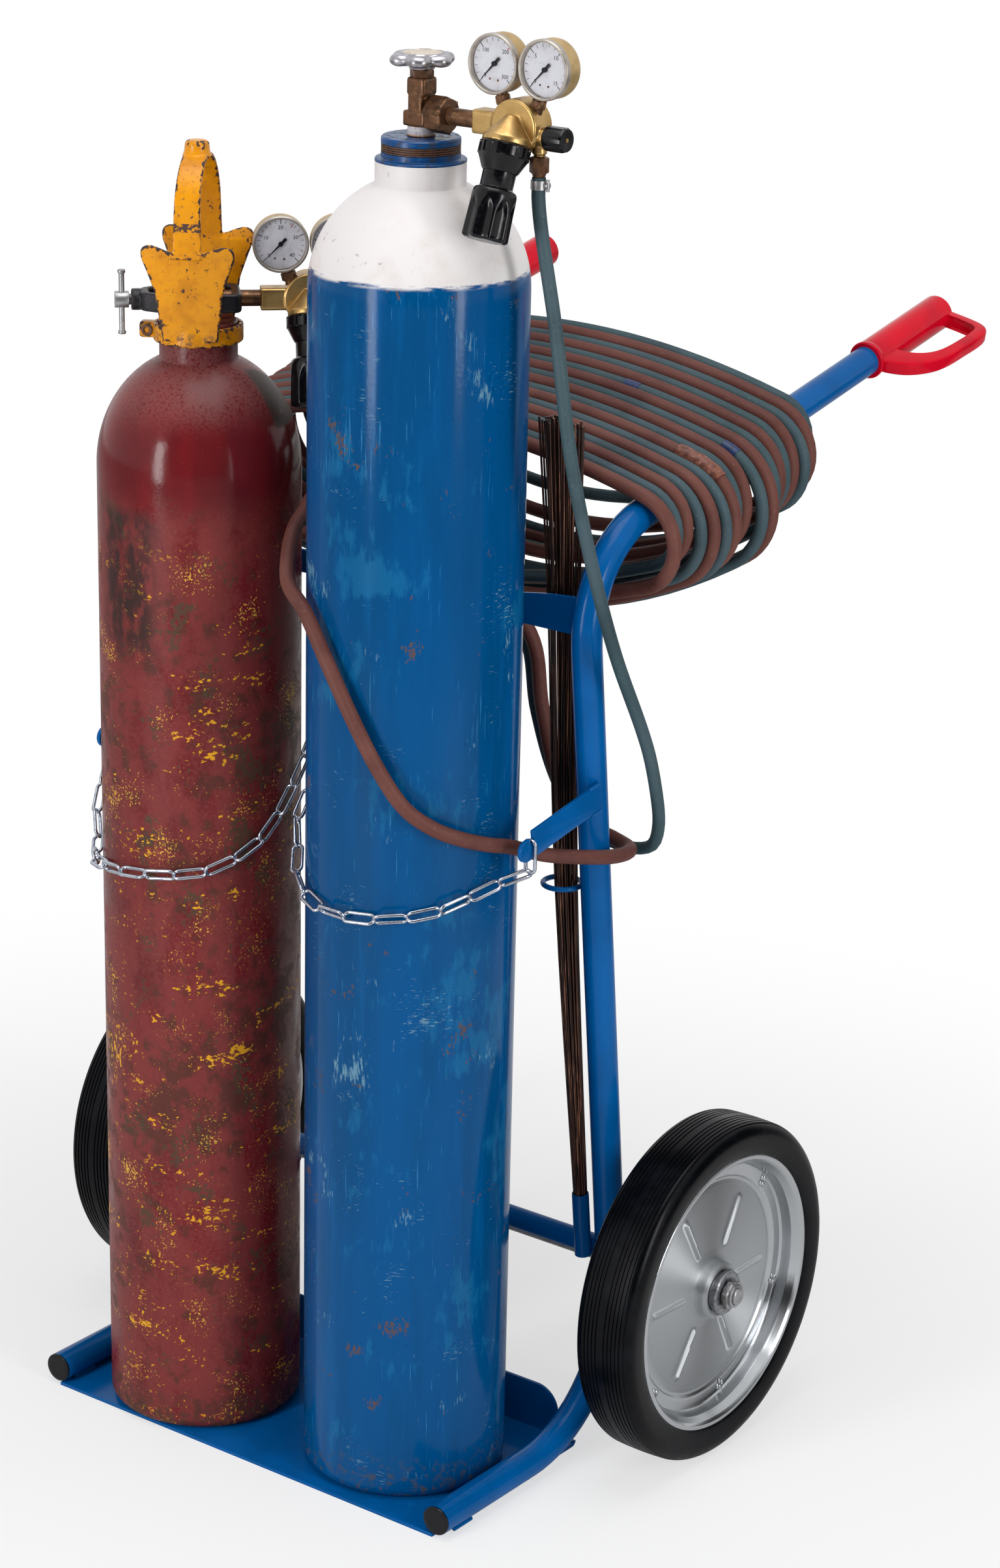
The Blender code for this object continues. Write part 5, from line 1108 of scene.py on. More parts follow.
# Ribbed rubber hoses, dusty from the floor
RED_HOSE_RUBBER = Finish("red_hose_rubber", "#5F3731", 0.55, specular=0.2, coats=(
    Coat("#6E443C", 160, 0.5, 0.16), Coat("#4F2B28", 90, 0.58, 0.12, amount=0.7, seed=2),
    Coat("#9A6A5E", 3, 0.66, 0.06, amount=0.4, roughness=0.7, seed=3),
))
GREEN_HOSE_RUBBER = Finish("green_hose_rubber", "#3A5055", 0.55, specular=0.2, coats=(
    Coat("#465860", 160, 0.5, 0.16), Coat("#2F4046", 90, 0.58, 0.12, amount=0.7, seed=2),
    Coat("#7C8A8A", 3, 0.66, 0.06, amount=0.4, roughness=0.7, seed=3),
))
# Tapes wound on the hoses
BLUE_TAPE = Finish("blue_tape", "#22355E", 0.35, specular=0.3, coats=(Coat("#1A2848", 8, 0.55, 0.1),))
BROWN_TAPE = Finish("brown_tape", "#7A4A3C", 0.45, specular=0.3, grain=6, grain_depth=0.4, coats=(
    Coat("#5A3228", 6, 0.54, 0.08), Coat("#A4705A", 4, 0.62, 0.06, seed=2),
))

def add_piece(name: str, shape: Solid | Mesh, finish: Finish, slot: str, *nodes: str, body: str = "",
              twin: Side | Gas | None = None, sharp: float = SHARP) -> Object:
    """Put a finished shape in the scene as a piece of the part.

    Args:
        name: the piece's name.
        shape: its shape, in the part's frame.
        finish: its finish.
        slot: the record's material slot; not used.
        nodes: the CAD nodes that it stands for.
        body: the body that it rides on, where that isn't the cart.
        twin: the side or gas whose name starts those of the piece, its nodes and its body.
        sharp: the angle in degrees from which a solid's edges stay sharp.

    Returns:
        The piece.
    """
    start = f"{twin.label}_" if twin else ""
    rider = start + body if body else "cart"
    mesh = shape.mesh(sharp) if isinstance(shape, Solid) else shape
    mesh.materials.clear()
    mesh.materials.append(finish.material())
    mesh.name = start + name
    piece = put(start + name, mesh)
    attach(piece, rider)
    if nodes:
        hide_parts(*(start + node for node in nodes))
    LOG.info("%s: %s faces on %s", piece.name, len(mesh.polygons), rider)
    return piece


# Studio

# Black cloth of the screens that shiny surfaces see
BLACK_CLOTH = Finish("black_cloth", "#0C0C0E", 1.0, specular=0.0)
# Matt pale paper of the floor
PALE_PAPER = Finish("pale_paper", "#F2F2F2", 0.9, specular=0.0)


@dataclass(frozen=True)
class SoftBox:
    """A soft lamp: its place from the cart's middle, its width and height, and its power."""

    name: str
    ahead: float
    right: float
    up: float
    size: Pair
    watts: float


@dataclass
class Studio:
    """The camera, the soft lamps, the pale floor and the white surroundings."""

    camera_place: Triple = (2.51639, -3.07232, 2.14746)
    azimuth: float = 38.504
    elevation: float = 20.792
    roll: float = 0.526
    lens: float = 88.09
    sensor: float = 36.0
    shift: Pair = (203.014 / IMAGE_HEIGHT, 181.21 / IMAGE_HEIGHT)
    target: Triple = (0.05, 0.2, 0.8)
    boxes: tuple[SoftBox, ...] = (
        SoftBox("left_soft_box", 2.2, -2.3, 0.55, (0.5, 1.7), 42),
        SoftBox("right_soft_box", 2.4, 1.9, 0.65, (0.45, 1.7), 35),
        SoftBox("top_soft_box", 0.4, 0.0, 2.6, (1.6, 1.6), 30))
    fill: float = 0.42
    screen_away: float = 6.5
    screen_size: Pair = (9.0, 6.0)
    card_place: Triple = (1.45, 1.25, 0.45)
    card_facing: Triple = (0.7, 0.7, 0.0)
    card_size: Pair = (1.6, 1.3)
    floor_half: float = 12.0
    floor_fade: Pair = (0.6, 1.8)
    floor_white: float = 0.6

    def directions(self) -> tuple[Vector, Vector, Vector]:
        """Find the camera's directions.

        Returns:
            Its level right, its up and the way back to it from the cart.
        """
        turn, rise = radians(self.azimuth), radians(self.elevation)
        back = Vector((sin(turn) * cos(rise), -cos(turn) * cos(rise), sin(rise)))
        right = Vector((cos(turn), sin(turn), 0))
        return right, back.cross(right), back

    def camera(self) -> None:
        """Add the camera at the photograph's viewpoint."""
        right, up, back = self.directions()
        roll = radians(self.roll)
        across = right * cos(roll) + up * sin(roll)
        above = up * cos(roll) - right * sin(roll)
        data = bpy.data.cameras.new("camera")
        data.sensor_fit = "VERTICAL"
        data.sensor_height = self.sensor
        data.lens = self.lens
        data.shift_x, data.shift_y = self.shift
        camera = put("camera", data)
        turn = Matrix((across, above, back)).transposed()
        camera.matrix_world = Matrix.Translation(self.camera_place) @ turn.to_4x4()
        bpy.context.scene.camera = camera

    def lamps(self) -> None:
        """Add the soft boxes, which all face the cart."""
        right, _, back = self.directions()
        ahead = Vector((back.x, back.y, 0)).normalized()
        middle = Vector(self.target)
        for box in self.boxes:
            place = middle + ahead * box.ahead + right * box.right + UP * box.up
            data = bpy.data.lights.new(box.name, "AREA")
            data.shape = "RECTANGLE"
            data.size, data.size_y = box.size
            data.energy = box.watts
            put(box.name, data).matrix_world = along_axis(place, place - middle)

    def sheet(self, name: str, middle: Vector, right: Vector, up: Vector, finish: Finish) -> Object:
        """Add a flat sheet to the stage.

        Args:
            name: the sheet's name.
            middle: its middle.
            right: half of its width.
            up: half of its height.
            finish: its finish.

        Returns:
            The sheet.
        """
        mesh = bpy.data.meshes.new(name)
        mesh.from_pydata([middle + right * x + up * y for x, y in SQUARE], [], [(0, 1, 2, 3)])
        mesh.materials.append(finish.material())
        sheet = put(name, mesh)
        sheet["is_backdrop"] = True
        return sheet

    def dark_screen(self, name: str, place: Vector, facing: Vector, size: Pair) -> None:
        """Add a black screen, which only shiny surfaces see.

        Args:
            name: the screen's name.
            place: its middle.
            facing: the way it faces.
            size: its width and height.
        """
        right = facing.cross(UP).normalized()
        up = right.cross(facing).normalized()
        screen = self.sheet(name, place, right * size[0] / 2, up * size[1] / 2, BLACK_CLOTH)
        screen.visible_camera = False
        screen.visible_diffuse = False
        screen.visible_shadow = False

    def surroundings(self) -> None:
        """Make what the camera and shiny metal see white, with a plainer light on everything."""
        world = bpy.data.worlds.new("studio")
        world.use_nodes = True
        tree = world.node_tree
        tree.nodes.clear()
        rays = add_node(tree, "ShaderNodeLightPath").outputs
        seen = add_node(tree, "ShaderNodeMath", {0: rays["Is Camera Ray"], 1: rays["Is Glossy Ray"]},
                        operation="MAXIMUM")
        seen = add_node(tree, "ShaderNodeMath", {0: seen, 1: rays["Is Transmission Ray"]},
                        operation="MAXIMUM")
        white = linear("#FFFFFF")
        plain = add_node(tree, "ShaderNodeBackground", {"Color": white, "Strength": self.fill})
        bright = add_node(tree, "ShaderNodeBackground", {"Color": white, "Strength": 1.0})
        mix = add_node(tree, "ShaderNodeMixShader", {0: seen, 1: plain, 2: bright})
        add_node(tree, "ShaderNodeOutputWorld", {0: mix})
        bpy.context.scene.world = world

    def floor(self) -> None:
        """Add the pale floor, which fades into the white surroundings away from the cart."""
        self.sheet("floor", Vector(), X_AXIS * self.floor_half, Y_AXIS * self.floor_half, PALE_PAPER)
        tree = PALE_PAPER.material().node_tree
        place = add_node(tree, "ShaderNodeTexCoord").outputs["Object"]
        away = add_node(tree, "ShaderNodeVectorMath", {0: place}, operation="LENGTH")
        share = add_node(tree, "ShaderNodeMapRange", {
            "Value": away.outputs["Value"], "From Min": self.floor_fade[0], "From Max": self.floor_fade[1],
            "To Min": self.floor_white, "To Max": 1.0}, interpolation_type="SMOOTHSTEP")
        rays = add_node(tree, "ShaderNodeLightPath").outputs
        share = add_node(tree, "ShaderNodeMath", {0: share, 1: rays["Is Camera Ray"]}, operation="MULTIPLY")
        white = add_node(tree, "ShaderNodeEmission", {"Color": linear("#FFFFFF"), "Strength": 1.0})
        mix = add_node(tree, "ShaderNodeMixShader", {0: share, 1: tree.nodes["Principled BSDF"], 2: white})
        set_inputs(tree, tree.nodes["Material Output"], {"Surface": mix})

    def build(self) -> None:
        """Set up everything around the part."""
        self.camera()
        self.lamps()
        _, _, back = self.directions()
        self.dark_screen("black_screen", Vector(self.target) + back * self.screen_away, back,
                         self.screen_size)
        self.dark_screen("black_card", Vector(self.card_place), Vector(self.card_facing), self.card_size)
        self.surroundings()
        self.floor()
        bpy.context.scene.view_settings.view_transform = "Standard"


# Frame places that several pieces share

@dataclass(frozen=True)
class FrameLines:
    """The axes of the bent frame tubes, with the sizes that the solids have."""

    half_width: float = 0.2817
    tube_radius: float = 0.01685
    plate_thickness: float = 0.004
    foot_length: float = 0.3433
    foot_bend: float = 0.155
    lean: float = radians(6.37)
    corner_height: float = 1.0694
    handle_bend: float = 0.12
    handle_rise: float = radians(11.52)
    handle_length: float = 0.693
    cap_thickness: float = 0.003

    def foot_height(self) -> float:
        """Return the height of the foot tubes' axes."""
        return self.plate_thickness + GAP + self.tube_radius

    def upright_depth(self, height: float) -> float:
        """Return how far back the uprights' axes are at a height."""
        return self.foot_length - (height - self.foot_height()) * tan(self.lean)

    def handle_height(self, depth: float) -> float:
        """Return the height of the handles' axes at a depth."""
        return self.corner_height + (depth - self.upright_depth(self.corner_height)) * tan(self.handle_rise)

    def handle_point(self, side: Side, distance: float) -> Vector:
        """Find a point on a handle's axis.

        Args:
            side: the handle's side.
            distance: the point's distance from the handle's lower corner.

        Returns:
            The point.
        """
        depth = self.upright_depth(self.corner_height) + distance * cos(self.handle_rise)
        height = self.corner_height + distance * sin(self.handle_rise)
        return at(side.value * self.half_width, depth, height)

    def route(self, side: Side, steps: int = 18) -> list[Vector]:
        """Find a frame tube's axis.

        Args:
            side: the tube's side of the cart.
            steps: the number of stretches in each bend.

        Returns:
            Its points: along the floor, up the upright and back as a handle.
        """
        x = side.value * self.half_width
        corners = [
            at(x, self.cap_thickness, self.foot_height()),
            at(x, self.foot_length, self.foot_height()),
            at(x, self.upright_depth(self.corner_height), self.corner_height),
            self.handle_point(side, self.handle_length),
        ]
        return filleted(corners, [self.foot_bend, self.handle_bend], steps)


LINES = FrameLines()


# Hoses

@dataclass
class HoseRun:
    """A ribbed hose from its regulator's nut, hanging free and then wound over both handles."""

    name: str
    gas: Gas
    radius: float
    winding_start: float
    sway_start: float
    route: tuple[Triple, ...]
    finish: Finish
    slot: str
    turns: int = 9
    pitch: float = 0.0318
    tail: float = 1 / 24
    lead: float = 0.02
    inset: float = 0.0077
    bends: tuple[Pair, ...] = ((0.3, 0.044), (0.42, 0.064), (0.5, 0.066), (0.61, 0.046))
    droops: tuple[Pair, ...] = ((0.3, 15.0), (0.42, 28.0), (0.5, 33.0), (0.61, 30.0))
    rise: float = radians(16)
    sway: float = 0.007
    sway_per_turn: float = 2.4
    lower_share: float = 0.09375
    bend_share: float = 0.3125
    points_per_turn: int = 24
    nut_lead: float = 0.022
    step: float = 0.0095
    ribs: int = 22
    rib_depth: float = 0.00045
    fitting_radius: float = 0.0075
    fitting_length: float = 0.045
    tapes: tuple[tuple[float, int, float], ...] = ()

    def winding_point(self, turn: float) -> Vector:
        """Find a point of the winding.

        Args:
            turn: the number of turns from its start, which is under the handles in the middle.

        Returns:
            The point: a turn rounds the left handle, arches over to the right one and hangs back.
        """
        depth = self.winding_start + turn * self.pitch
        sway = self.sway * sin(self.sway_per_turn * turn + self.sway_start)
        bend = between(self.bends, depth) + sway
        droop = radians(between(self.droops, depth))
        clear = (LINES.tube_radius + self.radius + GAP) / cos(LINES.handle_rise)
        facet = cos(pi / (2 * self.points_per_turn * self.bend_share))
        above = bend - sqrt((bend * facet - clear) ** 2 - self.inset ** 2)
        centre_x = LINES.half_width - self.inset
        centre_z = LINES.handle_height(depth) + above - bend
        hang_x = centre_x + bend * sin(droop)
        hang_z = centre_z - bend * cos(droop)
        arch_x = centre_x + bend * sin(self.rise)
        arch_z = centre_z + bend * cos(self.rise)
        top_share = 1 - 2 * self.lower_share - 2 * self.bend_share
        share = turn % 1
        if share < self.lower_share or share >= 1 - self.lower_share:
            part = (-share if share < 0.5 else 1 - share) / self.lower_share
            x, z = part * hang_x, hang_z - tan(droop) * hang_x / 2 * (1 - part * part)
        elif self.lower_share + self.bend_share <= share < self.lower_share + self.bend_share + top_share:
            part = 2 * (share - self.lower_share - self.bend_share) / top_share - 1
            x, z = part * arch_x, arch_z + tan(self.rise) * arch_x / 2 * (1 - part * part)
        else:
            side = -1 if share < 0.5 else 1
            part = (min(share, 1 - share) - self.lower_share) / self.bend_share
            angle = droop - pi / 2 + part * (pi - droop - self.rise)
            x, z = side * (centre_x + bend * cos(angle)), centre_z + bend * sin(angle)
        return at(x, depth, z)

    def exit(self) -> Vector:
        """Return where the hose leaves its nut."""
        low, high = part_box(f"{self.gas.value}_hose_nut")
        return Vector(((low.x + high.x) / 2, (low.y + high.y) / 2, low.z - GAP))

    def path(self) -> list[Vector]:
        """Find the hose's axis from end to end.

        Returns:
            Points from the nut through the free stretch and all the turns.
        """
        nut = self.exit()
        dense = 5 * self.points_per_turn
        steps = round((self.turns + self.tail) * dense)
        winding = [self.winding_point(index / dense) for index in range(steps + 1)]
        hanging = [at(*point) for point in self.route]
        free = [nut, nut - UP * self.nut_lead, *hanging, self.winding_point(-self.lead), winding[0]]
        return spaced(smooth_curve(free, 12)[:-1] + winding, self.step)

    def hose_tree(self) -> GrowingTree:
        """Make the tree that sweeps a ribbed round along a route.

        Returns:
            The tree.
        """
        grower = GrowingTree(f"{self.name}_ribs", ("Radius", "Ribs", "Rib depth"))
        sizes = grower.entry.outputs
        doubled = grower.add("ShaderNodeMath", {0: sizes["Ribs"], 1: 2.0}, operation="MULTIPLY")
        circle = grower.add("GeometryNodeCurvePrimitiveCircle",
                            {"Resolution": doubled, "Radius": sizes["Radius"]})
        number = grower.add("GeometryNodeInputIndex")
        odd = grower.add("ShaderNodeMath", {0: number, 1: 2.0}, operation="MODULO")
        sunk = grower.add("ShaderNodeMath", {0: odd, 1: sizes["Rib depth"]}, operation="MULTIPLY")
        inward = grower.add("ShaderNodeMath", {0: sunk, 1: -1.0}, operation="MULTIPLY")
        place = grower.add("GeometryNodeInputPosition")
        outward = grower.add("ShaderNodeVectorMath", {0: place}, operation="NORMALIZE")
        offset = grower.add("ShaderNodeVectorMath", {0: outward, "Scale": inward},
                            operation="SCALE")
        ribbed = grower.add("GeometryNodeSetPosition", {"Geometry": circle, "Offset": offset})
        route = grower.add("GeometryNodeMeshToCurve", {0: sizes["Base"]})
        swept = grower.add("GeometryNodeCurveToMesh", {
            "Curve": route, "Profile Curve": ribbed, "Fill Caps": True})
        grower.close(swept)
        return grower

    def fitting(self, path: list[Vector]) -> Object:
        """Build the brass fitting on the hose's far end.

        Args:
            path: the hose's axis.

        Returns:
            The fitting.
        """
        dense = self.points_per_turn
        onward = (self.winding_point(self.turns + self.tail)
                  - self.winding_point(self.turns + self.tail - 1 / dense)).normalized()
        start = path[-1] + onward * GAP
        frame = along_axis(start, onward)
        length, radius = self.fitting_length, self.fitting_radius
        steps = [(0.0, 1.0), (0.24, 1.0), (0.26, 0.8), (0.42, 0.8), (0.44, 0.98), (0.72, 0.98),
                 (0.74, 0.7), (0.96, 0.62), (1.0, 0.5)]
        profile = [(0, 0)] + [(radius * wide, length * share) for share, wide in steps] + [(0, length)]
        solid = Solid().turn(rounded(profile, 0.0005, steps=2), frame, 32)
        solid.nut(radius * 2, start + onward * length * 0.46, start + onward * length * 0.7)
        return add_piece(f"{self.name}_end_fitting", solid, BRASS, "brass", f"{self.name}_fitting")

    def wrap(self, path: list[Vector]) -> list[Object]:
        """Build the tapes wound on the hose.

        Args:
            path: the hose's axis.

        Returns:
            The tapes.
        """
        made = []
        for number, (turn, half, thick) in enumerate(self.tapes):
            point = self.winding_point(turn)
            middle = min(range(len(path)), key=lambda index: (path[index] - point).length)
            lap = path[middle - half:middle + half + 1]
            radii = [self.radius + thick * (1.0 if index % 2 else 0.7) for index in range(len(lap))]
            finish = BLUE_TAPE if thick < 0.001 else BROWN_TAPE
            tape = Solid().tube(lap, radii, 40)
            made.append(add_piece(f"{self.name}_tape_{number}", tape, finish, self.slot))
        return made

    def build(self) -> None:
        path = self.path()
        sizes = {"Radius": self.radius, "Ribs": self.ribs, "Rib depth": self.rib_depth}
        mesh = self.hose_tree().grow(edge_mesh([path]), sizes, self.finish.material())
        hose = add_piece(self.name, mesh, self.finish, self.slot, f"{self.name}_free",
                         f"{self.name}_coil")
        fitting = self.fitting(path)
        length = round(route_length(path), 3)
        LOG.info("%s is %.3f m long", self.name, length)
        tuple(path[0])
        [tuple(point) for point in path]
        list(self.wrap(path))


RED_HOSE = HoseRun("red_hose", Gas.ACETYLENE, 0.008, 0.302, 0.0, (
    (-0.031, 0.205, 1.19), (-0.02, 0.19, 1.14), (-0.008, 0.125, 1.09), (0.004, 0.09, 1.076),
    (0.021, 0.06, 1.058), (0.046, 0.03, 1.036), (0.085, 0.01, 1.018), (0.12, 0.0005, 0.977),
    (0.155, 0.0005, 0.921), (0.184, 0.008, 0.869), (0.209, 0.021, 0.828), (0.231, 0.039, 0.806),
    (0.248, 0.062, 0.792), (0.2625, 0.098, 0.778), (0.267, 0.13, 0.768), (0.285, 0.17, 0.752),
    (0.303, 0.215, 0.741), (0.3115, 0.262, 0.731), (0.305, 0.298, 0.727), (0.275, 0.313, 0.728),
    (0.235, 0.318, 0.735), (0.19, 0.325, 0.77), (0.16, 0.33, 0.85), (0.148, 0.324, 0.93),
    (0.108, 0.305, 0.982),
), RED_HOSE_RUBBER, "red_rubber", tapes=((3.6, 3, 0.0022),))
GREEN_HOSE = HoseRun("green_hose", Gas.OXYGEN, 0.007, 0.302 + 0.0318 / 2, 2.0, (
    (0.291, 0.1265, 1.42), (0.31, 0.127, 1.33), (0.331, 0.13, 1.2), (0.34, 0.155, 1.095),
    (0.338, 0.208, 0.979), (0.33, 0.287, 0.852), (0.329, 0.311, 0.787), (0.321, 0.327, 0.746),
    (0.305, 0.336, 0.72), (0.265, 0.34, 0.711), (0.22, 0.342, 0.722), (0.175, 0.344, 0.76),
    (0.141, 0.345, 0.84), (0.13, 0.338, 0.92), (0.104, 0.3165, 0.968),
), GREEN_HOSE_RUBBER, "green_rubber", tapes=((5.55, 1, 0.0006), (4.62, 1, 0.0006)))


# Frame

@dataclass
class CartFrame:
    """The blue welded frame: tubes, base plate, cross members, chain arms and axle brackets."""

    plate_inset: float = 0.004
    flange_inset: float = 0.0257
    flange_height: float = 0.062
    flange_root: float = 0.006
    flange_corner: float = 0.03
    flange_bend: float = 0.007
    crossbar_radius: float = 0.0125
    crossbar_height: float = 0.2315
    cross_bottom: float = 0.974
    cross_thickness: float = 0.005
    cross_depth: float = 0.1265 + 0.1143 + GAP + 0.0025
    cross_end: float = 0.0415
    cross_middle: float = 0.026
    cross_flat: float = 0.24

    hole_radius: float = 0.0045
    hole_rise: float = 0.0095
    hole_xs: Pair = (-0.014, 0.01)
    arm_thickness: float = 0.005
    arm_offset: float = 0.0153
    arm_top: float = 0.815
    arm_width: float = 0.03
    arm_droop: float = radians(10.2)
    arm_length: float = 0.1465
    arm_behind: float = 0.0083
    notch_width: float = 0.0065
    notch_from_tip: float = 0.0185
    notch_depth: float = 0.0125
    horn_drop: float = 0.006
    bracket_thickness: float = 0.006
    bracket_eye: float = 0.022
    bracket_bottom: float = 0.19
    bracket_top: float = 0.26
    wheel_radius: float = 0.2
    axle_behind: float = 0.0427
    ring_radius: float = 0.021
    ring_bar: float = 0.003
    ring_height: float = 0.683
    ring_ahead: float = 0.0064
    cap_stem: float = 0.018
    tube_wall: float = 0.0026
    weld_rise: float = 0.0012
    foot_welds: tuple[Triple, ...] = ((-0.0095, 0.02, 0.055), (-0.0095, 0.115, 0.15),
                                      (-0.0095, 0.18, 0.21), (0.0095, 0.02, 0.055))

    def dress(self, name: str, solid: Solid | Mesh, *nodes: str, twin: Side | None = None) -> None:
        """Add a blue piece of the frame, as add_piece does."""
        add_piece(name, solid, BLUE_POWDER_COAT, "blue_paint", *nodes, twin=twin)

    def tubes(self) -> None:
        """Build each bent tube with its welds to the plate, and the black cap in its foot."""
        for side in Side:
            route = LINES.route(side)
            radius = LINES.tube_radius
            solid = Solid().tube(spaced(route, 0.012), radius, 40)
            foot = LINES.plate_thickness + self.weld_rise
            for beside, start, end in self.foot_welds:
                x = side.value * (LINES.half_width + beside)
                solid.weld([at(x, start, foot), at(x, end, foot)])
            self.dress("bent_tube", solid, "frame_tube", twin=side)
            front = at(side.value * LINES.half_width, 0, LINES.foot_height())
            stem = radius - self.tube_wall
            face = LINES.cap_thickness
            profile = [(0, 0.0002), (radius * 0.72, 0), (radius, 0.0004), (radius, face - GAP),
                       (stem, face - GAP), (stem, face + self.cap_stem), (0, face + self.cap_stem)]
            cap = Solid().turn(rounded(profile, 0.0014), along_axis(front, Y_AXIS), 48)
            add_piece("foot_plug", cap, BLACK_PLASTIC, "black_plastic", "foot_cap", twin=side)

    def base(self) -> None:
        """Build the base plate with its bent-up, round-cornered rear flange."""
        half = LINES.half_width - self.plate_inset
        back, thick = PLATE_DEPTH, LINES.plate_thickness
        inner = back - thick
        bend = self.flange_bend
        section = [(0, 0), (back - bend, 0), *arc((back - bend, bend), bend, -90, 0, 8)[1:],
                   (back, self.flange_height), (inner, self.flange_height),
                   *arc((back - bend, bend), bend - thick, 0, -90, 6), (0, thick)]
        frame = axes(at(0, 0, 0), Y_AXIS, UP)
        sheet = Solid().plate([section], 2 * half, frame, 0.0003)
        flange = half - self.flange_inset
        corner = self.flange_corner
        top = self.flange_height + 0.02
        outline = [(flange, self.flange_root),
                   *arc((flange - corner, self.flange_height - corner), corner, 0, 90, 12),
                   (flange - corner, top), (half + 0.02, top), (half + 0.02, self.flange_root)]
        cutters = Solid()
        across = axes(at(0, back, 0), X_AXIS, UP)
        for side in Side:
            cutters.plate([[(side.value * x, z) for x, z in outline]], 0.03, across, 0.0001)
        cut = without(sheet, cutters, 0.0006)
        self.dress("bent_base_plate", cut, "base_plate")

    def crossbar(self) -> None:
        """Build the low crossbar with a weld round each end."""
        depth = LINES.upright_depth(self.crossbar_height)
        ends = [at(side.value * (LINES.half_width - LINES.tube_radius * 0.6), depth, self.crossbar_height)
                for side in Side]
        solid = Solid().bar(ends[0], ends[1], self.crossbar_radius, 0.0005, 40)
        for side in Side:
            ring = []
            for step in range(49):
                angle = 2 * pi * step / 48
                y = self.crossbar_radius * cos(angle)
                x = LINES.half_width - sqrt(LINES.tube_radius ** 2 - y * y)
                z = self.crossbar_height + self.crossbar_radius * sin(angle)
                ring.append(at(side.value * x, depth + y, z))
            solid.weld(ring)
        self.dress("welded_crossbar", solid, "lower_crossbar")

    def cross_plate(self) -> None:
        """Build the upper cross plate, lower in its middle, with its chain holes and welds."""
        end = LINES.half_width - LINES.tube_radius * 0.75
        flat = self.cross_flat / 2
        right = []
        for step in range(13):
            share = step / 12
            rise = share - sin(2 * pi * share) / (2 * pi) * 0.55
            right.append((flat + (end - flat) * share,
                          self.cross_middle + (self.cross_end - self.cross_middle) * rise))
        top = right[::-1] + [(-x, z) for x, z in right]
        outline = [(-end, 0), (end, 0), *top]
        holes = [arc((x, self.hole_rise), self.hole_radius, 0, 345, 23) for x in self.hole_xs]
        frame = axes(at(0, self.cross_depth, self.cross_bottom), X_AXIS, UP)
        solid = Solid().plate([outline, *holes], self.cross_thickness, frame, 0.0008)
        for side in Side:
            for face in (-1, 1):
                line = []
                for rise in (0.002, self.cross_end / 2, self.cross_end - 0.002):
                    height = self.cross_bottom + rise
                    depth = self.cross_depth + face * self.cross_thickness / 2
                    ahead = depth - LINES.upright_depth(height)
                    reach = sqrt(max(LINES.tube_radius ** 2 - ahead ** 2, 0))
                    line.append(at(side.value * (LINES.half_width - reach), depth, height))
                solid.weld(line)
        self.dress("welded_cross_plate", solid, "upper_cross_plate")

    def arm_frame(self, side: Side) -> Matrix:
        """Find a chain arm's frame.

        Args:
            side: the arm's side.

        Returns:
            The frame: x forward along the arm's top edge from the upright, y up.
        """
        forward = Vector((0, -cos(self.arm_droop), -sin(self.arm_droop)))
        up = Vector((0, -sin(self.arm_droop), cos(self.arm_droop)))
        back = LINES.upright_depth(self.arm_top) - self.arm_behind
        return axes(at(side.value * (LINES.half_width + self.arm_offset), back, self.arm_top), forward, up)

    def notch_point(self, side: Side) -> Vector:
        """Return the middle of the bottom of a chain arm's notch."""
        ahead = self.arm_length - self.notch_from_tip - self.notch_width / 2
        return self.arm_frame(side) @ Vector((ahead, -self.notch_depth, 0))

    def chain_arms(self) -> None:
        """Build the flat arms, each with a round tip, a notch for a link and welds to its upright."""
        tip, width = self.arm_length, self.arm_width
        horn = tip - self.notch_from_tip
        bay = horn - self.notch_width
        radius = (width - self.horn_drop) / 2
        corners = [(0, 0), (bay, 0), (bay, -self.notch_depth), (horn, -self.notch_depth),
                   (horn, -self.horn_drop)]
        nose = arc((tip - radius, -width + radius), radius, 80, -90, 14)
        outline = rounded(corners + nose[:1], 0.0012)[:-1] + nose + [(0, -width)]
        for side in Side:
            frame = self.arm_frame(side)
            solid = Solid().plate([outline], self.arm_thickness, frame, 0.0008)
            inside = -side.value * (self.arm_thickness / 2 - 0.0005)
            for y in (0.0008, -width - 0.0008):
                solid.weld([frame @ Vector((0.001, y, inside)), frame @ Vector((0.02, y, inside))], 0.0022)
            self.dress("notched_arm", solid, "chain_arm", twin=side)

    def axle_brackets(self) -> None:
        """Build the plates that carry the axle behind the uprights."""
        eye = (LINES.upright_depth(self.wheel_radius) + self.axle_behind, self.wheel_radius)
        front = LINES.upright_depth(self.bracket_top) + LINES.tube_radius * 0.8
        outline = [(front, self.bracket_bottom - 0.006), *arc(eye, self.bracket_eye, -75, 60, 16),
                   (front, self.bracket_top)]
        for side in Side:
            frame = axes(at(side.value * LINES.half_width, 0, 0), Y_AXIS, UP)
            solid = Solid().plate([outline], self.bracket_thickness, frame, 0.0008)
            for face in (-1, 1):
                line = []
                for height in (self.bracket_bottom + 0.002, 0.225, self.bracket_top - 0.004):
                    edge = LINES.upright_depth(height) + LINES.tube_radius * 0.985
                    line.append(at(side.value * LINES.half_width + face * 0.0035, edge, height))
                solid.weld(line, 0.0024)
            self.dress("bracket_plate", solid, "axle_bracket", twin=side)

    def ring_centre(self) -> Vector:
        """Find the middle of the rod ring.

        Returns:
            The point, from which the ring touches the right upright.
        """
        reach = LINES.tube_radius + GAP + self.ring_bar + self.ring_radius
        x = LINES.half_width - sqrt(reach ** 2 - self.ring_ahead ** 2)
        return at(x, LINES.upright_depth(self.ring_height) - self.ring_ahead, self.ring_height)

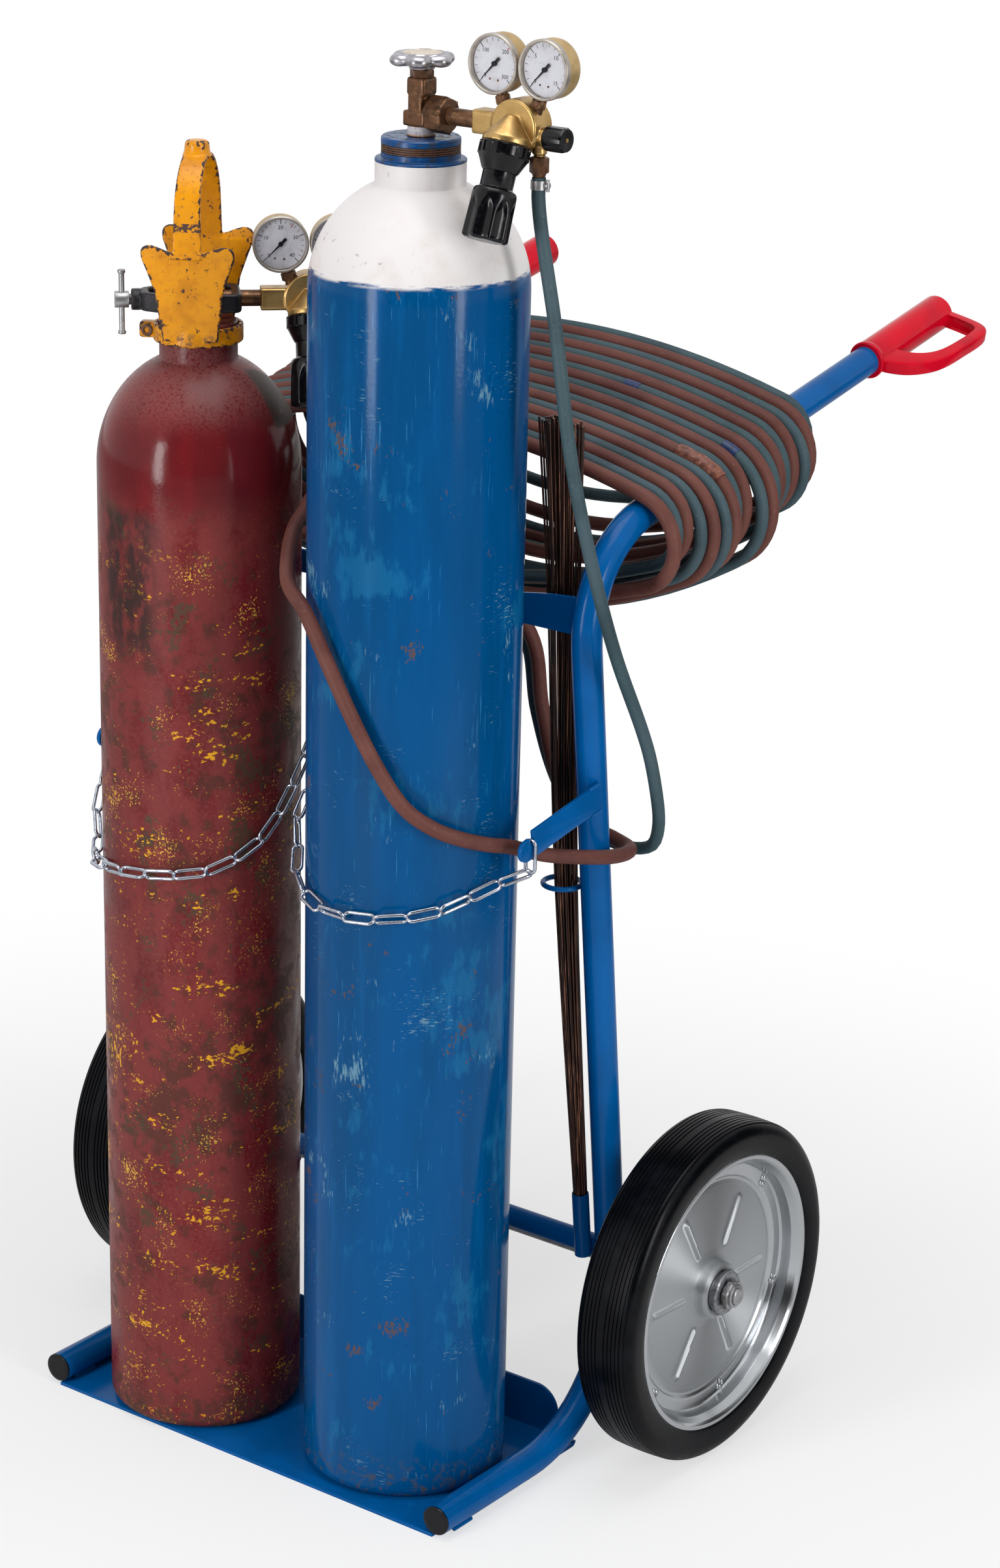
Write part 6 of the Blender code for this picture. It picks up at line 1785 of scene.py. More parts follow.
    def rod_ring(self) -> None:
        """Build the wire ring that steadies the rods, with its weld."""
        centre = self.ring_centre()
        circle = [centre + Vector((x, y, 0)) for x, y in arc((0, 0), self.ring_radius, 0, 352.5, 47)]
        solid = Solid().tube(circle, self.ring_bar, 16, cyclic=True)
        touch = centre + Vector((self.ring_radius + self.ring_bar * 0.9, self.ring_ahead, 0))
        solid.weld([touch + UP * 0.004, touch - UP * 0.004], 0.003)
        self.dress("wire_rod_ring", solid, "rod_ring")

    def build(self) -> None:
        """Build the whole frame."""
        self.tubes()
        self.base()
        self.crossbar()
        self.cross_plate()
        self.chain_arms()
        self.axle_brackets()
        self.rod_ring()


@dataclass
class RodHolder:
    """The welded cup and the bundle of welding rods that stands in it."""

    frame: CartFrame
    cup_radius: float = 0.0097
    cup_wall: float = 0.0014
    cup_floor: float = 0.003
    cup_length: float = 0.078
    cup_inset: float = 0.0214
    cup_below: float = 0.004
    waist_offset: Pair = (0.0038, 0.0016)
    foot_spread: float = 0.0062
    waist_spread: float = 0.0122
    rod_depth: float = 0.262
    middle_place: Pair = (0.0487, 1.0)
    middle_spread: Pair = (0.0195, 0.0125)
    top_place: Pair = (0.0582, 1.2)
    top_spread: Pair = (0.0285, 0.0145)
    rods: int = 38
    rod_radius: float = 0.00125
    top_jitter: float = 0.012
    seed: int = 4

    def foot(self) -> Vector:
        """Find the lower end of the rods' axis.

        Returns:
            The point where it passes the crossbar, on which the cup is welded.
        """
        clear = self.frame.crossbar_radius + 2 * GAP + self.cup_radius
        height = self.frame.crossbar_height
        return at(LINES.half_width - self.cup_inset, LINES.upright_depth(height) - clear, height)

    def waist(self) -> Vector:
        """Return the middle of the rods where they pass the ring."""
        return self.frame.ring_centre() + Vector((*self.waist_offset, 0))

    def cup(self) -> None:
        """Build the cup in which the rods stand."""
        axis = along_axis(self.foot(), self.waist() - self.foot())
        inner, top = self.cup_radius - self.cup_wall, self.cup_length - self.cup_below
        low = -self.cup_below
        profile = [(0, low + self.cup_floor), (inner, low + self.cup_floor), (inner, top),
                   (self.cup_radius, top), (self.cup_radius, low), (0, low)]
        solid = Solid().turn(rounded(profile, 0.0006, steps=2), axis, 32)
        back = self.foot() + Vector((0, self.cup_radius * 0.95, 0.006))
        for side in (-1, 1):
            solid.weld([back + Vector((side * 0.006, 0, -0.004)), back + Vector((side * 0.006, 0, 0.01))],
                       0.0025)
        self.frame.dress("rod_cup", solid, "rod_quiver")

    def routes(self) -> list[list[Vector]]:
        """Find the axes of the rods.

        Returns:
            A route for each rod, spread over the bundle's section as seeds are in a flower.
        """
        draw = random.Random(self.seed)
        axis = (self.waist() - self.foot()).normalized()
        low = self.foot() + axis * (self.cup_floor - self.cup_below + 5 * GAP)
        middle = at(LINES.half_width - self.middle_place[0], self.rod_depth, self.middle_place[1])
        top = at(LINES.half_width - self.top_place[0], self.rod_depth, self.top_place[1])
        routes = []
        for index in range(self.rods):
            spread = sqrt((index + 0.5) / self.rods)
            angle = index * pi * (3 - sqrt(5))
            x, y = spread * cos(angle), spread * sin(angle)
            turn = draw.uniform(-0.25, 0.25)
            wide = spread * cos(angle + turn)
            deep = spread * sin(angle + turn)
            end = top + Vector((wide * self.top_spread[0], deep * self.top_spread[1],
                                -draw.random() * self.top_jitter))
            corners = [
                low + Vector((x, y, 0)) * self.foot_spread,
                self.waist() + Vector((x, y, 0)) * self.waist_spread,
                middle + Vector((wide * self.middle_spread[0], deep * self.middle_spread[1], 0)),
                end,
            ]
            routes.append(smooth_curve(corners, 5))
        return routes

    def bundle(self) -> None:
        """Build the rods as thin round bars along their routes."""
        grower = GrowingTree("welding_rod_bars", ("Rod radius",))
        sizes = grower.entry.outputs
        section = grower.add("GeometryNodeCurvePrimitiveCircle",
                             {"Resolution": 8, "Radius": sizes["Rod radius"]})
        route = grower.add("GeometryNodeMeshToCurve", {0: sizes["Base"]})
        bars = grower.add("GeometryNodeCurveToMesh", {
            "Curve": route, "Profile Curve": section, "Fill Caps": True})
        grower.close(bars)
        mesh = grower.grow(edge_mesh(self.routes()), {"Rod radius": self.rod_radius},
                           TARNISHED_RODS.material())
        mesh.set_sharp_from_angle(angle=radians(60))
        add_piece("welding_rod_bundle", mesh, TARNISHED_RODS, "rods", "welding_rods")

    def build(self) -> None:
        """Build the cup and the rods."""
        self.cup()
        self.bundle()


@dataclass
class Grip:
    """A red moulded grip: a sleeve closed at its end, with a hand guard that loops out sideways."""

    side: Side
    length: float = 0.158
    radius: float = 0.0205
    collar_radius: float = 0.0218
    collar_length: float = 0.004
    end_wall: float = 0.02
    height: float = 0.017
    tilt: float = radians(13)
    guard: Outline = ((0.002, 0.012), (0.004, 0.026), (0.016, 0.0465), (0.038, 0.0625), (0.062, 0.07),
                      (0.1, 0.0725), (0.138, 0.073), (0.152, 0.0675), (0.1575, 0.052), (0.1575, 0.012))
    hole: Outline = ((0.03, 0.012), (0.032, 0.026), (0.04, 0.042), (0.054, 0.054), (0.072, 0.0605),
                     (0.1, 0.0635), (0.134, 0.064), (0.146, 0.059), (0.1495, 0.046), (0.1495, 0.012))

    def guard_outlines(self) -> list[Outline]:
        """Find the outlines of the guard and of its finger hole.

        Returns:
            The two outlines, as distances along and out.
        """
        made = []
        for outline in (self.guard, self.hole):
            curve = smooth_curve([Vector((*point, 0)) for point in outline], 5)
            made.append([(point.x, point.y) for point in curve])
        return made

    def build(self) -> None:
        """Build the grip as one moulding."""
        start = LINES.handle_length + GAP + self.end_wall - self.length
        origin = LINES.handle_point(self.side, start)
        ahead = (LINES.handle_point(self.side, LINES.handle_length) - origin).normalized()
        end = self.length
        profile = [(0, end), (self.radius, end), (self.radius, self.collar_length + 0.004),
                   (self.collar_radius, self.collar_length), (self.collar_radius, 0), (0, 0)]
        solid = Solid().turn(rounded(profile, 0.0035, steps=6), along_axis(origin, ahead), 64)
        out = Vector((self.side.value * cos(self.tilt), 0, -sin(self.tilt)))
        out = (out - ahead * out.dot(ahead)).normalized()
        solid.plate(self.guard_outlines(), self.height, axes(origin, ahead, out), 0.0036)
        add_piece("moulded_grip", solid, RED_VINYL, "red_plastic", "grip", twin=self.side, sharp=20)


# Wheels

@dataclass
class Wheel:
    """A wheel with a solid tyre, a pressed rim with ribs and spot welds, a hub and its axle nut."""

    side: Side
    radius: float = 0.2
    tyre_half: float = 0.0374
    bulge: float = 0.182
    tread_half: float = 0.025
    groove_places: tuple[float, ...] = (0.0055, 0.0105, 0.0155, 0.0205, 0.0255, 0.03)
    groove_width: float = 0.0013
    groove_depth: float = 0.0012
    rim_half: float = 0.0345
    lip: float = 0.1625
    seat: float = 0.1515
    sheet: float = 0.0025

    hub_length: float = 0.072
    hub_radius: float = 0.0238
    seal_radius: float = 0.0262
    boss_radius: float = 0.034
    ribs: int = 6
    rib_turn: float = radians(58)
    rib_span: Pair = (0.053, 0.108)
    rib_half: float = 0.0052
    rib_height: float = 0.0042
    weld_circle: float = 0.14
    weld_size: float = 0.004
    weld_turn: float = radians(103)
    nut_width: float = 0.03
    nut_height: float = 0.012
    axle_radius: float = 0.01
    crown: float = 0.0008
    shoulder_run: float = 0.0118
    disc_face: float = 0.0098

    def frame(self) -> Matrix:
        """Find the wheel's frame.

        Returns:
            The frame, whose z axis is the axle and points out of the cart.
        """
        low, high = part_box(f"{self.side.label}_tyre")
        sign = self.side.value
        return axes((low + high) / 2, Vector((0, sign, 0)), UP)

    def tyre_surface(self, place: float) -> Pair:
        """Find a point on the tyre's outside.

        Args:
            place: how far along the section it is from the middle of the tread.

        Returns:
            Its radius and its distance from the wheel's middle plane.
        """
        if place <= self.tread_half:
            return self.radius - self.crown * (place / self.tread_half) ** 2, place
        turn = min((place - self.tread_half) / self.shoulder_run, pi / 2)
        wide, tall = self.tyre_half - self.tread_half, self.radius - self.crown - self.bulge
        return self.bulge + tall * cos(turn), self.tread_half + wide * sin(turn)

    def tyre(self) -> None:
        """Build the tyre with fine grooves round its tread."""
        end = self.tread_half + self.shoulder_run * pi / 2
        places = {round(end * step / 40, 5): 0.0 for step in range(1, 41)}
        for groove in self.groove_places:
            places = {place: deep for place, deep in places.items()
                      if abs(place - groove) > self.groove_width * 0.9 or deep}
            half = self.groove_width / 2
            for offset, deep in ((-half * 1.5, 0.0), (-half * 0.7, 1.0), (half * 0.7, 1.0),
                                 (half * 1.5, 0.0)):
                places[round(groove + offset, 5)] = deep * self.groove_depth
        outside = []
        for place in sorted(places):
            radius, out = self.tyre_surface(place)
            outside.append((radius - places[place], out))
        wall = [(self.lip + 0.011, self.tyre_half - 0.0003), (self.lip + 0.0035, self.tyre_half - 0.0018),
                (self.lip + 0.0006, self.rim_half), (self.seat + 0.0006, self.rim_half - 0.0081)]
        half = outside + wall
        profile = [(r, -z) for r, z in reversed(half)] + half
        solid = Solid().turn(profile, self.frame(), 144, closed=True)
        add_piece("solid_tyre", solid, TYRE_RUBBER, "tyre", "tyre", body="wheel", twin=self.side,
                  sharp=28)

    def pressed(self, radius: float, height: float, angle: float) -> Pair:
        """Raise the ribs of the disc.

        Args:
            radius: a point's radius.
            height: its distance from the wheel's middle plane.
            angle: its angle round the wheel.

        Returns:
            The radius, and the height with the rib's added.
        """
        start, end = self.rib_span
        step = 2 * pi / self.ribs
        part = (angle - self.rib_turn + step / 2) % step - step / 2
        beside = abs(radius * sin(part)) / self.rib_half
        beyond = max(start - radius, radius - end, 0.0) / self.rib_half
        away = hypot(beside, beyond)
        if away >= 1 or radius > end + self.rib_half:
            return radius, height
        return radius, height + self.rib_height * (0.5 + 0.5 * cos(pi * away))

    def rim(self) -> None:
        """Build the pressed rim and the hub boss in its middle."""
        half, sheet = self.rim_half, self.sheet
        ribbed = [(self.rib_span[0] - 0.006 + 0.0024 * step, 0.0105 - 0.00008 * step) for step in range(30)]
        front = [(self.lip, half - 0.0012), (self.lip - 0.0012, half), (self.lip - 0.0055, half),
                 (self.lip - 0.0085, half - 0.003), (self.seat - 0.001, half - 0.0085),
                 (self.seat - 0.0025, half - 0.0105), (self.seat - 0.0032, half - 0.0155),
                 (self.seat - 0.0042, 0.0125), (self.seat - 0.0062, 0.0098), (0.1345, 0.0098),
                 (0.1315, 0.009), (0.1292, 0.0068), (0.1262, 0.0062), (0.1215, 0.0076)]
        front += ribbed[::-1]
        front += [(0.043, 0.0112), (0.0385, 0.012), (0.0355, 0.014), (self.boss_radius, 0.0175),
                  (self.boss_radius - 0.0005, 0.0235), (self.boss_radius - 0.0026, 0.0262),
                  (0.0292, 0.0272), (0.0282, 0.0268), (0.0268, 0.0255), (0.0245, 0.0255)]
        back = [(0.0245, 0.0095)]
        back += [(r, z - sheet) for r, z in ribbed]
        back += [(0.1262, 0.0062 - sheet), (0.129, 0.0068 - sheet), (0.1345, 0.0098 - sheet),
                 (self.seat - 0.0062, 0.0098 - sheet), (self.seat - 0.0046, 0.004),
                 (self.seat - 0.004, -half + 0.0195), (self.seat - 0.0025, -half + 0.0105),
                 (self.lip - 0.0085, -half + 0.003), (self.lip - 0.0055, -half),
                 (self.lip - 0.0012, -half), (self.lip, -half + 0.0012), (self.seat, -half + 0.0075),
                 (self.seat, half - 0.0075)]
        solid = Solid().turn(rounded(front + back, 0.0012, True, 2), self.frame(), 300, closed=True,
                             shape=self.pressed)
        spun = replace(ZINC_PLATE, name="spun_zinc", coats=(), spun=tuple(self.frame().translation))
        add_piece("pressed_rim", solid, spun, "zinc", "rim", body="wheel", twin=self.side, sharp=50)

    def spot_welds(self) -> None:
        """Build the ring of spot-welded studs on the disc."""
        grower = GrowingTree(f"{self.side.label}_spot_welds", ("Studs", "Circle", "Stud radius"))
        sizes = grower.entry.outputs
        ring = grower.add("GeometryNodeMeshCircle", {"Vertices": sizes["Studs"], "Radius": sizes["Circle"]})
        ball = grower.add("GeometryNodeMeshUVSphere",
                          {"Segments": 14, "Rings": 8, "Radius": sizes["Stud radius"]})
        flat = grower.add("GeometryNodeTransform", {"Geometry": ball, "Scale": (1.0, 0.75, 0.55)})
        spread = grower.add("ShaderNodeMath", {0: sizes["Stud radius"], 1: 1.1}, operation="MULTIPLY")
        four = grower.add("GeometryNodeMeshCircle", {"Vertices": 4, "Radius": spread})
        group = grower.add("GeometryNodeInstanceOnPoints", {"Points": four, "Instance": flat})
        heads = grower.add("GeometryNodeInstanceOnPoints", {"Points": ring, "Instance": group})
        grower.close(heads)
        base = edge_mesh([[Vector(), UP]])
        sizes = {"Studs": self.ribs, "Circle": self.weld_circle, "Stud radius": self.weld_size}
        mesh = grower.grow(base, sizes, ZINC_PLATE.material())
        turn = Matrix.Rotation(self.weld_turn, 4, "Z")
        mesh.transform(self.frame() @ Matrix.Translation((0, 0, self.disc_face)) @ turn)
        add_piece("spot_welds", mesh, ZINC_PLATE, "zinc", body="wheel", twin=self.side)

    def hub(self) -> None:
        """Build the hub tube and the dark seals in its ends."""
        half, frame = self.hub_length / 2, self.frame()
        bore = self.axle_radius + GAP
        tube = [(self.hub_radius, -half + 0.003), (self.hub_radius, half - 0.003), (bore, half - 0.003),
                (bore, -half + 0.003)]
        solid = Solid().turn(rounded(tube, 0.0008, True), frame, 48, closed=True)
        add_piece("hub_tube", solid, ZINC_PLATE, "zinc", "wheel_hub", body="wheel", twin=self.side)
        seals = Solid()
        for end in (-1, 1):
            seal = [(self.seal_radius - 0.003, end * (half - 0.0085)),
                    (self.seal_radius, end * (half - 0.007)), (self.seal_radius, end * (half - 0.002)),
                    (self.seal_radius - 0.0018, end * half), (0.0185, end * half),
                    (0.017, end * (half - 0.0012)), (bore + 0.001, end * (half - 0.0008)),
                    (bore, end * (half - 0.003))]
            seals.turn(rounded(seal, 0.0005, True, 2), frame, 48, closed=True)
        add_piece("hub_seals", seals, SEAL_STEEL, "black_plastic", body="wheel", twin=self.side)

    def nut(self) -> None:
        """Build the lock nut on the axle's end."""
        low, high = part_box(f"{self.side.label}_axle_nut")
        middle = (low + high) / 2
        out = Vector((self.side.value, 0, 0))
        start = middle - out * self.nut_height / 2
        end = middle + out * self.nut_height / 2
        bore = self.axle_radius + GAP
        solid = Solid().nut(self.nut_width, start, end - out * 0.0035, bore, radians(12))
        crown = [(bore, 0), (0.0138, 0), (0.0138, 0.0035), (0.012, 0.0042), (bore, 0.0042)]
        solid.turn(rounded(crown, 0.0006, True, 2), along_axis(end - out * 0.0042, out), 48, closed=True)
        add_piece("lock_nut", solid, BARE_STEEL, "steel", "axle_nut", twin=self.side, sharp=28)

    def build(self) -> None:
        """Build the whole wheel."""
        self.tyre()
        self.rim()
        self.spot_welds()
        self.hub()
        self.nut()


@dataclass
class Axle:
    """The axle between the wheels, with a collar inside each."""

    radius: float = 0.01
    middle_radius: float = 0.0125
    collar_radius: float = 0.016
    collar_start: float = LINES.half_width + 0.003 + GAP
    collar_length: float = 0.0559

    def build(self) -> None:
        """Build the axle."""
        low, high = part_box("axle")
        end = high.x
        collar_end = self.collar_start + self.collar_length
        half = [(0, end), (self.radius - 0.0012, end), (self.radius, end - 0.0012),
                (self.radius, collar_end), (self.collar_radius, collar_end),
                (self.collar_radius, self.collar_start), (self.middle_radius, self.collar_start)]
        profile = half + [(r, -x) for r, x in reversed(half)]
        frame = along_axis(Vector((0, (low.y + high.y) / 2, (low.z + high.z) / 2)), X_AXIS)
        solid = Solid().turn(rounded(profile, 0.0008, steps=2), frame, 40)
        add_piece("turned_axle", solid, BARE_STEEL, "steel", "axle")


# Cylinders and their valves

@dataclass
class GasCylinder:
    """A steel cylinder: a round-edged foot, a long body, a domed shoulder and a neck."""

    name: str
    gas: Gas
    finish: Finish
    slot: str
    centre: Pair
    radius: float
    shoulder: float
    rise: float
    neck_radius: float
    neck_top: float
    collar_top: float = 0.0
    foot: float = 0.0043
    foot_rounding: float = 0.014

    def axis(self, height: float = 0.0) -> Vector:
        """Return the point on the cylinder's axis at a height."""
        return at(*self.centre, height)

    def build(self) -> None:
        """Build the cylinder's body."""
        low, edge = self.foot, self.foot_rounding
        profile = [(0, low + 0.012), (self.radius * 0.55, low + 0.008),
                   (self.radius - edge - 0.01, low + 0.001), (self.radius - edge - 0.004, low)]
        profile += arc((self.radius - edge, low + edge), edge, -90, 0, 10)
        span = self.shoulder - low - edge
        profile += [(self.radius, low + edge + span * step / 60) for step in range(1, 60)]
        end = degrees(acos(self.neck_radius / self.radius))
        for step in range(37):
            turn = radians(end * step / 36)
            profile.append((self.radius * cos(turn), self.shoulder + self.rise * sin(turn)))
        root = profile.pop()
        profile += [(root[0] + 0.0012, root[1] - 0.0006), (root[0], root[1] + 0.0016)]
        top = self.collar_top or self.neck_top
        profile += [(self.neck_radius, top - 0.0014), (self.neck_radius - 0.0014, top), (0, top)]
        solid = Solid().turn(profile, Matrix.Translation(self.axis()), 128)
        add_piece(f"{self.gas.label}_cylinder_shell", solid, self.finish, self.slot, self.name, sharp=30)


OXYGEN_CYLINDER = GasCylinder("oxygen_cylinder", Gas.OXYGEN, OXYGEN_ENAMEL, "oxygen_paint",
                              (0.1385, 0.1265), 0.1143, 1.345, 0.1171, 0.0465, 1.4995, 1.477)
ACETYLENE_CYLINDER = GasCylinder("acetylene_cylinder", Gas.ACETYLENE, MAROON_ENAMEL, "maroon_paint",
                                 (-0.1383, 0.1015), 0.1105, 1.122, 0.1249, 0.0419, 1.278075)


@dataclass
class OxygenValve:
    """The oxygen cylinder's threaded neck ring, its forged valve and the handwheel."""

    cylinder: GasCylinder
    ring_radius: float = 0.0405
    ring_bottom: float = 1.477
    thread: Pair = (1.4838, 1.4928)
    threads: int = 4
    tape_radius: float = 0.014
    stem_bottom: float = 1.4998
    block: float = 0.0275
    block_height: float = 0.0155
    waist_radius: float = 0.0118
    waist_height: float = 0.0145
    head: float = 0.023
    head_height: float = 0.0185
    gland_radius: float = 0.0122
    gland_height: float = 0.0075
    port_radius: float = 0.0105
    port_reach: float = 0.0139
    port_height: float = 1.522647
    nut_width: float = 0.034
    nut_length: float = 0.0213
    wheel_bottom: float = 1.5661
    wheel_radius: float = 0.034
    wheel_height: float = 0.0165
    lobes: int = 6
    lobe_depth: float = 0.0058
    lobe_root: float = 0.017
    rim_height: float = 0.01

    def neck_ring(self) -> None:
        """Build the neck ring, its rusty thread and the tape round the valve's stem."""
        low, high = self.thread
        top, radius = self.cylinder.neck_top, self.ring_radius
        frame = Matrix.Translation(self.cylinder.axis())
        profile = [(0, self.ring_bottom - 0.001), (0.0467, self.ring_bottom - 0.0022),
                   (0.0468, self.ring_bottom - 0.0004), (0.046, self.ring_bottom + 0.0006),
                   (radius + 0.0012, self.ring_bottom + 0.0006), (radius, self.ring_bottom + 0.0016),
                   (radius, low), (radius - 0.003, low + 0.001), (radius - 0.003, high - 0.001),
                   (radius, high), (radius, top - 0.0016), (radius - 0.0016, top), (0, top)]
        ring = Solid().turn(profile, frame, 96)
        add_piece("oxygen_neck_ring", ring, NECK_ENAMEL, "oxygen_paint", sharp=40)
        pitch = (high - low) / self.threads
        groove = [(radius - 0.004, low)]
        for turn in range(self.threads):
            start = low + pitch * turn
            groove += [(radius - 0.0016, start + pitch * 0.1), (radius - 0.0001, start + pitch * 0.35),
                       (radius - 0.0001, start + pitch * 0.65), (radius - 0.0016, start + pitch * 0.9)]
        groove += [(radius - 0.004, high)]
        thread = Solid().turn(groove, frame, 96, closed=True)
        add_piece("oxygen_neck_thread", thread, RUSTY_THREAD, "steel")
        end = self.stem_bottom + 0.0098
        tape = [(self.tape_radius - 0.004, self.stem_bottom),
                (self.tape_radius + 0.0006, self.stem_bottom + 0.0003),
                (self.tape_radius, self.stem_bottom + 0.003),
                (self.tape_radius + 0.0004, self.stem_bottom + 0.0055),
                (self.tape_radius - 0.0002, end - 0.002), (self.tape_radius + 0.0003, end),
                (self.tape_radius - 0.004, end)]

        def ragged(radius: float, height: float, angle: float) -> Pair:
            """Make the tape's wraps uneven."""
            wave = sin(3 * angle + height * 900) + 0.6 * sin(7 * angle + 1)
            return radius + 0.00022 * wave, height

        wraps = Solid().turn(rounded(tape, 0.0005, True), frame, 64, closed=True, shape=ragged)
        add_piece("oxygen_thread_tape", wraps, WHITE_TAPE, "steel")

    def forging(self) -> None:
        """Build the forged valve body and the hexagon gland on top of it."""
        axis = self.cylinder.axis()
        solid = Solid().bar(axis + UP * self.stem_bottom, axis + UP * (self.stem_bottom + 0.012), 0.0132,
                            0.0005)
        height = self.stem_bottom + 0.01
        solid.block((self.block, self.block, self.block_height),
                    axis + UP * (height + self.block_height / 2), edge=0.0022)
        height += self.block_height
        solid.bar(axis + UP * (height - 0.004), axis + UP * (height + self.waist_height + 0.004),
                  self.waist_radius, 0.0005)
        solid.block((self.waist_radius * 1.5, self.waist_radius * 2.05, self.waist_height + 0.006),
                    axis + UP * (height + self.waist_height / 2), edge=0.002)
        height += self.waist_height
        solid.block((self.head, self.head, self.head_height), axis + UP * (height + self.head_height / 2),
                    edge=0.0032)
        height += self.head_height
        port = axis + UP * self.port_height
        solid.bar(port, port + Vector((self.port_reach, 0, 0)), self.port_radius, 0.0005)
        skin = cast(solid, 0.00055, 4)
        add_piece("oxygen_valve_forging", skin, BROWN_BRASS, "brown_brass", "oxygen_valve_body")
        flats = self.gland_radius * sqrt(3)
        gland = Solid().nut(flats, axis + UP * (height - 0.001), axis + UP * (height + self.gland_height))
        add_piece("oxygen_valve_gland", gland, BROWN_BRASS, "brown_brass", sharp=25)
        start = port + Vector((self.port_reach + GAP, 0, 0))
        nut = Solid().nut(self.nut_width, start, start + Vector((self.nut_length, 0, 0)), 0.009,
                          radians(8))
        add_piece("oxygen_coupling_nut", nut, BROWN_BRASS, "brown_brass", "oxygen_union_nut", sharp=25)

    def lobed(self, radius: float, height: float, angle: float) -> Pair:
        """Shape the handwheel's rim into lobes.

        Args:
            radius: a point's radius.
            height: its height.
            angle: its angle round the wheel.

        Returns:
            The radius and height, drawn in between the lobes.
        """
        share = (radius - self.lobe_root) / (self.wheel_radius - self.lobe_root)
        share = max(0.0, min(1.0, share))
        valley = share * share * (3 - 2 * share) * (0.5 - 0.5 * cos(self.lobes * angle)) ** 1.6
        thinner = (height - self.rim_height) * (1 - 0.3 * valley)
        return radius - self.lobe_depth * valley, self.rim_height + thinner

    def handwheel(self) -> None:
        """Build the lobed handwheel and the card disc in its top."""
        frame = Matrix.Translation(self.cylinder.axis(self.wheel_bottom))
        top, out = self.wheel_height, self.wheel_radius
        profile = [(0, 0), (0.0126, 0), (0.013, 0.0004), (0.0136, 0.0035), (0.0175, 0.004),
                   (0.0215, 0.0038)]
        for step in range(13):
            turn = radians(-80 + 160 * step / 12)
            profile.append((out - 0.0072 + 0.0072 * cos(turn), 0.0095 + 0.006 * sin(turn)))
        profile += [(0.025, 0.0152), (0.0232, 0.0154), (0.0226, 0.016), (0.0222, top), (0.0206, top),
                    (0.02, top - 0.0006), (0, top - 0.0006)]
        wheel = Solid().turn(profile, frame, 144, shape=self.lobed)
        add_piece("oxygen_lobed_handwheel", wheel, ALUMINIUM, "aluminium", "oxygen_handwheel",
                  body="oxygen_handwheel", sharp=50)
        disc = Solid().bar(self.cylinder.axis(self.wheel_bottom + top - 0.001),
                           self.cylinder.axis(self.wheel_bottom + top - 0.0002), 0.0198, 0.0002, 48)
        add_piece("oxygen_handwheel_card", disc, CREAM_CARD, "aluminium", body="oxygen_handwheel")

    def build(self) -> None:
        """Build the neck, the valve and the handwheel."""
        self.neck_ring()
        self.forging()
        self.handwheel()


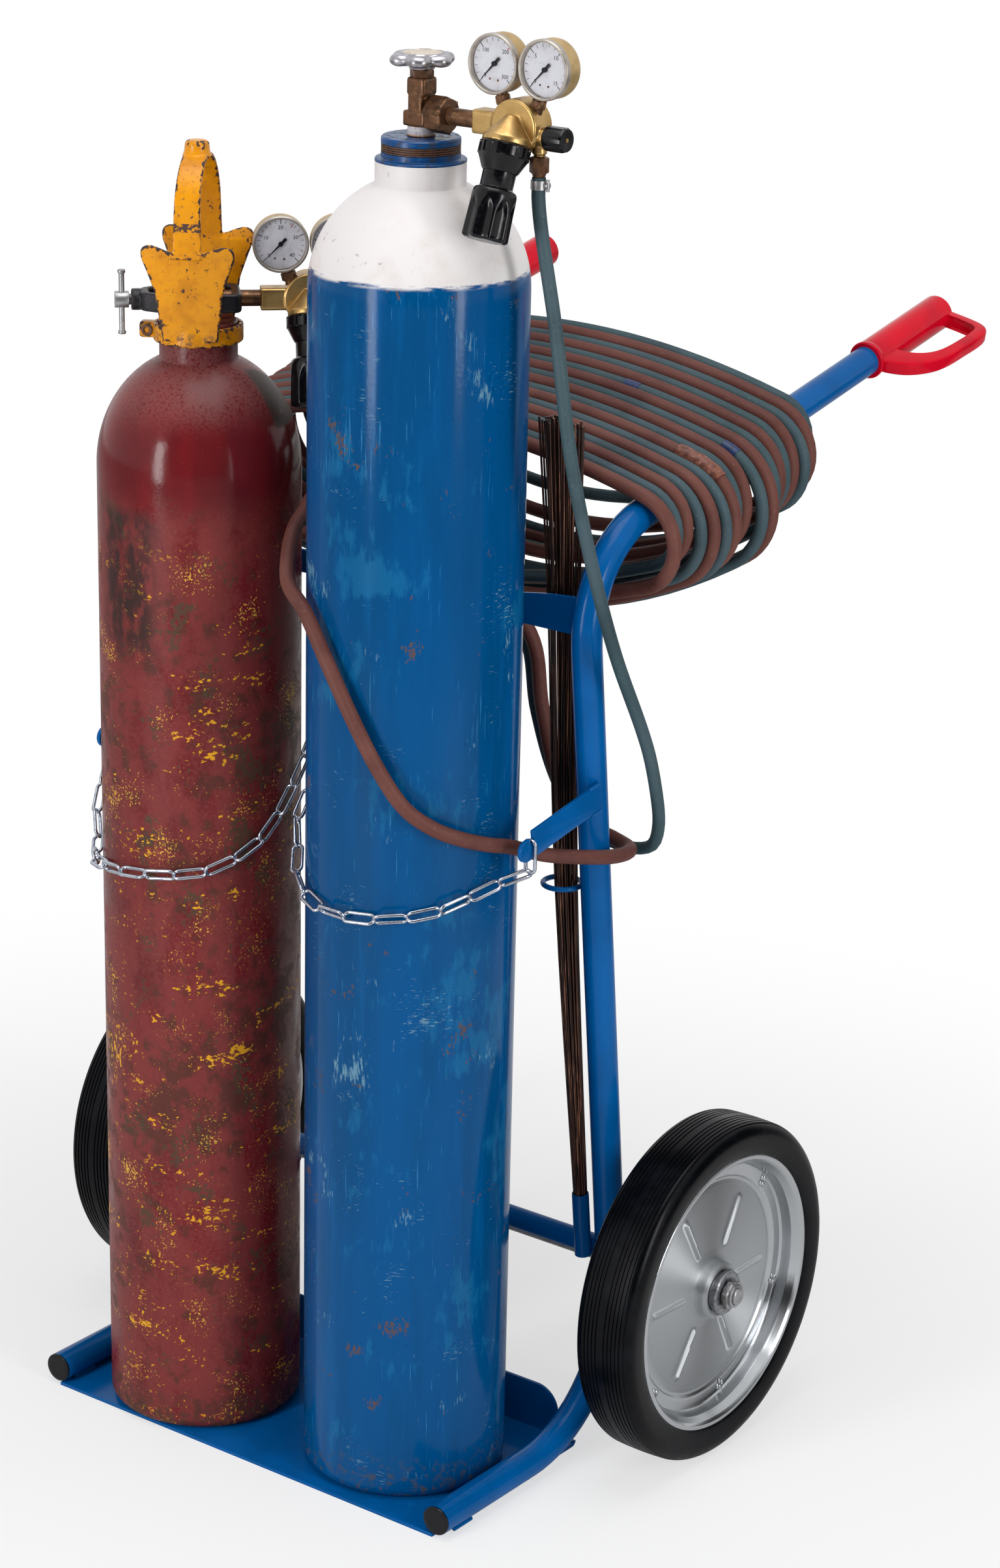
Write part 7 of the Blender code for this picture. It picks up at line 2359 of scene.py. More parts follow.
@dataclass
class ValveGuard:
    """The yellow iron guard on the acetylene neck: a clamped ring, two petals, an arch and a boss."""

    cylinder: GasCylinder
    ring_below: float = 0.022
    ring_inner: float = 0.0422
    ring_outer: float = 0.048
    ring_height: float = 0.019
    turn: float = radians(30)
    petal_edge: tuple[Pair, ...] = (
        (0.0295, 0.0), (0.033, 0.25), (0.036, 0.5), (0.044, 0.72), (0.0495, 0.86), (0.05, 0.93),
        (0.048, 0.975), (0.043, 0.998), (0.037, 0.998), (0.029, 0.975), (0.02, 0.94), (0.0135, 0.928))
    petal_height: float = 0.105
    petal_root: float = 0.0455
    petal_flare: float = radians(8.2)
    petal_thickness: float = 0.0042
    petal_bow: float = 0.006
    arch_width: float = 0.0305
    arch_top_width: float = 0.0255
    arch_thickness: float = 0.005
    arch_half_span: float = 0.059
    arch_spring: float = 0.133
    arch_foot: float = 0.105 * 0.93 * cos(radians(8.2)) - 0.007
    boss_radius: float = 0.0128
    boss_height: float = 0.013
    lug: Triple = (0.016, 0.02, 0.017)
    voxel: float = 0.0011

    def directions(self) -> tuple[Vector, Vector]:
        """Return the way the guard faces and the way across it."""
        front = Vector((sin(self.turn), -cos(self.turn), 0))
        return front, UP.cross(front)

    def base(self) -> Vector:
        """Return the middle of the guard's ring at its bottom."""
        return self.cylinder.axis(self.cylinder.neck_top - self.ring_below)

    def petals(self, solid: Solid) -> None:
        """Add the two petals, each bowed across its width.

        Args:
            solid: the solid to add to.
        """
        front, across = self.directions()
        root = self.base() + UP * self.ring_height / 3
        outline = [(x, share * self.petal_height) for x, share in self.petal_edge]
        outline += [(-x, y) for x, y in reversed(outline)]
        for sign in (-1, 1):
            out = front * sign
            lean = out * sin(self.petal_flare) + UP * cos(self.petal_flare)
            frame = axes(root + out * self.petal_root, across * sign, lean)
            sheet = Solid().plate([rounded(outline, 0.006, True, 4)], self.petal_thickness, frame, 0.0012)
            inward = frame.to_3x3() @ UP
            back = frame.inverted()
            for vert in sheet.bm.verts:
                local = back @ vert.co
                bow = self.petal_bow * (local.x / 0.05) ** 2 * (1 - 0.6 * local.y / self.petal_height)
                side = -1 if inward.dot(out) > 0 else 1
                vert.co += inward * side * bow
            solid.take(sheet.mesh())

    def arch(self, solid: Solid) -> None:
        """Add the arch over the valve and the boss on its crown.

        Args:
            solid: the solid to add to.
        """
        front, across = self.directions()
        root = self.base() + UP * self.ring_height / 3
        half, spring, thick = self.arch_half_span, self.arch_spring, self.arch_thickness
        middle = [(half + 0.0015, self.arch_foot), (half + 0.001, (self.arch_foot + spring) / 2)]
        middle += arc((0, spring), half, 0, 180, 28)
        middle += [(-half - 0.001, (self.arch_foot + spring) / 2), (-half - 0.0015, self.arch_foot)]
        sections = []
        for index, (x, y) in enumerate(middle):
            before, after = middle[max(index - 1, 0)], middle[min(index + 1, len(middle) - 1)]
            along = (Vector(after) - Vector(before)).normalized()
            out = Vector((along.y, -along.x))
            share = max(0.0, (y - self.arch_foot) / (spring + half - self.arch_foot))
            wide = self.arch_width + (self.arch_top_width - self.arch_width) * share
            inner = Vector((x, y)) - out * thick
            corners = [(Vector((x, y)), -wide / 2), (Vector((x, y)), wide / 2), (inner, wide / 2),
                       (inner, -wide / 2)]
            sections.append([root + front * p.x + UP * p.y + across * w for p, w in corners])
        solid.skin(sections)
        crown = root + UP * (spring + half)
        profile = [(0, -0.004), (self.boss_radius + 0.003, -0.004), (self.boss_radius + 0.0006, 0.003),
                   (self.boss_radius, self.boss_height - 0.003),
                   (self.boss_radius - 0.002, self.boss_height - 0.0006),
                   (self.boss_radius - 0.005, self.boss_height), (0, self.boss_height)]
        solid.turn(profile, Matrix.Translation(crown), 40)

    def build(self) -> None:
        """Build the guard as one worn casting, and the bolt in its lug."""
        front, across = self.directions()
        base = self.base()
        solid = Solid()
        ring = [(self.ring_inner, 0), (self.ring_outer, 0), (self.ring_outer, self.ring_height),
                (self.ring_inner, self.ring_height)]
        solid.turn(rounded(ring, 0.002, True), Matrix.Translation(base), 80, closed=True)
        frame = axes(base, front, UP.cross(front))
        lug = Vector((0, -self.ring_outer - 0.005, self.ring_height / 2))
        solid.block(self.lug, lug, frame, 0.003)
        self.petals(solid)
        self.arch(solid)
        skin = cast(solid, self.voxel, 3)
        mark_edges(skin, 0.0001)
        add_piece("acetylene_iron_guard", skin, YELLOW_ENAMEL, "yellow_paint", "acetylene_guard")
        face = frame @ (lug + Vector((self.lug[0] / 2 - 0.001, -0.001, 0)))
        bolt = Solid()
        head = [(0, 0), (0.0066, 0), (0.0066, 0.0016), (0.0058, 0.0026), (0.0034, 0.0026), (0.003, 0.0006),
                (0, 0.0006)]
        bolt.turn(rounded(head, 0.0004, steps=2), along_axis(face, front), 36)
        add_piece("acetylene_guard_bolt", bolt, RUSTY_THREAD, "steel")


@dataclass
class YokeClamp:
    """The acetylene valve and the black stirrup that clamps the regulator to it, with its T-screw."""

    cylinder: GasCylinder
    turn: float = radians(44)
    height: float = 1.299873
    valve_radius: float = 0.014
    valve_bottom: float = 1.278375
    valve_height: float = 0.052
    front: float = 0.045
    back: float = 0.062
    width: float = 0.066
    wall: float = 0.01
    depth: float = 0.02
    boss_radius: float = 0.0115
    boss_length: float = 0.009
    screw_radius: float = 0.006
    head_radius: float = 0.0088
    head_start: float = 0.0735
    head_length: float = 0.015
    tip: float = 0.0143
    bar_radius: float = 0.003
    bar_length: float = 0.069
    bar_drop: float = 0.0025
    stop_radius: float = 0.0042
    stop_length: float = 0.0035
    thread_pitch: float = 0.00175

    def frame(self) -> Matrix:
        """Return the clamp's frame: x from the screw to the regulator."""
        return Matrix.Translation(self.cylinder.axis(self.height)) @ Matrix.Rotation(self.turn, 4, "Z")

    def valve(self) -> None:
        """Build the valve as a turned body with a stepped stem."""
        axis, low = self.cylinder.axis(), self.valve_bottom
        high = low + self.valve_height
        profile = [(0, low), (self.valve_radius, low), (self.valve_radius, high - 0.018),
                   (0.0095, high - 0.014), (0.0095, high - 0.008), (0.006, high - 0.007), (0.006, high),
                   (0, high)]
        solid = Solid().turn(rounded(profile, 0.0012), Matrix.Translation(axis), 48)
        add_piece("acetylene_valve_forging", solid, BROWN_BRASS, "brown_brass", "acetylene_valve_body")

    def stirrup(self) -> None:
        """Build the stirrup as a rounded iron loop with a boss for the screw."""
        half = self.width / 2
        outer = [(-self.back, -half * 0.42), (-self.back * 0.55, -half), (self.front, -half),
                 (self.front, half), (-self.back * 0.55, half), (-self.back, half * 0.42)]
        wall = self.wall
        inner = [(-self.back + wall, -half * 0.3), (-self.back * 0.5, -half + wall),
                 (self.front - wall, -half + wall), (self.front - wall, half - wall),
                 (-self.back * 0.5, half - wall), (-self.back + wall, half * 0.3)]
        outlines = [rounded(outer, 0.012, True, 6), rounded(inner, 0.008, True, 6)]
        solid = Solid().plate(outlines, self.depth, self.frame(), 0.0024)
        start = self.frame() @ Vector((-self.back + 0.002, 0, 0))
        end = self.frame() @ Vector((-self.back - self.boss_length, 0, 0))
        solid.bar(start, end, self.boss_radius, 0.0015)
        add_piece("iron_stirrup", cast(solid, 0.001, 5), BLACK_IRON, "black_iron",
                  "acetylene_yoke")

    def screw(self) -> None:
        """Build the clamping screw and the bar that slides through its head."""
        frame = self.frame()
        along = frame.to_3x3() @ Vector((-1, 0, 0))
        start = frame @ Vector((-self.tip, 0, 0))
        root = self.head_start - self.tip
        profile = [(0, 0), (self.screw_radius - 0.002, 0), (self.screw_radius - 0.0006, 0.003)]
        pitch = self.thread_pitch
        turns = int((root - 0.006) / pitch)
        for index in range(turns):
            place = 0.003 + pitch * index
            profile += [(self.screw_radius, place + pitch * 0.5),
                        (self.screw_radius - 0.0007, place + pitch)]
        profile += [(self.screw_radius, root), (self.head_radius, root),
                    (self.head_radius, root + self.head_length), (0, root + self.head_length)]
        solid = Solid().turn(rounded(profile, 0.0006, steps=2), along_axis(start, along), 32)
        add_piece("yoke_clamp_screw", solid, BARE_STEEL, "steel", "yoke_screw", body="yoke_screw")
        middle = frame @ Vector((-self.head_start - self.head_length / 2, 0, -self.bar_drop))
        half = self.bar_length / 2
        bar = [(0, -half), (self.stop_radius, -half), (self.stop_radius, -half + self.stop_length),
               (self.bar_radius, -half + self.stop_length + 0.0006)]
        bar += [(r, -z) for r, z in reversed(bar)]
        tee = Solid().turn(rounded(bar, 0.0014), Matrix.Translation(middle), 28)
        add_piece("yoke_sliding_bar", tee, BARE_STEEL, "steel", "yoke_t_bar", body="yoke_t_bar")

    def build(self) -> None:
        """Build the valve, the stirrup and its screw."""
        self.valve()
        self.stirrup()
        self.screw()


# Regulators

@dataclass
class Gauge:
    """A round pressure gauge with a printed dial and a needle that turns."""

    gas: Gas
    kind: str
    frame: Matrix
    numbers: tuple[str, ...]
    ticks: int
    mark: float = 0.0
    radius: float = 0.03
    front: float = 0.0085
    depth: float = 0.027
    bezel: float = 0.003
    floor: float = 0.0025

    tick_circle: float = 0.0236
    tick_length: float = 0.0032
    tick_width: float = 0.00042
    ink: float = 0.0001
    number_circle: float = 0.0172
    number_size: float = 0.0058
    start: float = radians(225)
    sweep: float = radians(270)
    needle_reach: float = 0.0215
    needle_tail: float = 0.008
    needle_hub: float = 0.0032
    needle_lift: float = 0.0028
    screw_circle: float = 0.0165
    screw_angles: Pair = (248, 283)

    def piece(self, name: str, shape: Solid | Mesh, finish: Finish, slot: str, *nodes: str,
              body: str = "") -> None:
        """Add a piece of the gauge.

        Args:
            name: what the piece is, without the names of the gas and the gauge.
            shape: its shape.
            finish: its finish.
            slot: the record's material slot.
            nodes: what the CAD nodes are that it stands for.
            body: what the body is that it rides on, where that isn't the cart.
        """
        start = f"{self.kind}_"
        add_piece(start + name, shape, finish, slot, *(start + node for node in nodes),
                  body=start + body if body else "", twin=self.gas)

    def case(self) -> None:
        """Build the round case and its bezel ring."""
        back = self.front - self.depth
        radius = self.radius
        profile = [(0, back + 0.0006), (radius * 0.55, back), (radius - 0.004, back + 0.0006),
                   (radius - 0.0012, back + 0.0028), (radius - 0.0005, back + 0.006),
                   (radius - 0.0004, self.front - 0.006), (radius - 0.0018, self.front - 0.0055),
                   (radius - 0.0024, self.floor - 0.001), (0, self.floor - 0.001)]
        solid = Solid().turn(rounded(profile, 0.0008, steps=2), self.frame, 80)
        self.piece("gauge_case", solid, GAUGE_BRASS, "brass", "gauge")
        inner = radius - self.bezel
        ring = [(radius - 0.0006, self.front - 0.0072), (radius, self.front - 0.0066),
                (radius, self.front - 0.0012), (radius - 0.001, self.front), (inner + 0.0006, self.front),
                (inner, self.front - 0.0008), (inner - 0.0002, self.floor), (inner + 0.001, self.floor)]
        bezel = Solid().turn(rounded(ring, 0.0004, True, 2), self.frame, 80, closed=True)
        self.piece("gauge_bezel", bezel, POLISHED_RIM, "steel")

    def dial(self) -> None:
        """Build the dial card, its ticks and its numbers."""
        low = self.frame @ Vector((0, 0, self.floor - 0.0012))
        high = self.frame @ Vector((0, 0, self.floor))
        card = Solid().bar(low, high, self.radius - self.bezel - 0.0003, 0.0001, 64)
        self.piece("dial_card", card, DIAL_WHITE, "aluminium")
        grower = GrowingTree(f"{self.gas.label}_{self.kind}_ticks", ("Ticks", "Circle", "Tick length"))
        sizes = grower.entry.outputs
        route = grower.add("GeometryNodeCurveArc", {
            "Resolution": sizes["Ticks"], "Radius": sizes["Circle"], "Start Angle": self.start - self.sweep,
            "Sweep Angle": self.sweep})
        points = grower.add("GeometryNodeCurveToPoints", {"Curve": route}, mode="EVALUATED")
        place = grower.add("GeometryNodeInputPosition")
        number = grower.add("GeometryNodeInputIndex")
        part = grower.add("ShaderNodeMath", {0: number, 1: 5.0}, operation="MODULO")
        long = grower.add("ShaderNodeMath", {0: part, 1: 0.5}, operation="LESS_THAN")
        stretch = grower.add("ShaderNodeMath", {0: long, 1: 0.7, 2: 1.0}, operation="MULTIPLY_ADD")
        scale = grower.add("ShaderNodeCombineXYZ", {0: stretch, 1: stretch, 2: 1.0})
        turn = grower.add("FunctionNodeAlignEulerToVector", {"Vector": place}, axis="X", pivot_axis="Z")
        size = grower.add("ShaderNodeCombineXYZ", {
            0: sizes["Tick length"], 1: self.tick_width, 2: self.ink})
        bar = grower.add("GeometryNodeMeshCube", {"Size": size})
        bars = grower.add("GeometryNodeInstanceOnPoints", {
            "Points": points.outputs["Points"], "Instance": bar, "Rotation": turn,
            "Scale": scale})
        grower.close(bars)
        values = {"Ticks": self.ticks, "Circle": self.tick_circle, "Tick length": self.tick_length}
        mesh = grower.grow(edge_mesh([[Vector(), UP]]), values, DIAL_BLACK.material())
        mesh.transform(self.frame @ Matrix.Translation((0, 0, self.floor + 0.00006)))
        self.piece("dial_ticks", mesh, DIAL_BLACK, "black_plastic")
        print_work = Solid()
        for index, number in enumerate(self.numbers):
            angle = self.start - self.sweep * index / (len(self.numbers) - 1)
            middle = Vector((cos(angle), sin(angle), 0)) * self.number_circle
            print_work.take(number_mesh(number, self.number_size), self.frame @ Matrix.Translation(
                middle + UP * (self.floor + 0.00008)))
        self.piece("dial_numbers", print_work, DIAL_BLACK, "black_plastic")
        if self.mark:
            angle = self.start - self.sweep * self.mark
            spoke = self.frame @ Matrix.Rotation(angle, 4, "Z")
            line = Solid().block((0.0052, 0.0008, 0.0001),
                                 Vector((self.tick_circle - 0.0006, 0, self.floor + 0.0001)), spoke,
                                 0.00002)
            self.piece("dial_mark", line, DIAL_RED, "red_plastic")
        screws = Solid()
        for angle in self.screw_angles:
            turn = radians(angle)
            low = Vector((self.screw_circle * cos(turn), self.screw_circle * sin(turn), self.floor))
            screws.bar(self.frame @ low, self.frame @ (low + UP * 0.0004), 0.0011, 0.0001, 20)
        self.piece("dial_screws", screws, BROWN_BRASS, "brown_brass")

    def needle(self) -> None:
        """Build the needle with its broad tail."""
        long, tail = self.needle_reach, self.needle_tail
        outline = [(long, 0.0002), (long, -0.0002), (0.004, -0.00085), (0.0, -0.0011),
                   (-tail * 0.55, -0.0015), (-tail, -0.0017), (-tail, 0.0017), (-tail * 0.55, 0.0015),
                   (0.0, 0.0011), (0.004, 0.00085)]
        rest = self.frame @ Matrix.Translation((0, 0, self.needle_lift))
        rest = rest @ Matrix.Rotation(self.start, 4, "Z")
        solid = Solid().plate([outline], 0.0008, rest @ Matrix.Translation((0, 0, 0.0016)), 0.00008)
        solid.bar(rest @ Vector(), rest @ Vector((0, 0, 0.0032)), self.needle_hub * 0.8, 0.0004, 24)
        self.piece("pointer", solid, DIAL_BLACK, "black_plastic", "needle", body="needle")

    def build(self) -> None:
        """Build the whole gauge."""
        self.case()
        self.dial()
        self.needle()


@dataclass
class Regulator:
    """A brass pressure regulator: inlet, drum, spring cone, plastic bonnet and knob, outlet and gauges."""

    gas: Gas
    reach: float
    valve_face: float
    turn: float
    valve: Vector
    numbers: tuple[tuple[str, ...], tuple[str, ...]]
    ticks: tuple[int, int]
    marks: Pair
    drum_radius: float = 0.0275
    drum_front: float = 0.013
    drum_back: float = 0.016
    tube_radius: float = 0.0087
    boss_width: float = 0.024
    boss_start: float = 0.052
    outlet_drop: float = 0.0085
    outlet_radius: float = 0.01
    outlet_end: float = 0.0325
    stem_x: float = 0.024
    stem_radius: float = 0.0075
    stem_end: float = 0.0277
    nut_width: float = 0.017
    clamp_lead: float = 0.003
    clamp_length: float = 0.009
    clamp_radius: float = 0.0082
    nut_length: float = 0.0195
    spring_tilt: float = radians(20)
    spring_ahead: float = 0.0177
    cone: Pair = (-0.01, 0.016)
    cone_radius: float = 0.0245
    bonnet_radius: float = 0.026
    bonnet_rim: float = 0.0137
    bonnet_length: float = 0.0277
    bonnet_tip: float = 0.0175
    bonnet_ribs: int = 16
    knob_start: float = 0.0443
    knob_neck: float = 0.0167
    neck_length: float = 0.016
    flare: float = 0.006
    knob_radius: float = 0.0235
    knob_length: float = 0.0677
    flutes: int = 8
    flute_depth: float = 0.0032
    outlet_knob_radius: float = 0.013
    outlet_knob_length: float = 0.024
    gauge_x: float = 0.0306
    gauge_height: float = 0.057744
    socket_x: float = 0.0215
    socket_height: float = 0.0225
    socket_radius: float = 0.0078
    socket_length: float = 0.015
    gauge_radius: float = 0.03
    stem_gauge: float = 0.0055

    def frame(self) -> Matrix:
        """Return the regulator's frame: x along its inlet, minus y towards its dials, z up."""
        along = Matrix.Translation((self.reach, 0, 0))
        return Matrix.Translation(self.valve) @ Matrix.Rotation(self.turn, 4, "Z") @ along

    def spring_frame(self) -> Matrix:
        """Return the spring's frame, whose z axis points out through the knob."""
        direction = Vector((0, -sin(self.spring_tilt), -cos(self.spring_tilt)))
        return self.frame() @ along_axis(Vector((0, -self.spring_ahead, 0)), direction)

    def there(self, x: float, y: float, z: float) -> Vector:
        """Return a point given in the regulator's frame."""
        return self.frame() @ Vector((x, y, z))

    def body(self) -> None:
        """Build the forged brass body: drum, cone, inlet boss and outlet."""
        solid = Solid()
        drum = [(0, -self.drum_back), (self.drum_radius - 0.001, -self.drum_back),
                (self.drum_radius, -self.drum_back + 0.001), (self.drum_radius, self.drum_front - 0.0012),
                (self.drum_radius - 0.0012, self.drum_front), (0, self.drum_front)]
        solid.turn(drum, along_axis(self.there(0, 0, 0), self.frame().to_3x3() @ Vector((0, -1, 0))), 96)
        start, end = self.cone
        cone = [(0, start - 0.003), (0.006, start - 0.002), (self.cone_radius - 0.0005, end - 0.006),
                (self.cone_radius, end - 0.0045), (self.cone_radius, end), (0, end)]
        solid.turn(cone, self.spring_frame(), 96)
        solid.bar(self.there(0, 0, -self.outlet_drop), self.there(self.outlet_end, 0, -self.outlet_drop),
                  self.outlet_radius, 0.0006)
        solid.bar(self.there(self.stem_x, 0, 0), self.there(self.stem_x, 0, -self.stem_end + 0.003),
                  self.stem_radius, 0.0006)
        neck = self.there(self.stem_x, 0, -self.stem_end + 0.0045)
        solid.bar(neck, self.there(self.stem_x, 0, -self.stem_end), self.stem_radius * 0.78, 0.0005)
        inlet = Matrix.Rotation(pi / 2, 4, "Y")
        boss = self.frame() @ Matrix.Translation((-self.boss_start, 0, 0)) @ inlet
        half = self.boss_width / 2
        outline = rounded([(-half, -half * 0.96), (half, -half * 0.96), (half, half * 0.96),
                           (-half, half * 0.96)],
                          0.004, True, 5)
        mesh = Solid().plate([outline], self.boss_start,
                             boss @ Matrix.Translation((0, 0, self.boss_start / 2)), 0.0012)
        solid.take(mesh.mesh())
        skin = cast(solid, 0.0007, 3)
        add_piece("regulator_forging", skin, BRASS, "brass", "regulator_body", twin=self.gas)

    def fittings(self) -> None:
        """Build the brown inlet tube, the gauge sockets and the hose nut."""
        inlet = -(self.reach - self.valve_face - 2 * GAP)
        solid = Solid().bar(self.there(inlet, 0, 0), self.there(-self.boss_start + 0.004, 0, 0),
                            self.tube_radius, 0.0006)
        for side in (-1, 1):
            foot = Vector((side * self.socket_x, 0, self.socket_height))
            centre = Vector((side * self.gauge_x, 0, self.gauge_height))
            up = (centre - foot).normalized()
            low = foot - up * 0.0022
            reach = (centre - foot).length - self.gauge_radius
            high = foot + up * (reach - 0.0008)
            solid.bar(self.frame() @ (foot - up * self.socket_length * 0.6), self.frame() @ high,
                      self.stem_gauge, 0.0004)
            solid.nut(self.socket_radius * 1.8, self.frame() @ (low - up * 0.0012),
                      self.frame() @ (low + up * 0.0078))
            solid.bar(self.frame() @ (high - up * 0.0008), self.frame() @ (high + up * 0.004),
                      self.stem_gauge * 1.1, 0.0004)
        add_piece("inlet_and_sockets", solid, BROWN_BRASS, "brown_brass", twin=self.gas, sharp=28)
        start = self.there(self.stem_x, 0, -self.stem_end - GAP)
        end = self.there(self.stem_x, 0, -self.stem_end - GAP - self.nut_length)
        nut = Solid().nut(self.nut_width, start, start.lerp(end, 0.8))
        nut.bar(start.lerp(end, 0.75), end, self.nut_width * 0.46, 0.0005, end_radius=self.nut_width * 0.36)
        add_piece("hose_union", nut, BROWN_BRASS, "brown_brass", "hose_nut", twin=self.gas, sharp=25)
        down = (end - start).normalized()
        frame = along_axis(end + down * self.clamp_lead, down)
        band = [(self.clamp_radius - 0.0015, 0), (self.clamp_radius, 0),
                (self.clamp_radius, self.clamp_length), (self.clamp_radius - 0.0015, self.clamp_length)]
        clamp = Solid().turn(band, frame, 40, closed=True)
        side = self.frame().to_3x3() @ X_AXIS
        lug = end + down * (self.clamp_lead + self.clamp_length / 2) + side * self.clamp_radius
        clamp.bar(lug - side * 0.001, lug + side * 0.0042, 0.0036, 0.0006)
        clamp.bar(lug + side * 0.003 - down * 0.006, lug + side * 0.003 + down * 0.006, 0.0018, 0.0004)
        add_piece("hose_clamp", clamp, BARE_STEEL, "steel", twin=self.gas, sharp=28)

    def bonnet(self) -> None:
        """Build the black bonnet with grip slots round its rim."""
        start = self.cone[1] + GAP
        radius, rim = self.bonnet_radius, self.bonnet_rim
        profile = [(0, 0), (radius - 0.0012, 0), (radius, 0.001)]
        profile += [(radius, 0.001 + (rim - 0.002) * step / 8) for step in range(1, 9)]
        profile += [(radius - 0.0012, rim), (self.bonnet_tip + 0.0015, self.bonnet_length - 0.002),
                    (self.bonnet_tip, self.bonnet_length), (0, self.bonnet_length)]

        def slotted(r: float, height: float, angle: float) -> Pair:
            """Sink the slots between the rim's ribs.

            Args:
                r: a point's radius.
                height: its height from the rim's start.
                angle: its angle round the bonnet.

            Returns:
                The radius, less in a slot, and the height.
            """
            step = 2 * pi / self.bonnet_ribs
            part = abs((angle % step) / step - 0.5)
            inside = 0.0022 < height < rim - 0.0015 and r > radius - 0.0002
            return (r - 0.0014, height) if inside and part < 0.3 else (r, height)

        solid = Solid().turn(profile, self.spring_frame() @ Matrix.Translation((0, 0, start)), 192,
                             shape=slotted)
        add_piece("slotted_bonnet", solid, BLACK_PLASTIC, "black_plastic", "bonnet", twin=self.gas,
                  sharp=30)

    def fluted(self, radius: float, height: float, angle: float) -> Pair:
        """Sink the knob's flutes, which run out in arches near its neck.

        Args:
            radius: a point's radius.
            height: its distance along the knob.
            angle: its angle round the knob.

        Returns:
            The radius in the flute, and the height.
        """
        if radius < self.knob_neck + 0.001:
            return radius, height
        step = 2 * pi / self.flutes
        part = abs((angle % step) / step - 0.5) * 2
        arch = self.neck_length + self.flare + 0.003 + 0.012 * part ** 2
        depth = max(0.0, min(1.0, (height - arch) / 0.012))
        hollow = max(0.0, 1 - (part / 0.86) ** 2)
        return radius - self.flute_depth * hollow * depth * depth * (3 - 2 * depth), height

    def knob(self) -> None:
        """Build the fluted adjusting knob."""
        radius, end = self.knob_radius, self.knob_length
        rise = self.neck_length + self.flare
        profile = [(0, 0), (self.knob_neck, 0), (self.knob_neck, self.neck_length - 0.001),
                   (self.knob_neck + 0.0006, self.neck_length),
                   (radius - 0.0035, self.neck_length + 0.0012),
                   (radius - 0.0018, self.neck_length + 0.003), (radius - 0.0012, rise)]
        profile += [(radius - 0.0012 + 0.0012 * step / 24,
                     rise + (end - rise - 0.003) * step / 24) for step in range(1, 25)]
        profile += [(radius - 0.0006, end - 0.0014), (radius - 0.003, end), (radius * 0.5, end), (0, end)]
        frame = self.spring_frame() @ Matrix.Translation((0, 0, self.knob_start))
        solid = Solid().turn(profile, frame, 160, shape=self.fluted)
        add_piece("fluted_knob", solid, BLACK_PLASTIC, "black_plastic", "adjusting_knob",
                  body="adjusting_knob", twin=self.gas, sharp=40)

    def outlet_knob(self) -> None:
        """Build the small eight-sided shut-off knob on the outlet, with its brass screw."""
        radius, length = self.outlet_knob_radius, self.outlet_knob_length
        profile = [(0, 0), (radius - 0.0022, 0), (radius - 0.0008, 0.0014), (radius - 0.0003, 0.006),
                   (radius, 0.009), (radius, length - 0.0022), (radius - 0.0018, length),
                   (radius * 0.55, length), (0.0036, length - 0.0004), (0, length - 0.0004)]

        def eight_sided(r: float, height: float, angle: float) -> Pair:
            """Flatten the knob's sides beyond its round collar.

            Args:
                r: a point's radius.
                height: its height from the knob's start.
                angle: its angle round the knob.

            Returns:
                The radius, less on a flat, and the height.
            """
            step = pi / 4
            part = (angle + step / 2) % step - step / 2
            flat = (radius - 0.0012) * cos(step / 2) / cos(part) + 0.001
            share = max(0.0, min(1.0, (height - 0.005) / 0.003))
            return min(r, flat) * share + r * (1 - share), height

        start = self.there(self.outlet_end + GAP, 0, -self.outlet_drop)
        out = self.frame().to_3x3() @ X_AXIS
        solid = Solid().turn(profile, along_axis(start, out), 96, shape=eight_sided)
        add_piece("shut_off_knob", solid, BLACK_PLASTIC, "black_plastic", "outlet_knob",
                  body="outlet_knob", twin=self.gas, sharp=20)
        tip = start + out * (length - 0.0008)
        slot = [(0, 0), (0.002, 0), (0.002, 0.0012), (0.0008, 0.0012), (0.0008, 0.0006), (0, 0.0006)]
        screw = Solid().turn(rounded(slot, 0.0002, steps=2), along_axis(tip, out), 24)
        add_piece("shut_off_screw", screw, BRASS, "brass", body="outlet_knob", twin=self.gas)

    def gauges(self) -> None:
        """Build the two gauges."""
        kinds = ((-1, "cylinder"), (1, "working"))
        for (side, kind), numbers, ticks, mark in zip(kinds, self.numbers, self.ticks, self.marks):
            centre = Vector((side * self.gauge_x, 0, self.gauge_height))
            frame = self.frame() @ axes(centre, X_AXIS, UP)
            Gauge(self.gas, kind, frame, numbers, ticks, mark).build()

    def build(self) -> None:
        """Build the whole regulator."""
        self.body()
        self.fittings()
        self.bonnet()
        self.knob()
        if self.gas is Gas.OXYGEN:
            self.outlet_knob()
        self.gauges()


OXYGEN_REGULATOR = Regulator(
    Gas.OXYGEN, 0.1235, 0.0139, 0.0, OXYGEN_CYLINDER.axis(1.522647),
    (("0", "100", "200", "300"), ("0", "5", "10", "15")), (16, 16), (0.667, 0.0))
ACETYLENE_REGULATOR = Regulator(
    Gas.ACETYLENE, 0.118, 0.014, radians(44), ACETYLENE_CYLINDER.axis(1.299873),
    (("0", "10", "20", "30", "40"), ("0", "0.5", "1", "1.5", "2.5")), (21, 26), (0.62, 0.6))


# Chains

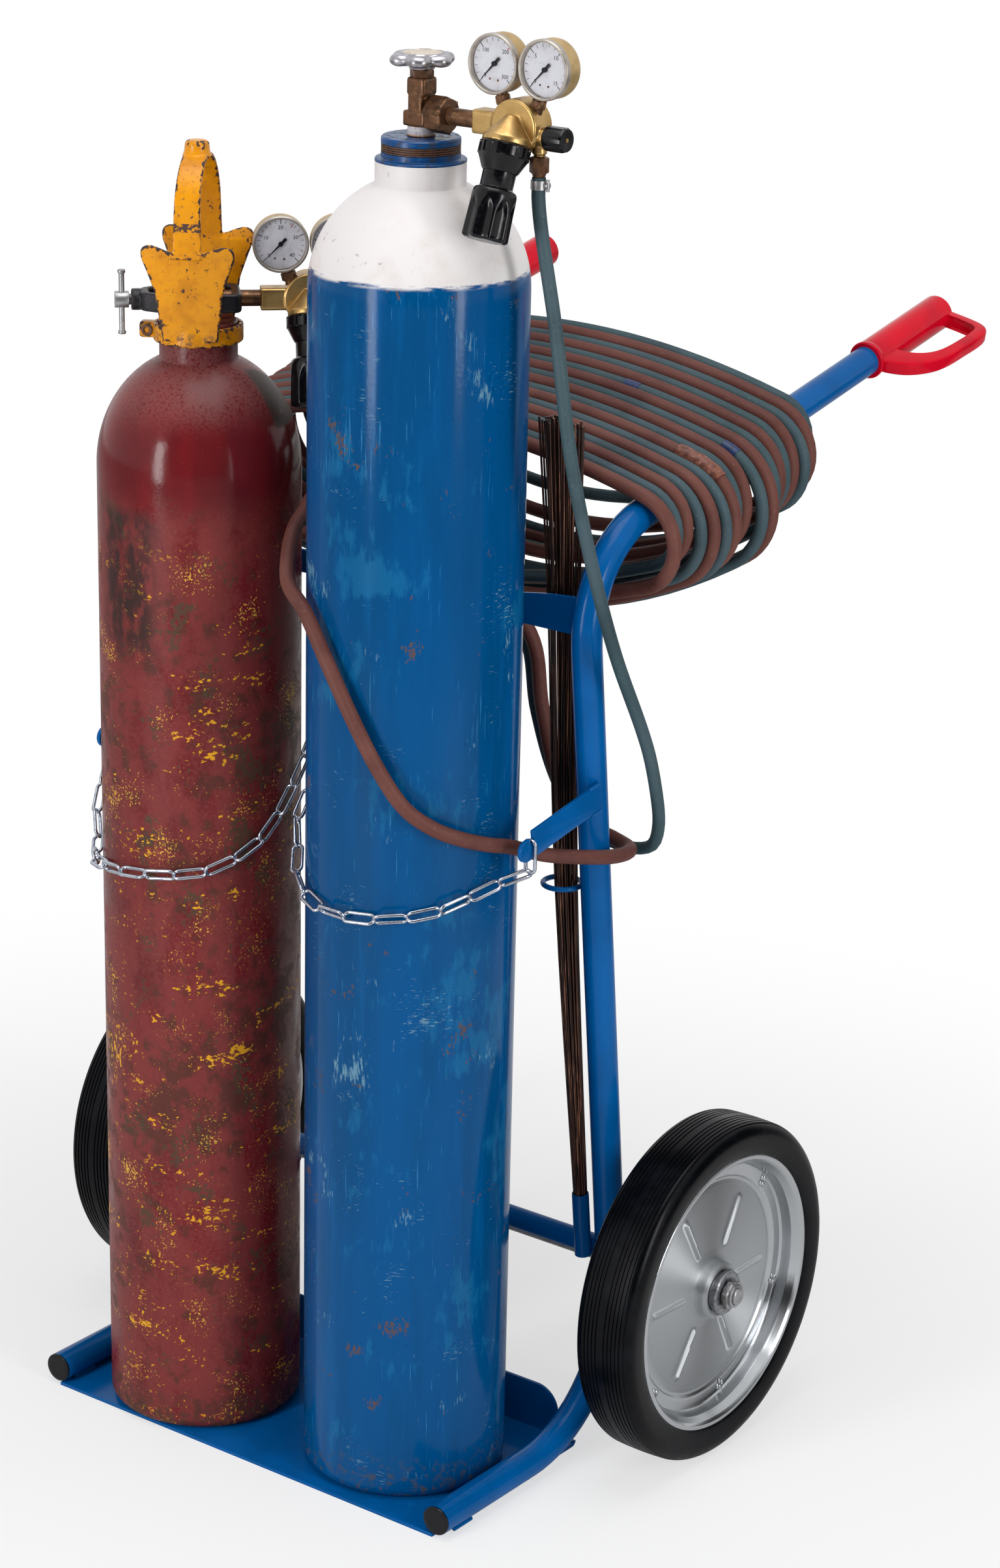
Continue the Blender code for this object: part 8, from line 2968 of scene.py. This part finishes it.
@dataclass
class Chain:
    """A chain from its hole in the cross plate, round a cylinder, to its arm's notch."""

    side: Side
    frame: CartFrame
    cylinder: GasCylinder
    gap: tuple[Triple, ...]
    wrap: tuple[Pair, ...]
    end: tuple[Triple, ...] = ()
    wire: float = 0.002
    link_length: float = 0.04
    link_width: float = 0.016
    bite: float = 0.0006
    standoff: float = 0.01

    def route(self, pitch: float) -> list[Vector]:
        """Find the places where links meet.

        Args:
            pitch: the length from one meeting place to the next.

        Returns:
            The places, from the hole to the notch.
        """
        seat = self.wire
        plate = self.frame
        rest = plate.hole_rise - plate.hole_radius + seat
        x = plate.hole_xs[0 if self.side is Side.LEFT else 1]
        hole = at(x, plate.cross_depth, plate.cross_bottom + rest)
        hook = plate.notch_point(self.side) + UP * seat
        points = [hole - UP * pitch] + [at(*place) for place in self.gap]
        reach = self.cylinder.radius + self.standoff
        for angle, height in self.wrap:
            turn = radians(angle)
            points.append(self.cylinder.axis(height) + Vector((cos(turn), sin(turn), 0)) * reach)
        points += [at(*place) for place in self.end] + [hook - UP * pitch]
        curve = smooth_curve(points, 60)
        return [hole, *self.chords(curve, int(route_length(curve) / pitch)), hook]

    def chords(self, curve: list[Vector], count: int) -> list[Vector]:
        """Step along a dense curve in equal straight chords.

        Args:
            curve: the dense curve.
            count: the number of chords.

        Returns:
            The chords' ends.
        """
        def walked(chord: float) -> list[Vector]:
            """Walk along the curve in equal chords.

            Args:
                chord: the length of a chord.

            Returns:
                The curve's start and the ends of the chords that fit on it.
            """
            points = [curve[0]]
            for place in curve:
                if (place - points[-1]).length >= chord and len(points) <= count:
                    points.append(place)
            return points

        low, high = 0.0, route_length(curve) / count * 1.2
        for _ in range(40):
            chord = (low + high) / 2
            if len(walked(chord)) > count:
                low = chord
            else:
                high = chord
        return walked(low)[:count] + [curve[-1]]

    def link_tree(self) -> GrowingTree:
        """Make the tree that puts a bent-wire link on each point, turned as the point says.

        Returns:
            The tree.
        """
        grower = GrowingTree(f"{self.side.label}_links", ("Link length", "Link width", "Wire radius"))
        sizes = grower.entry.outputs
        wire = grower.add("ShaderNodeMath", {0: sizes["Wire radius"], 1: 2.0}, operation="MULTIPLY")
        long = grower.add("ShaderNodeMath", {0: sizes["Link length"], 1: wire}, operation="SUBTRACT")
        wide = grower.add("ShaderNodeMath", {0: sizes["Link width"], 1: wire}, operation="SUBTRACT")
        half = grower.add("ShaderNodeMath", {0: wide, 1: 0.499}, operation="MULTIPLY")
        loop = grower.add("GeometryNodeCurvePrimitiveQuadrilateral",
                          {"Width": long, "Height": wide})
        bent = grower.add("GeometryNodeFilletCurve",
                          {"Curve": loop, "Radius": half, "Count": 8}, mode="POLY")
        section = grower.add("GeometryNodeCurvePrimitiveCircle",
                             {"Resolution": 12, "Radius": sizes["Wire radius"]})
        link = grower.add("GeometryNodeCurveToMesh", {"Curve": bent, "Profile Curve": section})
        turn = grower.add("GeometryNodeInputNamedAttribute", {"Name": "turn"}, data_type="FLOAT_VECTOR")
        links = grower.add("GeometryNodeInstanceOnPoints", {
            "Points": sizes["Base"], "Instance": link, "Rotation": turn})
        grower.close(links)
        return grower

    def build(self) -> None:
        """Build the chain, each link a quarter turn on from the last."""
        pitch = self.link_length - 2 * self.wire - 2 * self.bite
        joints = self.route(pitch)
        across = Y_AXIS
        directions = []
        for start, end in zip(joints, joints[1:]):
            along = (end - start).normalized()
            across = (across - along * across.dot(along)).normalized()
            directions.append((along, across.copy()))
        last, reached = directions[-1]
        count = len(directions) - 1
        reached = Matrix.Rotation(pi / 2 * count, 3, last) @ reached
        wanted = X_AXIS
        twist = remainder(atan2(reached.cross(wanted).dot(last), reached.dot(wanted)), pi)
        base = bpy.data.meshes.new(f"{self.side.label}_links")
        base.from_pydata([(start + end) / 2 for start, end in zip(joints, joints[1:])], [], [])
        turns = base.attributes.new("turn", "FLOAT_VECTOR", "POINT")
        for index, (along, across) in enumerate(directions):
            roll = pi / 2 * index + twist * index / count
            beside = Matrix.Rotation(roll, 3, along) @ across
            turns.data[index].vector = axes(Vector(), along, beside).to_euler()
        sizes = {"Link length": self.link_length, "Link width": self.link_width, "Wire radius": self.wire}
        mesh = self.link_tree().grow(base, sizes, ZINC_CHAIN.material())
        add_piece("link_chain", mesh, ZINC_CHAIN, "zinc", "chain", twin=self.side)


def chains(frame: CartFrame) -> list[Chain]:
    """Lay out the two chains.

    Args:
        frame: the cart's frame, whose arms hold them.

    Returns:
        The chain of each side.
    """
    return [
        Chain(Side.RIGHT, frame, OXYGEN_CYLINDER,
              ((0.01, 0.17, 0.86), (0.01, 0.12, 0.791), (0.01, 0.09, 0.762)),
              ((-150, 0.735), (-132, 0.712), (-109, 0.698), (-90, 0.697), (-73, 0.699), (-58, 0.7025),
               (-33, 0.7134), (-12, 0.728))),
        Chain(Side.LEFT, frame, ACETYLENE_CYLINDER,
              ((-0.014, 0.17, 0.86), (-0.014, 0.12, 0.791), (-0.0165, 0.09, 0.752)),
              ((-17, 0.726), (-42, 0.6985), (-66, 0.69), (-81, 0.687), (-99.5, 0.683), (-128, 0.675),
               (-155, 0.672)), ((-0.281, 0.085, 0.7),)),
    ]


def main() -> None:
    """Build the part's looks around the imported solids."""
    logging.basicConfig(level=logging.INFO, format="%(message)s")
    for obj in list(bpy.data.objects):
        bpy.data.objects.remove(obj)
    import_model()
    solid_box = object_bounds()
    Studio().build()
    frame = CartFrame()
    frame.build()
    RodHolder(frame).build()
    for side in Side:
        Grip(side).build()
        Wheel(side).build()
    Axle().build()
    OXYGEN_CYLINDER.build()
    OxygenValve(OXYGEN_CYLINDER).build()
    ACETYLENE_CYLINDER.build()
    ValveGuard(ACETYLENE_CYLINDER).build()
    YokeClamp(ACETYLENE_CYLINDER).build()
    OXYGEN_REGULATOR.build()
    ACETYLENE_REGULATOR.build()
    for chain in chains(frame):
        chain.build()
    RED_HOSE.build()
    GREEN_HOSE.build()
    bpy.context.view_layer.update()
    boxes = {"solids": solid_box, "looks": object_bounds()}
    {name: [list(corner) for corner in box] for name, box in boxes.items()}


if __name__ == "__main__":
    main()
